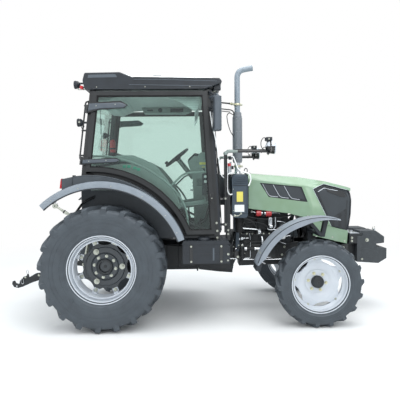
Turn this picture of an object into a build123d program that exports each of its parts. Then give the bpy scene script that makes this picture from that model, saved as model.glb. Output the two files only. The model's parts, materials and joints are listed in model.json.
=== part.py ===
from build123d import *
import os
from math import atan2, cos, degrees, hypot, pi, radians, sin, sqrt, tan

# Four-wheel-drive farm tractor with a glazed cab, an exhaust stack, front ballast and a three-point linkage.
# Millimetres, +X forward, +Y left, +Z up. It is laid out from the rear axle (X 0) and the ground (Z 0),
# and moved at the end so that the middle of its footprint is the origin.

# ---------------------------------------------------------------- driving dimensions
wheelbase = 2420.0
running_fit = 0.05              # radial play of a pin or a shaft in its bore
seat_gap = 0.3                  # between faces of bodies that move past each other

rear_tyre_radius = 700.0
rear_tyre_width = 390.0
rear_track = 1500.0
rear_rim_flange_radius = 381.0
rear_rim_width = 330.0
rear_hub_inset = 210.0          # from the rim's outer edge in to the hub face
rear_lug_count = 20
rear_lug_height = 36.0
rear_lug_thickness = 46.0
rear_lug_slant = 168.0          # how far a lug runs back round the tyre from the middle to the shoulder

front_tyre_radius = 492.0
front_tyre_width = 225.0
front_track = 1490.0
front_rim_flange_radius = 328.5
front_rim_width = 210.0
front_hub_inset = 150.0
front_lug_count = 18
front_lug_height = 30.0
front_lug_thickness = 34.0
front_lug_slant = 104.0

rim_wall = 8.0
rim_seat_depth = 25.0           # from the flange's edge in to the tyre's seat
disc_wall = 12.0

axle_tube_radius = 95.0
front_axle_radius = 62.0
carrier_inset = 45.0            # from the hub's mounting face in to the knuckle's outer face
kingpin_inset = 110.0           # from that face in to the kingpin
kingpin_radius = 18.0
knuckle_radius = 56.0
fist_half_height = 86.0
steering_arm_reach = 190.0

frame_rail_y = 190.0
frame_rail_wall = 25.0
frame_bottom_z = 650.0
frame_top_z = 860.0
engine_half_width = 185.0

cab_half_width = 700.0
cab_lean = 1.6                  # how far each side leans in towards the roof, degrees
lean_height = 1050.0            # height at which the side stands at its full width
pillar_depth = 60.0
door_thickness = 36.0
door_gap = 4.0
door_frame_width = 46.0
glass_thickness = 6.0
door_bottom_z = 1055.0
roof_bottom_z = 2690.0
floor_z = 1030.0
floor_thickness = 26.0
platform_z = 1215.0
platform_front_x = 380.0
cab_wall = 14.0

fender_inner_y = rear_track / 2 - 230.0
fender_lip_y = rear_track / 2 + 180.0
fender_shelf_y = rear_track / 2 + 130.0
fender_lip_radius = 957.0
fender_wall = 12.0
fender_lip_depth = 48.0
fender_rear_angle = 132.0       # from the +X direction, about the rear axle
fender_front_angle = 20.0
shelf_centre = (-124.0, 641.0)  # centre of the long arc of the fender's top (X, Z)
shelf_radius = fender_lip_radius + 131.0
shelf_rear_x = -414.0
door_sill_gap = 45.0            # from the fender's top arc to the door's lower edge

mudguard_radius = 755.0
mudguard_wall = 8.0
mudguard_inner_y = front_track / 2 - 105.0
mudguard_outer_y = front_track / 2 + 130.0
mudguard_front_angle = 77.0
mudguard_rear_angle = 160.0

hood_wall = 12.0
hood_hinge_x = 1698.0
hood_hinge_z = 1726.0
hood_pin_radius = 8.0

exhaust_x = 1541.0
exhaust_y = -420.0
exhaust_radius = 33.0
exhaust_sleeve_radius = 54.0
exhaust_top_z = 2930.0
exhaust_tip_x = 1719.0

steering_wheel_radius = 185.0
steering_wheel_rim = 14.0
steering_wheel_x = 800.0
steering_wheel_z = 1965.0
steering_wheel_tilt = 38.0

link_pivot_x = 40.0
link_pivot_z = 470.0
link_pivot_y = 245.0
link_end_y = 412.0
link_thickness = 30.0
lift_shaft_x = -150.0
lift_shaft_z = 1010.0
lift_arm_length = 270.0
lift_arm_y = 235.0
lift_arm_drop = 12.0            # degrees below level at rest
link_rod_reach = 560.0          # from the link's pivot back to the lift rod's eye

pto_radius = 17.5
pto_length = 76.0
pto_z = 590.0
pto_face_x = -270.0

weight_count = 4                # on each side of the tow hitch
weight_thickness = 52.0
weight_gap = 6.0
hitch_half_width = 38.0


# ---------------------------------------------------------------- helpers
def block(x0, x1, y0, y1, z0, z1):
    """A box between two corners."""
    return Pos((x0 + x1) / 2, (y0 + y1) / 2, (z0 + z1) / 2) * Box(abs(x1 - x0), abs(y1 - y0), abs(z1 - z0))


def rod_y(x, z, radius, y0, y1):
    """A cylinder along Y from y0 to y1."""
    return Pos(x, (y0 + y1) / 2, z) * Rot(90, 0, 0) * Cylinder(radius, abs(y1 - y0))


def rod_x(y, z, radius, x0, x1):
    """A cylinder along X from x0 to x1."""
    return Pos((x0 + x1) / 2, y, z) * Rot(0, 90, 0) * Cylinder(radius, abs(x1 - x0))


def rod_z(x, y, radius, z0, z1):
    """A cylinder along Z from z0 to z1."""
    return Pos(x, y, (z0 + z1) / 2) * Cylinder(radius, abs(z1 - z0))


def rod(start, end, radius):
    """A round bar between two points."""
    line = Line(start, end)
    return sweep(Plane(origin=start, z_dir=line % 0) * Circle(radius), path=line)


def pipe(points, radius):
    """A round bar in straight runs through several points, with a mitre at each bend."""
    path = Polyline(*points)
    return sweep(Plane(origin=points[0], z_dir=path % 0) * Circle(radius), path=path,
                 transition=Transition.RIGHT)


def side_plate(points, y0, y1, corner=0.0):
    """An outline in X and Z, given a thickness from y0 to y1."""
    face = Plane.XZ.offset(-max(y0, y1)) * make_face(Polyline(*points, close=True))
    plate = extrude(face, amount=abs(y1 - y0))
    if corner:
        plate = fillet(plate.edges().filter_by(Axis.Y), corner)
    return plate


def arc_sector(centre, inner, outer, start, end, y0, y1):
    """A sector of a ring about a Y axis, angles in degrees from +X towards +Z."""
    def at(radius, angle):
        return (centre[0] + radius * cos(radians(angle)), centre[1] + radius * sin(radians(angle)))
    middle = (start + end) / 2
    outline = [
        ThreePointArc(at(outer, start), at(outer, middle), at(outer, end)),
        Line(at(outer, end), at(inner, end)),
        ThreePointArc(at(inner, end), at(inner, middle), at(inner, start)),
        Line(at(inner, start), at(outer, start)),
    ]
    face = Plane.XZ.offset(-max(y0, y1)) * make_face(outline)
    return extrude(face, amount=abs(y1 - y0))


def ring_point(radius, angle, y):
    """The point at an angle from +Z towards +X about the Y axis."""
    return (radius * sin(angle), y, radius * cos(angle))


def flat_face(*corners):
    return Face(Wire.make_polygon(corners, close=True))


def many_sided(sections, sides):
    """A body about the Y axis through regular outlines of many sides, given as (y, radius), in flat faces."""
    rings = []
    for y, radius in sections:
        rings.append([ring_point(radius, 2 * pi * index / sides, y) for index in range(sides)])
    faces = [flat_face(*rings[0]), flat_face(*rings[-1])]
    for one, two in zip(rings, rings[1:]):
        faces += [flat_face(one[index], one[index - 1], two[index - 1], two[index]) for index in range(sides)]
    return Solid(Shell(faces))


def polyhedron(rings):
    """A closed body through rings of four corners, in flat three-cornered faces."""
    faces = []
    for ring in (rings[0], rings[-1]):
        faces += [flat_face(ring[0], ring[1], ring[2]), flat_face(ring[0], ring[2], ring[3])]
    for one, two in zip(rings, rings[1:]):
        for index in range(4):
            after = (index + 1) % 4
            faces.append(flat_face(one[index], one[after], two[after]))
            faces.append(flat_face(one[index], two[after], two[index]))
    return Solid(Shell(faces))


def section_loft(sections):
    """A ruled body through chamfered rectangles that stand across X."""
    faces = []
    for x, half_width, low, high, cut in sections:
        corners = [
            (-half_width, low + cut), (-half_width + cut, low), (half_width - cut, low),
            (half_width, low + cut),
            (half_width, high - cut), (half_width - cut, high), (-half_width + cut, high),
            (-half_width, high - cut),
        ]
        faces.append(Plane.YZ.offset(x) * make_face(Polyline(*corners, close=True)))
    return loft(faces, ruled=True)


def other_side(shape):
    """The same piece on the tractor's right."""
    return mirror(shape, about=Plane.XZ)


def both_sides(shape):
    return [shape, other_side(shape)]


def leaned(shape):
    """Lean a piece of the cab's left side in towards the roof."""
    pivot = Pos(0, cab_half_width, lean_height)
    return pivot * Rot(cab_lean, 0, 0) * Pos(0, -cab_half_width, -lean_height) * shape


nodes = {}                      # node name to the list of its solids


def keep(name, *shapes):
    """Note a node's solids."""
    solids = []
    for shape in shapes:
        if isinstance(shape, (list, tuple)):
            for item in shape:
                solids += item.solids()
        else:
            solids += shape.solids()
    nodes[name] = solids


# ---------------------------------------------------------------- tyres and rims
lug_stations = (                # share of the half width, of the slant, of the height cut off, of the thickness
    (-0.06, 0.56, 0.0, 0.7),
    (0.95, -0.42, 0.75, 1.2),
)
lug_root = 1.25                 # depth of a lug's root below its top, in lug heights
lug_flank = 0.12                # how much wider a lug is at its root, in thicknesses, on each side


def lug(radius, half, height, thickness, slant, side):
    """One bar of the tread, from just past the middle line out and back to the shoulder."""
    rings = []
    for share, run, cut, width in lug_stations:
        foot = radius - height * (lug_root + cut)
        top = radius - height * cut
        ring = []
        for offset, reach in ((-0.5 - lug_flank, foot), (-0.5, top), (0.5, top), (0.5 + lug_flank, foot)):
            angle = (slant * run + thickness * width * offset) / radius
            ring.append(ring_point(reach, angle, side * share * half))
        rings.append(ring)
    return polyhedron(rings)


def tyre(radius, width, flange_radius, rim_width, lug_count, lug_height, lug_thickness, lug_slant):
    """A field tyre about the Y axis: a carcass with as many sides as lugs in a row, and two rows of lugs."""
    half = width / 2
    crown = radius - lug_height
    bead_y = rim_width / 2 - 30.0
    bead_radius = (flange_radius - rim_seat_depth + seat_gap) / cos(pi / lug_count)
    bulge_radius = (flange_radius + crown - 90.0) / 2
    carcass = many_sided([
        (-half, crown - 90.0), (-half + 12.0, crown - 10.0), (half - 12.0, crown - 10.0),
        (half, crown - 90.0)], lug_count)
    carcass -= many_sided([
        (-half - 1.0, crown - 84.0), (-half + 5.0, bulge_radius), (-bead_y, bead_radius), (bead_y, bead_radius),
        (half - 5.0, bulge_radius), (half + 1.0, crown - 84.0)], lug_count)
    # The lugs are turned so that one's corner stands at the very bottom. The two rows stand half a pitch apart.
    share, run, cut, thickness_share = lug_stations[0]
    lowest = 180.0 - degrees((lug_slant * run - lug_thickness * thickness_share / 2) / radius)
    lugs = []
    for side, phase in ((1, 0.0), (-1, 0.5)):
        one = lug(radius, half, lug_height, lug_thickness, lug_slant, side)
        lugs += [Rot(0, lowest + (index + phase) * 360.0 / lug_count, 0) * one for index in range(lug_count)]
    return carcass.fuse(*lugs)


def rim(flange_radius, width, sides):
    """A steel rim about the Y axis: a barrel with a flange at each edge."""
    half = width / 2
    seat = flange_radius - rim_seat_depth
    seat_y = half - 22.0
    barrel = many_sided([(-half, flange_radius), (-seat_y, seat), (seat_y, seat), (half, flange_radius)], sides)
    return barrel - many_sided([
        (-half - 0.1, flange_radius - rim_wall), (-seat_y + 2.0, seat - rim_wall),
        (seat_y - 2.0, seat - rim_wall),
        (half + 0.1, flange_radius - rim_wall)], sides)


def wheel_nodes(end, x, track, tyre_radius, tyre_shape, rim_shape):
    """Keep a tyre and a rim on each side."""
    for side, sign in (("left", 1), ("right", -1)):
        tyre_piece = tyre_shape if sign > 0 else other_side(tyre_shape)
        rim_piece = rim_shape if sign > 0 else other_side(rim_shape)
        keep(f"{end}_tyre_{side}", Pos(x, sign * track / 2, tyre_radius) * tyre_piece)
        keep(f"{end}_rim_{side}", Pos(x, sign * track / 2, tyre_radius) * rim_piece)


# Rear wheel: a barrel with eight clamp lugs inside it, and a dished disc bolted to them and to the hub.
rear_hub_y = rear_track / 2 + rear_rim_width / 2 - rear_hub_inset
rear_disc_radius = 282.0
rear_barrel_radius = rear_rim_flange_radius - rim_seat_depth - rim_wall
rear_clamp_count = 8
hub_shaft_radius = 52.0

rear_clamps = []
for index in range(rear_clamp_count):
    clamp = block(-32.0, 32.0, -24.0, -24.0 + disc_wall, rear_disc_radius - 26.0, rear_barrel_radius + 3.0)
    clamp += block(-24.0, 24.0, -24.0, 34.0, rear_barrel_radius - 14.0, rear_barrel_radius + 3.0)
    rear_clamps.append(Rot(0, (index + 0.5) * 360.0 / rear_clamp_count, 0) * clamp)
clamp_shift = rear_hub_y - rear_track / 2
rear_rim = rim(rear_rim_flange_radius, rear_rim_width, 2 * rear_lug_count).fuse(*[Pos(0, clamp_shift,
        0) * one for one in rear_clamps])
rear_tyre = tyre(
    rear_tyre_radius, rear_tyre_width, rear_rim_flange_radius, rear_rim_width,
    rear_lug_count, rear_lug_height, rear_lug_thickness, rear_lug_slant,
)
wheel_nodes("rear", 0.0, rear_track, rear_tyre_radius, rear_tyre, rear_rim)

# The disc's edge is scalloped between the clamps; its middle carries the axle's flange and eight nuts.
disc_low = rear_hub_y - disc_wall
scallop_depth = 38.0
scallop_half_angle = 16.5
disc_outline = []
for index in range(rear_clamp_count):
    middle = index * 360.0 / rear_clamp_count
    for step in (-1.0, -0.7, -0.35, 0.0, 0.35, 0.7, 1.0):
        reach = rear_disc_radius - scallop_depth * (1 - step * step)
        x, y, z = ring_point(reach, radians(middle + step * scallop_half_angle), 0.0)
        disc_outline.append((x, z))
rear_disc = side_plate(disc_outline, disc_low, rear_hub_y) - rod_y(0, 0, 92.0, disc_low - 1.0, rear_hub_y + 1.0)

hub_flange_back = disc_low - 26.0
rear_hub = many_sided([(hub_flange_back, 150.0), (disc_low, 150.0)], 32)
rear_hub += rod_y(0, 0, hub_shaft_radius, 500.0, hub_flange_back)
rear_hub += rod_y(0, 0, 90.0, disc_low, rear_hub_y + 14.0) - rod_y(0, 0, 62.0, rear_hub_y - 20.0,
                                                                   rear_hub_y + 15.0)
rear_centre = Pos(0, 0, rear_tyre_radius) * (rear_hub + rear_disc)
keep("rear_hub_left", rear_centre)
keep("rear_hub_right", other_side(rear_centre))

# Front wheel: the barrel and a welded dish with slots, on the hub's flange.
front_hub_y = front_track / 2 + front_rim_width / 2 - front_hub_inset
front_barrel_radius = front_rim_flange_radius - rim_seat_depth - rim_wall
front_hub_radius = 71.0
front_window_count = 5
front_window_angle = 98.0       # the first window's middle, from +Z towards +X
front_window = ((248.0, -10.0), (248.0, 10.0), (272.0, 21.0), (290.0, 19.0), (294.0, 0.0), (290.0, -19.0),
                (272.0, -21.0))
front_sides = 2 * front_lug_count
dish_step = 26.0                # the dish steps out by this much round its middle
dish_rise = 38.0                # and stands out by this much at the barrel
dish_face = front_hub_y - front_track / 2
dish_back = dish_face - disc_wall
dish = many_sided([(dish_back, front_barrel_radius + 2.0), (dish_face + dish_rise, front_barrel_radius + 2.0)],
                  front_sides)
dish -= many_sided([
    (dish_face, 130.0), (dish_face + dish_step, 168.0), (dish_face + dish_rise + 1.0, 240.0)], front_sides)
dish -= many_sided([(dish_back - 1.0, front_hub_radius + 2.0), (dish_face + 1.0, front_hub_radius + 2.0)],
                   front_sides)
dish_hollow = many_sided([
    (dish_back - 1.0, front_barrel_radius + 9.0), (dish_back + dish_rise, front_barrel_radius + 9.0)],
    front_sides)
dish_hollow -= many_sided([
    (dish_back - 2.0, 145.0), (dish_back, 145.0), (dish_back + dish_step, 184.0),
    (dish_back + dish_rise + 1.0, 246.0)],
    front_sides)
dish -= dish_hollow
for index in range(front_window_count):
    outline = [(ring_point(radius, radians(angle), 0.0)) for radius, angle in front_window]
    window_cut = side_plate([(x, z) for x, y, z in outline], dish_back, dish_face + dish_rise + 5.0)
    dish -= Rot(0, front_window_angle + index * 360.0 / front_window_count, 0) * window_cut
front_rim = rim(front_rim_flange_radius, front_rim_width, front_sides) + dish
front_tyre = tyre(
    front_tyre_radius, front_tyre_width, front_rim_flange_radius, front_rim_width,
    front_lug_count, front_lug_height, front_lug_thickness, front_lug_slant,
)
wheel_nodes("front", wheelbase, front_track, front_tyre_radius, front_tyre, front_rim)

spindle_radius = 40.0
carrier_y = front_hub_y - carrier_inset
kingpin_y = carrier_y - kingpin_inset
front_hub_back = front_hub_y - disc_wall
front_hub = rod_y(0, 0, 122.0, carrier_y + 1.0, front_hub_back)
front_hub += rod_y(0, 0, front_hub_radius, front_hub_back, front_hub_y + 55.0)
front_hub -= rod_y(0, 0, spindle_radius + running_fit, carrier_y, front_hub_y)
front_hub = Pos(wheelbase, 0, front_tyre_radius) * front_hub
keep("front_hub_left", front_hub)
keep("front_hub_right", other_side(front_hub))

# ---------------------------------------------------------------- driveline and frame
rear_axle_end = hub_flange_back - 5.0
rear_axle = Pos(0, 0, rear_tyre_radius) * many_sided([
    (170.0, axle_tube_radius + 38.0), (205.0, axle_tube_radius + 38.0), (206.0, axle_tube_radius),
    (rear_axle_end - 31.0, axle_tube_radius), (rear_axle_end - 30.0, axle_tube_radius + 20.0),
    (rear_axle_end, axle_tube_radius + 20.0)], 32)
rear_axle -= rod_y(0, rear_tyre_radius, hub_shaft_radius + running_fit, 480.0, rear_axle_end + 1.0)
keep("rear_axle_tubes", both_sides(rear_axle))

gearbox = section_loft([            # X, half width, bottom, top, chamfer
    (pto_face_x, 150.0, 500.0, 930.0, 40.0), (-180.0, 170.0, 460.0, 960.0, 40.0),
    (330.0, 170.0, 460.0, 960.0, 40.0), (430.0, 135.0, 520.0, 900.0, 45.0), (1050.0, 135.0, 520.0, 900.0, 45.0),
    (1330.0, 175.0, 490.0, 930.0, 60.0), (1500.0, 200.0, 480.0, 940.0, 70.0),
])
gearbox -= rod_x(0, pto_z, pto_radius + 8.0 + running_fit, pto_face_x - 1.0, pto_face_x + 120.0)
lift_case = block(-235.0, -20.0, -150.0, 150.0, 940.0, 1075.0)
lift_case = chamfer(lift_case.edges().filter_by(Axis.Y), 30.0)
gearbox += lift_case
gearbox -= rod_y(lift_shaft_x, lift_shaft_z, 38.0 + running_fit, -200.0, 200.0)

engine_front_x = wheelbase - 170.0
engine = section_loft([
    (1500.0, 200.0, 560.0, 1010.0, 50.0), (1560.0, 185.0, 690.0, 1010.0, 30.0),
    (engine_front_x - 50.0, 185.0, 690.0, 1010.0, 30.0), (engine_front_x, 160.0, 700.0, 990.0, 30.0),
])
engine += section_loft([(1590.0, 120.0, 560.0, 700.0, 20.0), (engine_front_x - 110.0, 120.0, 575.0, 700.0,
                                                              20.0)])
engine += section_loft([(1570.0, 125.0, 1000.0, 1300.0, 25.0),
                        (engine_front_x - 30.0, 125.0, 1000.0, 1300.0, 25.0)])
engine += section_loft([(1600.0, 80.0, 1290.0, 1350.0, 15.0), (engine_front_x - 60.0, 80.0, 1290.0, 1350.0,
                                                               15.0)])
keep("engine_block", engine)

fan_x = engine_front_x + 150.0
fan_z = 1110.0
fan_blade_count = 6
fan = rod_x(0, fan_z, 26.0, engine_front_x - 30.0, fan_x + 20.0)
for index in range(fan_blade_count):
    blade = Rot(0, 0, 25.0) * block(-6.0, 6.0, -34.0, 34.0, 20.0, 195.0)
    fan += Pos(fan_x, 0, fan_z) * Rot(index * 360.0 / fan_blade_count, 0, 0) * blade
fan += rod_x(0, 790.0, 85.0, engine_front_x, engine_front_x + 70.0)

radiator = block(2470.0, 2550.0, -215.0, 215.0, 880.0, 1450.0)
radiator += block(2440.0, 2470.0, -212.0, 212.0, 900.0, 1330.0) - rod_x(0, fan_z, 203.0, 2430.0, 2471.0)
keep("cooling_pack", fan, radiator)

rail_outline = [
    (1520.0, frame_bottom_z + 20.0), (2150.0, frame_bottom_z), (2960.0, frame_bottom_z + 10.0),
    (2960.0, 849.0), (2880.0, 849.0), (2840.0, 880.0), (2300.0, 880.0), (2150.0, frame_top_z),
    (1520.0, frame_top_z),
]
rail = side_plate(rail_outline, frame_rail_y + seat_gap + 10.0,
                  frame_rail_y + seat_gap + 10.0 + frame_rail_wall)
front_cross = block(2920.0, 2960.0, -frame_rail_y - 11.0, frame_rail_y + 11.0, frame_bottom_z + 12.0, 849.0)
engine_mount = block(1600.0, 1680.0, engine_half_width, frame_rail_y + 11.0, 700.0, 800.0)
front_mount = block(2100.0, 2170.0, engine_half_width, frame_rail_y + 11.0, 700.0, 800.0)
radiator_foot = block(2480.0, 2545.0, -frame_rail_y - 11.0, frame_rail_y + 11.0, 850.0, 880.0)
pivot_reach = 120.0             # from the axle's middle to each of its pivot posts
post_rear = (wheelbase - pivot_reach - 30.0, wheelbase - pivot_reach)
post_front = (wheelbase + pivot_reach, wheelbase + pivot_reach + 45.0)
pivot_rear = block(*post_rear, -frame_rail_y - 11.0, frame_rail_y + 11.0, 655.0, 700.0)
pivot_front = block(*post_front, -frame_rail_y - 11.0, frame_rail_y + 11.0, 655.0, 700.0)
axle_post_rear = block(*post_rear, -70.0, 70.0, 560.0, 656.0)
axle_post_front = block(*post_front, -70.0, 70.0, 560.0, 656.0)
frame = rail + other_side(rail) + front_cross + radiator_foot + pivot_rear + pivot_front
frame += [engine_mount, other_side(engine_mount), front_mount, other_side(front_mount)]
frame += [axle_post_rear, axle_post_front]
keep("front_frame", frame)

# Front axle: a tube each side of the differential, with a fist for the kingpins at each end.
axle_z = front_tyre_radius
fist = rod_z(wheelbase, kingpin_y, knuckle_radius, axle_z - fist_half_height, axle_z + fist_half_height)
fist -= rod_z(wheelbase, kingpin_y, kingpin_radius + running_fit, axle_z - 200.0, axle_z + 200.0)
beam_half = rod_y(wheelbase, axle_z, front_axle_radius, 0.0, kingpin_y - knuckle_radius + 20.0)
front_axle = beam_half + other_side(beam_half)
front_axle += Pos(wheelbase, 0, axle_z) * many_sided([
    (-190.0, 64.0), (-150.0, 104.0), (-100.0, 116.0), (-40.0, 116.0), (10.0, 104.0), (60.0, 64.0)], 24)
front_axle += rod_x(0, axle_z + 55.0, 42.0, post_rear[1], post_front[0])
front_axle += fist
front_axle += other_side(fist)
front_axle -= rod_z(wheelbase, kingpin_y, kingpin_radius + running_fit, axle_z - 200.0, axle_z + 200.0)
front_axle -= rod_z(wheelbase, -kingpin_y, kingpin_radius + running_fit, axle_z - 200.0, axle_z + 200.0)

# Steering knuckle: arms above and below the fist, joined outside it to the hub's carrier and spindle.
arm_low = axle_z + fist_half_height + seat_gap
arm_height = 24.0
carrier_back = kingpin_y + knuckle_radius + 8.0
knuckle = rod_y(wheelbase, axle_z, 100.0, carrier_back, carrier_y)
knuckle += rod_y(wheelbase, axle_z, spindle_radius, carrier_y, front_hub_y - 20.0)
for low in (arm_low, axle_z - fist_half_height - seat_gap - arm_height):
    knuckle += rod_z(wheelbase, kingpin_y, knuckle_radius, low, low + arm_height)
    knuckle += block(wheelbase - 50.0, wheelbase + 50.0, kingpin_y, carrier_back + 10.0, low, low + arm_height)
knuckle += block(wheelbase - 50.0, wheelbase + 50.0, carrier_back, carrier_back + 14.0,
                 axle_z - fist_half_height - arm_height, arm_low + arm_height)
knuckle += rod_z(wheelbase, kingpin_y, kingpin_radius, arm_low - 50.0, arm_low + 1.0)
knuckle += rod_z(wheelbase, kingpin_y, kingpin_radius, axle_z - fist_half_height - 1.0,
                 axle_z - fist_half_height + 50.0)
arm_y = kingpin_y - 24.0
steering_arm = Plane.XY.offset(arm_low) * make_face(Polyline(
    (wheelbase, kingpin_y - 40.0), (wheelbase, kingpin_y + 40.0),
    (wheelbase - steering_arm_reach, arm_y + 24.0), (wheelbase - steering_arm_reach - 24.0, arm_y),
    (wheelbase - steering_arm_reach, arm_y - 24.0), close=True))
knuckle += extrude(steering_arm, amount=arm_height)
keep("knuckle_left", knuckle)
keep("knuckle_right", other_side(knuckle))

# The steering cylinder is fixed behind the axle; its rod runs right through and ends in an eye over each arm.
rod_x_place = wheelbase - steering_arm_reach
rod_z_place = arm_low + arm_height + 24.0
ram_radius = 34.0
ram_rod_radius = 14.0
steering_ram = rod_y(rod_x_place, rod_z_place, ram_radius, -170.0, 170.0)
ram_foot = block(rod_x_place + 10.0, wheelbase - 20.0, -150.0, -110.0, axle_z + 50.0, rod_z_place + 10.0)
front_axle += [steering_ram, ram_foot, other_side(ram_foot)]
front_axle -= rod_y(rod_x_place, rod_z_place, ram_rod_radius + running_fit, -180.0, 180.0)
keep("front_axle", front_axle)
steering_rod = rod_y(rod_x_place, rod_z_place, ram_rod_radius, -arm_y, arm_y)
for sign in (1, -1):
    steering_rod += rod_z(rod_x_place, sign * arm_y, 26.0, rod_z_place - 23.0, rod_z_place + 18.0)
keep("steering_rod", steering_rod)


# ---------------------------------------------------------------- cab
def shelf_height(x, offset=0.0):
    """Height of the fender's long top arc, or of an arc outside it, at x."""
    return shelf_centre[1] + sqrt((shelf_radius + offset) ** 2 - (x - shelf_centre[0]) ** 2)


def shelf_reach(z, offset=0.0):
    """The x in front at which that arc comes down to z."""
    return shelf_centre[0] + sqrt((shelf_radius + offset) ** 2 - (z - shelf_centre[1]) ** 2)


def shelf_disc(offset, y0, y1):
    return rod_y(shelf_centre[0], shelf_centre[1], shelf_radius + offset, y0, y1)


# Rear fender: a raised shelf over the wheel, a flared lip round it, and an inner wall down to the cab floor.
axle = (0.0, rear_tyre_radius)
fender = shelf_disc(0.0, fender_inner_y, fender_shelf_y)
fender &= block(shelf_rear_x, 900.0, 0.0, 1000.0, 980.0, 2000.0)
fender -= rod_y(0.0, rear_tyre_radius, fender_lip_radius - 4.0, fender_inner_y - 1.0, fender_shelf_y + 1.0)
fender += arc_sector(axle, fender_lip_radius - fender_wall, fender_lip_radius, fender_front_angle,
                     fender_rear_angle,
                     fender_inner_y, fender_lip_y)
fender += arc_sector(axle, fender_lip_radius - fender_lip_depth, fender_lip_radius, fender_front_angle,
                     fender_rear_angle, fender_lip_y - fender_wall, fender_lip_y)
inner_wall = shelf_disc(0.0, fender_inner_y, fender_inner_y + cab_wall)
inner_wall &= block(-300.0, 900.0, 0.0, 1000.0, 990.0, 2000.0)
fender += inner_wall
fender = fender.solids().sort_by(SortBy.VOLUME)[-1]
keep("rear_fenders", both_sides(fender))

shelf_rear_z = shelf_height(shelf_rear_x)
lamp_outline = [
    (shelf_rear_x, shelf_rear_z - 100.0), (shelf_rear_x - 26.0, shelf_rear_z - 100.0),
    (shelf_rear_x - 12.0, shelf_rear_z - 0.0), (shelf_rear_x, shelf_rear_z + 10.0),
]
tail_lamp = side_plate(lamp_outline, fender_shelf_y - 110.0, fender_shelf_y - 4.0)
keep("tail_lamps", both_sides(tail_lamp))

# Floor: a tub between the fenders, stepped up over the axle, with wings out to the doors in front of the
# wheels.
firewall_x = 1290.0
wing_y = 672.0
tub_path = [
    (firewall_x, 1500.0), (firewall_x, floor_z - floor_thickness),
    (platform_front_x, floor_z - floor_thickness),
    (platform_front_x, platform_z - floor_thickness), (-272.0, platform_z - floor_thickness), (-272.0, 1770.0),
    (-272.0 + floor_thickness, 1770.0), (-272.0 + floor_thickness, platform_z),
    (platform_front_x + floor_thickness, platform_z), (platform_front_x + floor_thickness, floor_z),
    (firewall_x - floor_thickness, floor_z), (firewall_x - floor_thickness, 1500.0),
]
tub = side_plate(tub_path, -fender_inner_y, fender_inner_y)
wing = block(905.0, firewall_x, fender_inner_y - 1.0, wing_y, floor_z - floor_thickness, floor_z)
wing += block(firewall_x - floor_thickness, firewall_x, fender_inner_y - 1.0,
              cab_half_width - pillar_depth - 18.0,
              floor_z - 1.0, 1500.0)
cab_floor = tub + wing
cab_floor += other_side(wing)
for mount_x in (500.0, 1180.0):
    foot = block(mount_x - 60.0, mount_x + 60.0, 30.0, 85.0, 890.0, floor_z - floor_thickness + 1.0) - gearbox
    cab_floor += [foot, other_side(foot)]

# Pillars: one leaning forward at each front corner and one at each rear corner, standing on the floor and
# fender.
pillar_inner = cab_half_width - pillar_depth
front_foot_x = 1243.0
front_head_x = 1148.0
rear_foot_x = -256.0
rear_head_x = -142.0
front_pillar = side_plate([
    (front_foot_x, lean_height), (front_foot_x + 64.0, lean_height),
    (front_head_x + 66.0, roof_bottom_z + 20.0),
    (front_head_x, roof_bottom_z + 20.0)], pillar_inner, cab_half_width)
front_pillar += side_plate([
    (front_foot_x, lean_height + 1.0), (front_foot_x + 64.0, lean_height + 1.0), (front_foot_x + 64.0, 960.0),
    (front_foot_x, 960.0)], pillar_inner, cab_half_width)
rear_pillar = side_plate([
    (rear_foot_x - 3.0, 1690.0), (rear_foot_x + 60.0, 1690.0), (rear_head_x + 62.0, roof_bottom_z + 20.0),
    (rear_head_x, roof_bottom_z + 20.0)], pillar_inner, cab_half_width)

# Door hinges: a barrel on the pillar with its pin, and a barrel on the door above it, about one leaning axis.
hinge_low = Vector(-246.0, cab_half_width + 52.0, 1848.0)
hinge_high = Vector(-165.0, cab_half_width + 52.0, 2484.0)
hinge_direction = (hinge_high - hinge_low).normalized()
hinge_radius = 15.0
hinge_pin_radius = 8.0
barrel_height = 46.0
hinge_starts = (hinge_low + hinge_direction * 2.0, hinge_high - hinge_direction * 60.0)


def on_hinge(start, shape):
    """Put a piece that stands at the origin on the door's hinge axis."""
    return Plane(origin=start, x_dir=(0, 1, 0), z_dir=hinge_direction) * shape


door_rear_x = -196.0
for start in hinge_starts:
    rear_pillar += on_hinge(start, Pos(0, 0, barrel_height / 2) * Cylinder(hinge_radius, barrel_height))
    rear_pillar += on_hinge(start, Pos(0, 0, barrel_height) * Cylinder(hinge_pin_radius,
            2 * barrel_height - 4.0))
    leaf = block(start.X - 12.0, start.X + 16.0, cab_half_width - 2.0, cab_half_width + 50.0,
                 start.Z + 4.0, start.Z + barrel_height - 6.0)
    rear_pillar += leaf
front_pillar = leaned(front_pillar) & block(0.0, 2000.0, 0.0, 1000.0, floor_z, roof_bottom_z)
rear_pillar = leaned(rear_pillar) & block(-500.0, 500.0, 0.0, 1000.0, 1500.0, roof_bottom_z)
rear_pillar -= shelf_disc(0.0, 0.0, 1000.0)
rear_pillar = rear_pillar.solids().sort_by(SortBy.VOLUME)[-1]

# A sill joins the two pillars: it follows the fender's top arc inside the door's lower edge.
sill_y = (618.0, 676.0)
sill_front_x = shelf_reach(floor_z, 34.0)
sill = shelf_disc(34.0, *sill_y) - shelf_disc(seat_gap, sill_y[0] - 1.0, sill_y[1] + 1.0)
sill &= block(-215.0, 1000.0, 600.0, 700.0, floor_z, 1900.0)
sill += block(sill_front_x - 20.0, front_foot_x + 10.0, *sill_y, floor_z, door_bottom_z - 8.0)
sill -= rod_y(0.0, rear_tyre_radius, fender_lip_radius + seat_gap, 600.0, 700.0)
sill = sill.solids().sort_by(SortBy.VOLUME)[-1]
cab_side = (front_pillar + sill + rear_pillar).solids().sort_by(SortBy.VOLUME)[-1]
keep("cab_frame", both_sides(cab_side))

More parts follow.
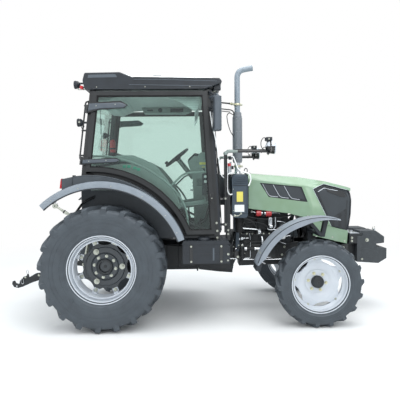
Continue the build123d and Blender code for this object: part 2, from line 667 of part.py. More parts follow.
# Door: a tube frame around one pane, following the fender's arc below, with a long cover over each hinge.
door_inner_y = cab_half_width + door_gap
door_outer_y = door_inner_y + door_thickness
door_top_z = roof_bottom_z - 22.0
door_top_rear_x = -104.0
door_top_front_x = 1168.0
door_front_x = 1255.0


def door_slab(inset, y0, y1):
    """The door's outline, drawn in by inset, between two y."""
    outline = [
        (door_rear_x + inset, shelf_height(door_rear_x) + door_sill_gap), (door_rear_x + inset, 900.0),
        (door_front_x - inset, 900.0), (door_front_x - inset, door_bottom_z),
        (door_top_front_x - inset, door_top_z - inset),
        (door_top_rear_x + inset, door_top_z - inset),
    ]
    slab = side_plate(outline, y0, y1)
    slab -= shelf_disc(door_sill_gap + inset, y0 - 1.0, y1 + 1.0)
    slab -= block(-500.0, 1500.0, y0 - 1.0, y1 + 1.0, 800.0, door_bottom_z + inset)
    return slab.solids().sort_by(SortBy.VOLUME)[-1]


pane_y = door_inner_y + door_thickness / 2
door_frame = door_slab(0.0, door_inner_y, door_outer_y) - door_slab(door_frame_width, door_inner_y - 5.0,
                                                                    door_outer_y + 5.0)
door_frame -= door_slab(door_frame_width - 12.0, pane_y - glass_thickness / 2, pane_y + glass_thickness / 2)
door_pane = door_slab(door_frame_width - 12.0, pane_y - glass_thickness / 2, pane_y + glass_thickness / 2)
cover_shapes = (                # X and Z outline of each hinge cover, from the hinge forward
    [(-236.0, 1850.0), (-228.0, 1912.0), (150.0, 1924.0), (198.0, 1899.0), (165.0, 1872.0), (-60.0, 1862.0)],
    [(-164.0, 2424.0), (-152.0, 2540.0), (215.0, 2556.0), (287.0, 2510.0), (250.0, 2474.0), (-20.0, 2462.0)],
)
for start, cover in zip(hinge_starts, cover_shapes):
    fairing = side_plate(cover, door_outer_y, door_outer_y + 24.0)
    fairing -= side_plate(cover, door_outer_y - 1.0, door_outer_y + 12.0) & block(-60.0, 400.0, 0.0, 1000.0,
            0.0, 3000.0)
    barrel = on_hinge(start, Pos(0, 0, 1.5 * barrel_height + 1.0) * Cylinder(hinge_radius, barrel_height - 4.0))
    arm = block(start.X + 4.0, door_rear_x + 40.0, door_outer_y - 4.0, door_outer_y + 20.0,
                start.Z + barrel_height + 6.0, start.Z + 2 * barrel_height - 8.0)
    clear = on_hinge(start, Pos(0, 0, barrel_height / 2 - 2.0) * Cylinder(hinge_radius + 6.0,
            barrel_height + 12.0))
    door_frame += [fairing - clear, arm, barrel]
    door_frame -= on_hinge(start, Pos(0, 0, barrel_height) * Cylinder(hinge_pin_radius + running_fit,
                                                                      3 * barrel_height))
    door_frame -= on_hinge(start, Pos(0, 0, barrel_height / 2 - 2.0) * Cylinder(hinge_radius + 1.0,
            barrel_height + 5.0))
door_frame = door_frame.solids().sort_by(SortBy.VOLUME)[-1]
keep("door_frame_left", leaned(door_frame))
keep("door_frame_right", other_side(leaned(door_frame)))
keep("door_glass_left", leaned(door_pane))
keep("door_glass_right", other_side(leaned(door_pane)))

# Front and rear windows between the pillars, on the pillars' faces.
lean_shift = (roof_bottom_z - lean_height) * tan(radians(cab_lean))
window_half = pillar_inner + 20.0


def window(low, high, thickness):
    """A pane across the cab from a low (x, z) to a high (x, z), narrowing with the sides' lean."""
    pane = side_plate([low, (low[0] + thickness, low[1]), (high[0] + thickness, high[1]), high], -window_half,
                      window_half)
    wedge = Plane.YZ.offset(-1000.0) * make_face(Polyline(
        (-window_half, lean_height), (window_half, lean_height), (window_half - lean_shift, roof_bottom_z),
        (-window_half + lean_shift, roof_bottom_z), close=True))
    return pane & extrude(wedge, amount=4000.0)


def pillar_face(foot, head, z):
    """X of a pillar's sloping face at z."""
    return foot[0] + (head[0] - foot[0]) * (z - foot[1]) / (head[1] - foot[1])


front_face = ((front_foot_x + 64.0, lean_height), (front_head_x + 66.0, roof_bottom_z + 20.0))
rear_face = ((rear_foot_x - 3.0, 1690.0), (rear_head_x, roof_bottom_z + 20.0))
screen_low_z = 1500.0
screen_top_z = roof_bottom_z - 10.0
windscreen = window((pillar_face(*front_face, screen_low_z) + seat_gap, screen_low_z),
                    (pillar_face(*front_face, screen_top_z) + seat_gap, screen_top_z), glass_thickness)
rear_low_z = 1775.0
rear_pane = window((pillar_face(*rear_face, rear_low_z) - glass_thickness - seat_gap, rear_low_z),
                   (pillar_face(*rear_face, screen_top_z) - glass_thickness - seat_gap, screen_top_z),
                   glass_thickness)
keep("cab_windows", windscreen, rear_pane)

# Roof: a dark lower moulding with a raised rear end and a visor, and a white crowned cap on it.
roof_half = 690.0
roof_band = side_plate([
    (-197.0, roof_bottom_z), (1165.0, roof_bottom_z), (1345.0, 2770.0), (1325.0, 2806.0), (345.0, 2826.0),
    (196.0, 2884.0), (-196.0, 2878.0), (-220.0, 2795.0)], -roof_half, roof_half)
keep("roof_band", roof_band)

cap_side = Plane.XZ.offset(-610.0) * make_face([
    Line((-170.0, 2886.0), (196.0, 2884.0)), Line((196.0, 2884.0), (345.0, 2826.0)),
    Line((345.0, 2826.0), (1325.0, 2806.0)),
    ThreePointArc((1325.0, 2806.0), (679.0, 2985.0), (-170.0, 2900.0)),
    Line((-170.0, 2900.0), (-170.0, 2886.0))])
cap_front = Plane.YZ.offset(-400.0) * make_face([
    Line((-600.0, 2790.0), (600.0, 2790.0)), Line((600.0, 2790.0), (560.0, 2880.0)),
    ThreePointArc((560.0, 2880.0), (0.0, 3000.0), (-560.0, 2880.0)), Line((-560.0, 2880.0), (-600.0, 2790.0))])
roof_cap = extrude(cap_side, amount=1220.0) & extrude(cap_front, amount=2000.0)
keep("roof_cap", roof_cap)

# ---------------------------------------------------------------- inside the cab
dash = side_plate([
    (firewall_x - floor_thickness, floor_z), (1020.0, floor_z), (1000.0, 1700.0), (940.0, 1900.0),
    (1020.0, 1975.0),
    (1120.0, 1975.0), (firewall_x - floor_thickness - 34.0, 1700.0), (firewall_x - floor_thickness, 1480.0)],
    -150.0, 150.0)

wheel_centre = Vector(steering_wheel_x, 0, steering_wheel_z)
wheel_plane = Plane(origin=wheel_centre, x_dir=(0, 1, 0), z_dir=(-sin(radians(steering_wheel_tilt)), 0,
                                                                 cos(radians(steering_wheel_tilt))))
ring_sides = 24
grip = steering_wheel_rim
wheel_ring = many_sided([
    (-grip, steering_wheel_radius - grip * 0.6), (0.0, steering_wheel_radius),
    (grip, steering_wheel_radius - grip * 0.6)],
    ring_sides)
wheel_ring -= many_sided([
    (-grip - 0.1, steering_wheel_radius - grip * 1.4), (0.0, steering_wheel_radius - 2 * grip),
    (grip + 0.1, steering_wheel_radius - grip * 1.4)], ring_sides)
wheel_ring = Rot(90, 0, 0) * wheel_ring + Pos(0, 0, -20.0) * Cylinder(38.0, 36.0)
for index in range(3):
    spoke = Pos((steering_wheel_radius - steering_wheel_rim) / 2 + 8.0, 0,
                -12.0) * Box(steering_wheel_radius - 22.0, 24.0, 8.0)
    wheel_ring += Rot(0, 0, 90.0 + index * 120.0) * spoke
keep("steering_wheel", wheel_plane * wheel_ring)
column_end = wheel_centre - wheel_plane.z_dir * 38.0
dash += rod(column_end, column_end - wheel_plane.z_dir * 300.0, 30.0)
keep("dash_console", dash)

seat_x = 330.0
seat_base = block(seat_x - 190.0, seat_x + 180.0, -170.0, 170.0, platform_z, platform_z + 60.0)
seat_base &= block(seat_x - 190.0, platform_front_x + floor_thickness, -170.0, 170.0, 0.0, 3000.0)
seat_base += side_plate([
    (seat_x - 120.0, platform_z + 50.0), (platform_front_x, platform_z + 50.0),
    (seat_x + 120.0, platform_z + 250.0),
    (seat_x - 170.0, platform_z + 250.0)], -140.0, 140.0)
cab_floor += seat_base
keep("cab_floor", cab_floor)
seat_top_z = platform_z + 250.0
cushion = side_plate([
    (seat_x - 190.0, seat_top_z + seat_gap), (seat_x + 260.0, seat_top_z + seat_gap),
    (seat_x + 270.0, seat_top_z + 110.0),
    (seat_x - 150.0, seat_top_z + 90.0)], -235.0, 235.0, corner=20.0)
backrest = side_plate([
    (seat_x - 185.0, seat_top_z + 60.0), (seat_x - 85.0, seat_top_z + 60.0),
    (seat_x - 190.0, seat_top_z + 560.0),
    (seat_x - 290.0, seat_top_z + 560.0)], -215.0, 215.0, corner=20.0)
keep("seat", cushion + backrest)

side_console = side_plate([
    (-200.0, platform_z), (platform_front_x, platform_z), (620.0, 1480.0), (560.0, 1560.0), (-120.0, 1600.0),
    (-200.0, 1560.0)],
    300.0, fender_inner_y)
keep("side_consoles", both_sides(side_console))


# ---------------------------------------------------------------- hood
hood_rear_x = 1690.0
hood_sections = (               # X, top half width, top, side half width, crease height
    (hood_rear_x, 235.0, 1748.0, 300.0, 1680.0),
    (2353.0, 225.0, 1690.0, 300.0, 1592.0),
    (2670.0, 205.0, 1640.0, 290.0, 1520.0),
    (2950.0, 165.0, 1570.0, 255.0, 1420.0),
    (3030.0, 120.0, 1548.0, 205.0, 1380.0),
)
hood_bottom_z = 850.0
nose_outline = ((3027.0, 1560.0), (3009.0, 1500.0), (2992.0, 1217.0), (2946.0, 1020.0), (2930.0, 850.0))


def hood_volume(inset, tail=0.0):
    """The hood's outer form drawn in by inset, with its rear end moved back by tail."""
    faces = []
    for x, top_half, top, side_half, crease in hood_sections:
        place = x - tail if x == hood_rear_x else x
        corners = [
            (-side_half + inset, hood_bottom_z - tail), (side_half - inset, hood_bottom_z - tail),
            (side_half - inset, crease - inset / 2), (top_half - inset, top - inset),
            (0.0, top + 10.0 - inset), (-top_half + inset, top - inset),
            (-side_half + inset, crease - inset / 2),
        ]
        faces.append(Plane.YZ.offset(place) * make_face(Polyline(*corners, close=True)))
    nose = [(x - inset, z) for x, z in nose_outline]
    ahead = [(4000.0, nose[0][1] + 300.0), (nose[0][0], nose[0][1] + 300.0)] + nose
    ahead += [(nose[-1][0], 0.0), (4000.0, 0.0)]
    return loft(faces, ruled=True) - side_plate(ahead, -500.0, 500.0)


def across(points):
    """A cutter right through the hood from side to side."""
    return side_plate(points, -500.0, 500.0)


hood_shell = hood_volume(0.0) - hood_volume(hood_wall, tail=5.0)
hood_split = [(1600.0, 1322.0), (1672.0, 1312.0), (2186.0, 1246.0), (2333.0, 1207.0), (2491.0, 1186.0),
              (2730.0, 1075.0), (2946.0, 1020.0), (3100.0, 1008.0)]
split_gap = 6.0
upper_cut = [(x, z + split_gap / 2) for x, z in hood_split] + [(3100.0, 500.0), (1600.0, 500.0)]
lower_keep = [(2491.0, 1186.0 - split_gap / 2), (2730.0, 1075.0 - split_gap / 2),
              (2946.0, 1020.0 - split_gap / 2),
              (3100.0, 1008.0 - split_gap / 2), (3100.0, 845.0), (2930.0, 857.0), (2491.0, 968.0)]
grille_region = [(2492.0, 1547.0), (2637.0, 1607.0), (3100.0, 1494.0), (3100.0, 900.0), (2946.0, 1023.0),
                 (2730.0, 1078.0)]
vent_region = [(1831.0, 1628.0), (2345.0, 1574.0), (2419.0, 1390.0), (1941.0, 1456.0)]
hood_upper = hood_shell - across(upper_cut) - across(grille_region) - across(vent_region)
hood_ear = side_plate([
    (hood_hinge_x - 2.0, hood_hinge_z - 16.0), (hood_hinge_x + 40.0, hood_hinge_z - 16.0),
    (hood_hinge_x + 60.0, 1748.0),
    (hood_hinge_x - 2.0, 1750.0)], 120.0, 132.0) & hood_volume(1.0)
hood_ear += rod_y(hood_hinge_x + 6.0, hood_hinge_z, 15.0, 120.0, 132.0)
hood_ear -= rod_y(hood_hinge_x + 6.0, hood_hinge_z, hood_pin_radius + running_fit, 100.0, 150.0)
hood_upper += [hood_ear, other_side(hood_ear)]
hood_upper = hood_upper.solids().sort_by(SortBy.VOLUME)[-1]
keep("hood_shell", hood_upper)

hood_lower = (hood_shell & across(lower_keep)).solids()
keep("hood_lower_panels", hood_lower)

grille_recess = 8.0
grille_wall = 10.0
grille_slot_count = 7
grille_slot_pitch = 54.0
grille_slot_half = 100.0
grille_bar = 22.0
grille_skin = (hood_volume(grille_recess) - hood_volume(grille_recess + grille_wall,
                                                        tail=5.0)) & across(grille_region)
grille_skin -= across(upper_cut)
for index in range(grille_slot_count):
    slot_z = 1098.0 + index * grille_slot_pitch
    grille_skin -= block(2930.0, 3100.0, -grille_slot_half, grille_slot_half, slot_z,
                         slot_z + grille_slot_pitch - grille_bar)
keep("hood_grille", grille_skin.solids().sort_by(SortBy.VOLUME)[-1])
vent_skin = (hood_volume(5.0) - hood_volume(5.0 + grille_wall, tail=5.0)) & across(vent_region)
keep("hood_side_vents", vent_skin.solids())

# Scuttle: closes the space between the hood and the cab, and carries the hood's hinge pins.
scuttle_front_x = 1655.0
scuttle = side_plate([
    (firewall_x, 1360.0), (scuttle_front_x, 1360.0), (scuttle_front_x, 1690.0), (1560.0, 1722.0),
    (firewall_x, 1740.0)], -285.0, 285.0)
scuttle -= side_plate([
    (firewall_x + 14.0, 1300.0), (scuttle_front_x - 14.0, 1300.0), (scuttle_front_x - 14.0, 1680.0),
    (1560.0, 1708.0),
    (firewall_x + 14.0, 1726.0)], -271.0, 271.0)
pin_x = hood_hinge_x + 6.0
hinge_bracket = side_plate([
    (scuttle_front_x - 5.0, 1640.0), (scuttle_front_x + 12.0, 1640.0), (pin_x + 10.0, hood_hinge_z - 4.0),
    (pin_x - 9.0, hood_hinge_z - 4.0), (scuttle_front_x - 5.0, 1676.0)], 100.0, 118.0)
hinge_bracket += rod_y(pin_x, hood_hinge_z, hood_pin_radius + 2.5, 100.0, 118.0)
hinge_bracket += rod_y(pin_x, hood_hinge_z, hood_pin_radius, 110.0, 136.0)
scuttle += [hinge_bracket, other_side(hinge_bracket)]
keep("scuttle", scuttle)

# ---------------------------------------------------------------- beside the hood
box_outer_y = -560.0
box_inner_y = -330.0
filter_box = side_plate([
    (1460.0, 1250.0), (1490.0, 1222.0), (1625.0, 1222.0), (1646.0, 1250.0), (1646.0, 1700.0), (1620.0, 1730.0),
    (1480.0, 1730.0), (1460.0, 1705.0)], box_inner_y, box_outer_y)
for index in range(4):
    rib_z = 1620.0 + index * 24.0
    filter_box -= block(1475.0, 1632.0, box_outer_y - 1.0, box_outer_y + 6.0, rib_z, rib_z + 9.0)
filter_box += block(1500.0, 1600.0, -frame_rail_y - 140.0, -frame_rail_y - 45.0, 1040.0, 1223.0)
filter_box += block(1500.0, 1600.0, box_inner_y - 30.0, -frame_rail_y - 45.0, 1180.0, 1260.0)
box_arm = block(1530.0, 1575.0, -frame_rail_y - 80.0, -frame_rail_y - 35.3, 780.0, 1050.0)
filter_box += box_arm
keep("filter_box", filter_box)

exhaust_elbow = (               # X and Z of the mitred bend's corners, from the upright to the tip
    (exhaust_x, exhaust_top_z - 48.0), (exhaust_x + 12.0, exhaust_top_z + 0.0),
    (exhaust_x + 48.0, exhaust_top_z + 34.0),
    (exhaust_x + 96.0, exhaust_top_z + 48.0), (exhaust_tip_x, exhaust_top_z + 62.0),
)
stack = pipe([(exhaust_x, exhaust_y, 1730.0)] + [(x, exhaust_y, z) for x, z in exhaust_elbow], exhaust_radius)
mouth_start = exhaust_elbow[-2]
mouth_end = (exhaust_tip_x + 30.0, exhaust_top_z + 62.0 + 30.0 * 14.0 / (exhaust_tip_x - exhaust_x - 96.0))
stack -= rod((mouth_start[0] + 10.0, exhaust_y, mouth_start[1] + 1.8), (mouth_end[0], exhaust_y, mouth_end[1]),
             exhaust_radius - 4.0)
sleeve = rod_z(exhaust_x, exhaust_y, exhaust_sleeve_radius, 1870.0, 2240.0)
sleeve = chamfer(sleeve.edges(), 14.0) - rod_z(exhaust_x, exhaust_y, exhaust_radius - 3.0, 1860.0, 2250.0)
stack += sleeve
stack += rod_z(exhaust_x, exhaust_y, exhaust_radius + 6.0, 2612.0, 2640.0) - rod_z(exhaust_x, exhaust_y,
        exhaust_radius - 2.0, 2600.0, 2650.0)
keep("exhaust_stack", stack)

# Right side: a fuel tank with a tread on top doubles as the step. Left side: two open steps.
tank_inner_y = -300.0
tank_outer_y = -800.0
tank = side_plate([
    (881.0, 735.0), (1410.0, 735.0), (1410.0, 930.0), (1380.0, 950.0), (881.0, 950.0)], tank_inner_y,
    tank_outer_y, corner=12.0)
tread = side_plate([(872.0, 950.0), (1412.0, 950.0), (1392.0, 990.0), (892.0, 990.0)], tank_inner_y - 120.0,
                   tank_outer_y - 4.0)
tread += rod_z(1120.0, -735.0, 62.0, 989.0, 1012.0)
tank += tread
tank += block(950.0, 1010.0, -304.0, -136.0, 760.0, 860.0)
tank += block(1250.0, 1310.0, -304.0, -170.0, 760.0, 860.0)
tank -= section_loft([
    (430.0, 135.0, 520.0, 900.0, 45.0), (1050.0, 135.0, 520.0, 900.0, 45.0),
    (1330.0, 175.0, 490.0, 930.0, 60.0),
    (1500.0, 200.0, 480.0, 940.0, 70.0)])
tank += rod_z(1090.0, -560.0, 24.0, 712.0, 736.0)
keep("fuel_tank", tank)

left_step = block(930.0, 960.0, 600.0, 640.0, 480.0, floor_z - floor_thickness)
left_step += block(1210.0, 1240.0, 600.0, 640.0, 480.0, floor_z - floor_thickness)
for tread_z, out in ((480.0, 800.0), (745.0, 770.0)):
    left_step += block(915.0, 1255.0, 600.0, out, tread_z, tread_z + 24.0)
battery_box = block(900.0, 1290.0, 300.0, 560.0, 720.0, 975.0)
battery_box += block(950.0, 1010.0, 136.0, 304.0, 760.0, 860.0)
battery_box += block(1200.0, 1260.0, 160.0, 304.0, 760.0, 860.0)
battery_box -= section_loft([
    (430.0, 135.0, 520.0, 900.0, 45.0), (1050.0, 135.0, 520.0, 900.0, 45.0),
    (1330.0, 175.0, 490.0, 930.0, 60.0),
    (1500.0, 200.0, 480.0, 940.0, 70.0)])
for bar_x in (930.0, 1210.0):
    left_step += block(bar_x, bar_x + 30.0, 559.0, 601.0, 880.0, 930.0)
keep("battery_box_and_step", battery_box + left_step)

# Front mudguards: a rolled sheet over each front wheel on a forked bracket from the frame.
mudguard_axle = (wheelbase, front_tyre_radius)
mudguard = arc_sector(mudguard_axle, mudguard_radius - mudguard_wall, mudguard_radius, mudguard_front_angle,
                      mudguard_rear_angle, mudguard_inner_y, mudguard_outer_y)
mudguard += arc_sector(mudguard_axle, mudguard_radius - 30.0, mudguard_radius, mudguard_front_angle + 4.0,
                       mudguard_rear_angle, mudguard_outer_y - mudguard_wall, mudguard_outer_y)
bracket_y = frame_rail_y + seat_gap + 10.0 + frame_rail_wall
bracket = block(2440.0, 2485.0, bracket_y, bracket_y + 22.0, 790.0, 1050.0)
bracket += block(2440.0, 2485.0, bracket_y, 760.0, 1015.0, 1050.0)
for angle in (82.0, 104.0):
    reach = mudguard_radius - mudguard_wall / 2
    tip = (wheelbase + reach * cos(radians(angle)), front_tyre_radius + reach * sin(radians(angle)))
    leg = side_plate([(2440.0, 1016.0), (2485.0, 1016.0), (tip[0] + 24.0, tip[1] + 60.0),
                      (tip[0] - 24.0, tip[1] + 60.0)],
                     700.0, 760.0)
    bracket += leg
bracket -= block(1000.0, 3000.0, 0.0, 1000.0, 1051.0, 2000.0) - rod_y(wheelbase, front_tyre_radius, reach, 0.0,
                                                                      1000.0)
keep("front_mudguards", both_sides(mudguard + bracket))

# ---------------------------------------------------------------- front ballast and tow hitch
carrier_rear_x = 2960.0
weight_rear_x = 3060.0
weight_inner_y = hitch_half_width + weight_gap
ballast_half = weight_inner_y + weight_count * (weight_thickness + weight_gap) - weight_gap
carrier = side_plate([
    (carrier_rear_x, 690.0), (weight_rear_x - 30.0, 690.0), (weight_rear_x - 8.0, 760.0),
    (weight_rear_x - 8.0, 955.0),
    (3120.0, 955.0), (3120.0, 985.0), (carrier_rear_x, 985.0)], -ballast_half, ballast_half)
carrier -= block(carrier_rear_x - 1.0, 3200.0, -ballast_half - 1.0, -180.0, 600.0, 860.0)
carrier -= block(carrier_rear_x - 1.0, 3200.0, 180.0, ballast_half + 1.0, 600.0, 860.0)
carrier -= hood_volume(-8.0)
weight_outline = [
    (weight_rear_x - 6.0, 625.0), (3330.0, 605.0), (3432.0, 668.0), (3432.0, 795.0), (3300.0, 811.0),
    (3300.0, 850.0), (3400.0, 862.0), (3400.0, 940.0), (3290.0, 1018.0), (3085.0, 1018.0), (3085.0, 985.0),
    (3124.0, 985.0), (3124.0, 952.0), (weight_rear_x - 6.0, 952.0)]
weights = []
for index in range(weight_count):
    low_y = weight_inner_y + index * (weight_thickness + weight_gap)
    weights.append(side_plate(weight_outline, low_y, low_y + weight_thickness))
keep("front_weights", *[both_sides(weight) for weight in weights])

# The tow hitch is cast with the carrier: two jaws between the weights and a pin down through them.
hitch_front_x = 3442.0
tow_body = side_plate([
    (weight_rear_x - 20.0, 700.0), (3320.0, 700.0), (hitch_front_x - 22.0, 752.0),
    (hitch_front_x - 22.0, 800.0),
    (3330.0, 812.0), (3330.0, 846.0), (hitch_front_x, 858.0), (hitch_front_x, 950.0), (3300.0, 985.0),
    (weight_rear_x - 20.0, 985.0)], -hitch_half_width, hitch_half_width)
tow_pin_x = 3385.0
tow_pin = rod_z(tow_pin_x, 0.0, 13.0, 740.0, 1000.0)
carrier += tow_body
carrier += tow_pin
keep("weight_carrier", carrier)

# ---------------------------------------------------------------- lamps and mirrors
def round_lamp(x, y, z, radius, depth, facing):
    """A lamp housing with a bevelled back, facing along X."""
    housing = many_sided([(-depth / 2, radius * 0.6), (-depth * 0.1, radius), (depth / 2, radius)], 16)
    return Pos(x, y, z) * Rot(0, 0, -90.0 * facing) * housing


roof_lamp = round_lamp(-310.0, 560.0, 2772.0, 44.0, 60.0, -1) + block(-290.0, -205.0, 548.0, 572.0, 2780.0,
                                                                      2796.0)
roof_lamp -= roof_band
post_lamp = round_lamp(-262.0, 640.0, 2330.0, 44.0, 60.0, -1)
post_share = (2330.0 - rear_face[0][1]) / (rear_face[1][1] - rear_face[0][1])
post_x = rear_face[0][0] + (rear_face[1][0] - rear_face[0][0]) * post_share
post_lamp += block(-240.0, post_x + 4.0, 630.0, 652.0, 2320.0, 2340.0)
post_lamp -= rear_pillar
post_lamp -= rear_pane
post_lamp = post_lamp.solids().sort_by(SortBy.VOLUME)[-1]

front_roof_lamp = block(1215.0, 1290.0, 400.0, 520.0, 2690.0, 2760.0)
front_roof_lamp -= roof_band
keep("work_lamps", both_sides(roof_lamp), both_sides(post_lamp), both_sides(front_roof_lamp))

guard_x = 1378.0
guard_y = 610.0
guard_radius = 16.0
lamp_z = 2046.0
lamp_y = 560.0
lamp_front_x = 1958.0
lamp_arm = pipe([
    (guard_x, guard_y, 1060.0), (guard_x, guard_y, 1970.0), (guard_x + 30.0, guard_y - 3.0, 1998.0),
    (1900.0, lamp_y, 1998.0)],
    guard_radius)
for clamp_z in (1140.0, 1440.0):
    lamp_arm += block(firewall_x, guard_x, guard_y - 12.0, guard_y + 12.0, clamp_z, clamp_z + 26.0)
lamp_arm += round_lamp(lamp_front_x - 50.0, lamp_y, lamp_z, 76.0, 90.0, 1)
lamp_arm += block(1862.0, 1925.0, lamp_y - 38.0, lamp_y + 38.0, lamp_z + 70.0, lamp_z + 112.0)
keep("front_lamps", both_sides(lamp_arm))

mirror_body = block(1228.0, 1318.0, 778.0, 940.0, 2205.0, 2566.0)
mirror_body = chamfer(mirror_body.edges().filter_by(Axis.Z), 26.0)
mirror_arm = pipe([(1195.0, 635.0, 2600.0), (1276.0, 840.0, 2600.0), (1286.0, 860.0, 2580.0),
                   (1280.0, 860.0, 2480.0)], 11.0)
mirror_arm -= front_pillar
mirror_piece = (mirror_body + mirror_arm).solids().sort_by(SortBy.VOLUME)[-1]
keep("mirrors", both_sides(mirror_piece))

# ---------------------------------------------------------------- three-point linkage and drawbar
link_angle = degrees(atan2(545.0 - link_pivot_z, 857.0 + link_pivot_x))
link_bend_x = -857.0
link_bend_z = 545.0


def link_y(x):
    """Y of the link's middle: it splays out from its pivot to its claw."""
    return link_pivot_y + (link_end_y - link_pivot_y) * (link_pivot_x - x) / (link_pivot_x - link_bend_x)


link_sections = [(link_pivot_x - 20.0, link_pivot_z + 1.5, 26.0), (link_bend_x + 60.0, link_bend_z - 5.0, 34.0)]
link_faces = []
for x, z, half_height in link_sections:
    corners = [(link_y(x) - 13.0, z - half_height), (link_y(x) + 13.0, z - half_height),
               (link_y(x) + 13.0, z + half_height), (link_y(x) - 13.0, z + half_height)]
    link_faces.append(Plane.YZ.offset(x) * make_face(Polyline(*corners, close=True)))
lower_link = loft(link_faces, ruled=True)
lower_link += rod_y(link_pivot_x, link_pivot_z, 36.0, link_pivot_y - 13.0, link_pivot_y + 13.0)
lower_link -= rod_y(link_pivot_x, link_pivot_z, 14.0 + running_fit, 200.0, 300.0)
claw = side_plate([
    (link_bend_x + 70.0, 574.0), (link_bend_x + 70.0, 506.0), (-940.0, 458.0), (-1055.0, 408.0),
    (-1110.0, 392.0),
    (-1160.0, 404.0), (-1184.0, 440.0), (-1180.0, 472.0), (-1158.0, 478.0), (-1148.0, 450.0), (-1120.0, 436.0),
    (-1096.0, 450.0), (-1090.0, 484.0), (-1050.0, 506.0), (-1010.0, 504.0), (-980.0, 520.0), (-900.0, 566.0)],
    link_end_y - link_thickness / 2, link_end_y + link_thickness / 2)
lower_link += claw
keep("lower_link_left", lower_link)
keep("lower_link_right", other_side(lower_link))

arm_angle = radians(lift_arm_drop)
arm_end = (lift_shaft_x - lift_arm_length * cos(arm_angle), lift_shaft_z - lift_arm_length * sin(arm_angle))
lift_arms = rod_y(lift_shaft_x, lift_shaft_z, 38.0, -250.0, 250.0)
for sign in (1, -1):
    low_y, high_y = sorted((sign * (lift_arm_y - 14.0), sign * (lift_arm_y + 14.0)))
    arm_bar = side_plate([
        (lift_shaft_x + 20.0, lift_shaft_z + 52.0), (lift_shaft_x + 50.0, lift_shaft_z),
        (lift_shaft_x + 20.0, lift_shaft_z - 52.0),
        (arm_end[0] - 10.0, arm_end[1] - 26.0), (arm_end[0] - 28.0, arm_end[1]),
        (arm_end[0] - 10.0, arm_end[1] + 26.0)],
        low_y, high_y)
    pin_low, pin_high = sorted((sign * (lift_arm_y + 10.0), sign * (lift_arm_y + 46.0)))
    lift_arms += arm_bar
    lift_arms += rod_y(arm_end[0], arm_end[1], 12.0, pin_low, pin_high)
keep("lift_arms", lift_arms)

rod_top = Vector(arm_end[0], lift_arm_y + 31.0, arm_end[1])
rod_eye_x = link_pivot_x - link_rod_reach
rod_eye_z = link_pivot_z + link_rod_reach * tan(radians(link_angle))
rod_eye_y = link_y(rod_eye_x + 26.0) - 13.0 - 6.0
rod_foot = Vector(rod_eye_x, rod_eye_y - 9.0, rod_eye_z)
along = (rod_foot - rod_top).normalized()
lift_rod = rod(rod_top + along * 20.0, rod_foot - along * 20.0, 13.0)
lift_rod += rod(rod_top + along * 120.0, rod_top + along * 330.0, 22.0)
lift_rod += rod_y(rod_top.X, rod_top.Z, 28.0, rod_top.Y - 12.0, rod_top.Y + 12.0)
lift_rod += rod_y(rod_foot.X, rod_foot.Z, 26.0, rod_foot.Y - 9.0, rod_foot.Y + 9.0)
lift_rod -= rod_y(rod_top.X, rod_top.Z, 12.0 + running_fit, 200.0, 320.0)
lift_rod -= rod_y(rod_foot.X, rod_foot.Z, 12.0, 200.0, 400.0)
keep("lift_rod_left", lift_rod)
keep("lift_rod_right", other_side(lift_rod))

clevis_x = -330.0
clevis_z = 1045.0
top_link_end = (-790.0, 1352.0)
clevis_ears = side_plate([
    (-215.0, 990.0), (clevis_x, clevis_z - 22.0), (clevis_x - 22.0, clevis_z), (clevis_x, clevis_z + 22.0),
    (-215.0, 1044.0)],
    26.0, 42.0)
link_bracket = block(10.0, 70.0, 130.0, link_pivot_y - 14.0, 440.0, 520.0)
link_pin = rod_y(link_pivot_x, link_pivot_z, 14.0, 150.0, link_pivot_y + 18.0)
gearbox += [clevis_ears, other_side(clevis_ears), link_bracket, other_side(link_bracket), link_pin,
            other_side(link_pin)]
gearbox += rod_y(clevis_x, clevis_z, 12.0, -44.0, 44.0)
pto_guard = block(-420.0, pto_face_x, -95.0, 95.0, 690.0, 698.0)
pto_guard += [block(-420.0, pto_face_x, 87.0, 95.0, 610.0, 697.0),
              block(-420.0, pto_face_x, -95.0, -87.0, 610.0, 697.0)]
keep("pto_guard", Part() + pto_guard)

reach_x = top_link_end[0] - clevis_x
reach_z = top_link_end[1] - clevis_z
link_length = hypot(reach_x, reach_z)
toward = Vector(reach_x / link_length, 0, reach_z / link_length)
link_start = Vector(clevis_x, 0, clevis_z)
link_finish = Vector(top_link_end[0], 0, top_link_end[1])
top_link = rod(link_start + toward * 22.0, link_finish - toward * 22.0, 14.0)
top_link += rod(link_start + toward * 110.0, link_start + toward * (link_length - 130.0), 22.0)
top_link += rod_y(clevis_x, clevis_z, 28.0, -24.0, 24.0)
top_link += rod_y(link_finish.X, link_finish.Z, 32.0, -22.0, 22.0)
top_link -= rod_y(clevis_x, clevis_z, 12.0 + running_fit, -60.0, 60.0)
top_link -= rod_y(link_finish.X, link_finish.Z, 9.7, -60.0, 60.0)
keep("top_link", top_link)

pto_shaft = rod_x(0, pto_z, pto_radius + 8.0, pto_face_x - 6.0, pto_face_x + 110.0)
pto_shaft += rod_x(0, pto_z, pto_radius, pto_face_x - 6.0 - pto_length, pto_face_x)
keep("pto_shaft", pto_shaft)

# The drawbar hangs under the housing, its eye behind it.
drawbar_eye_x = -470.0
drawbar = block(-500.0, 120.0, -32.0, 32.0, 400.0, 428.0)
drawbar += block(-250.0, -190.0, -32.0, 32.0, 427.0, 520.0)
drawbar += block(60.0, 120.0, -32.0, 32.0, 427.0, 480.0)
drawbar -= rod_z(drawbar_eye_x, 0.0, 14.0, 390.0, 440.0)
gearbox += drawbar
keep("transmission_housing", gearbox.solids().sort_by(SortBy.VOLUME)[-1])

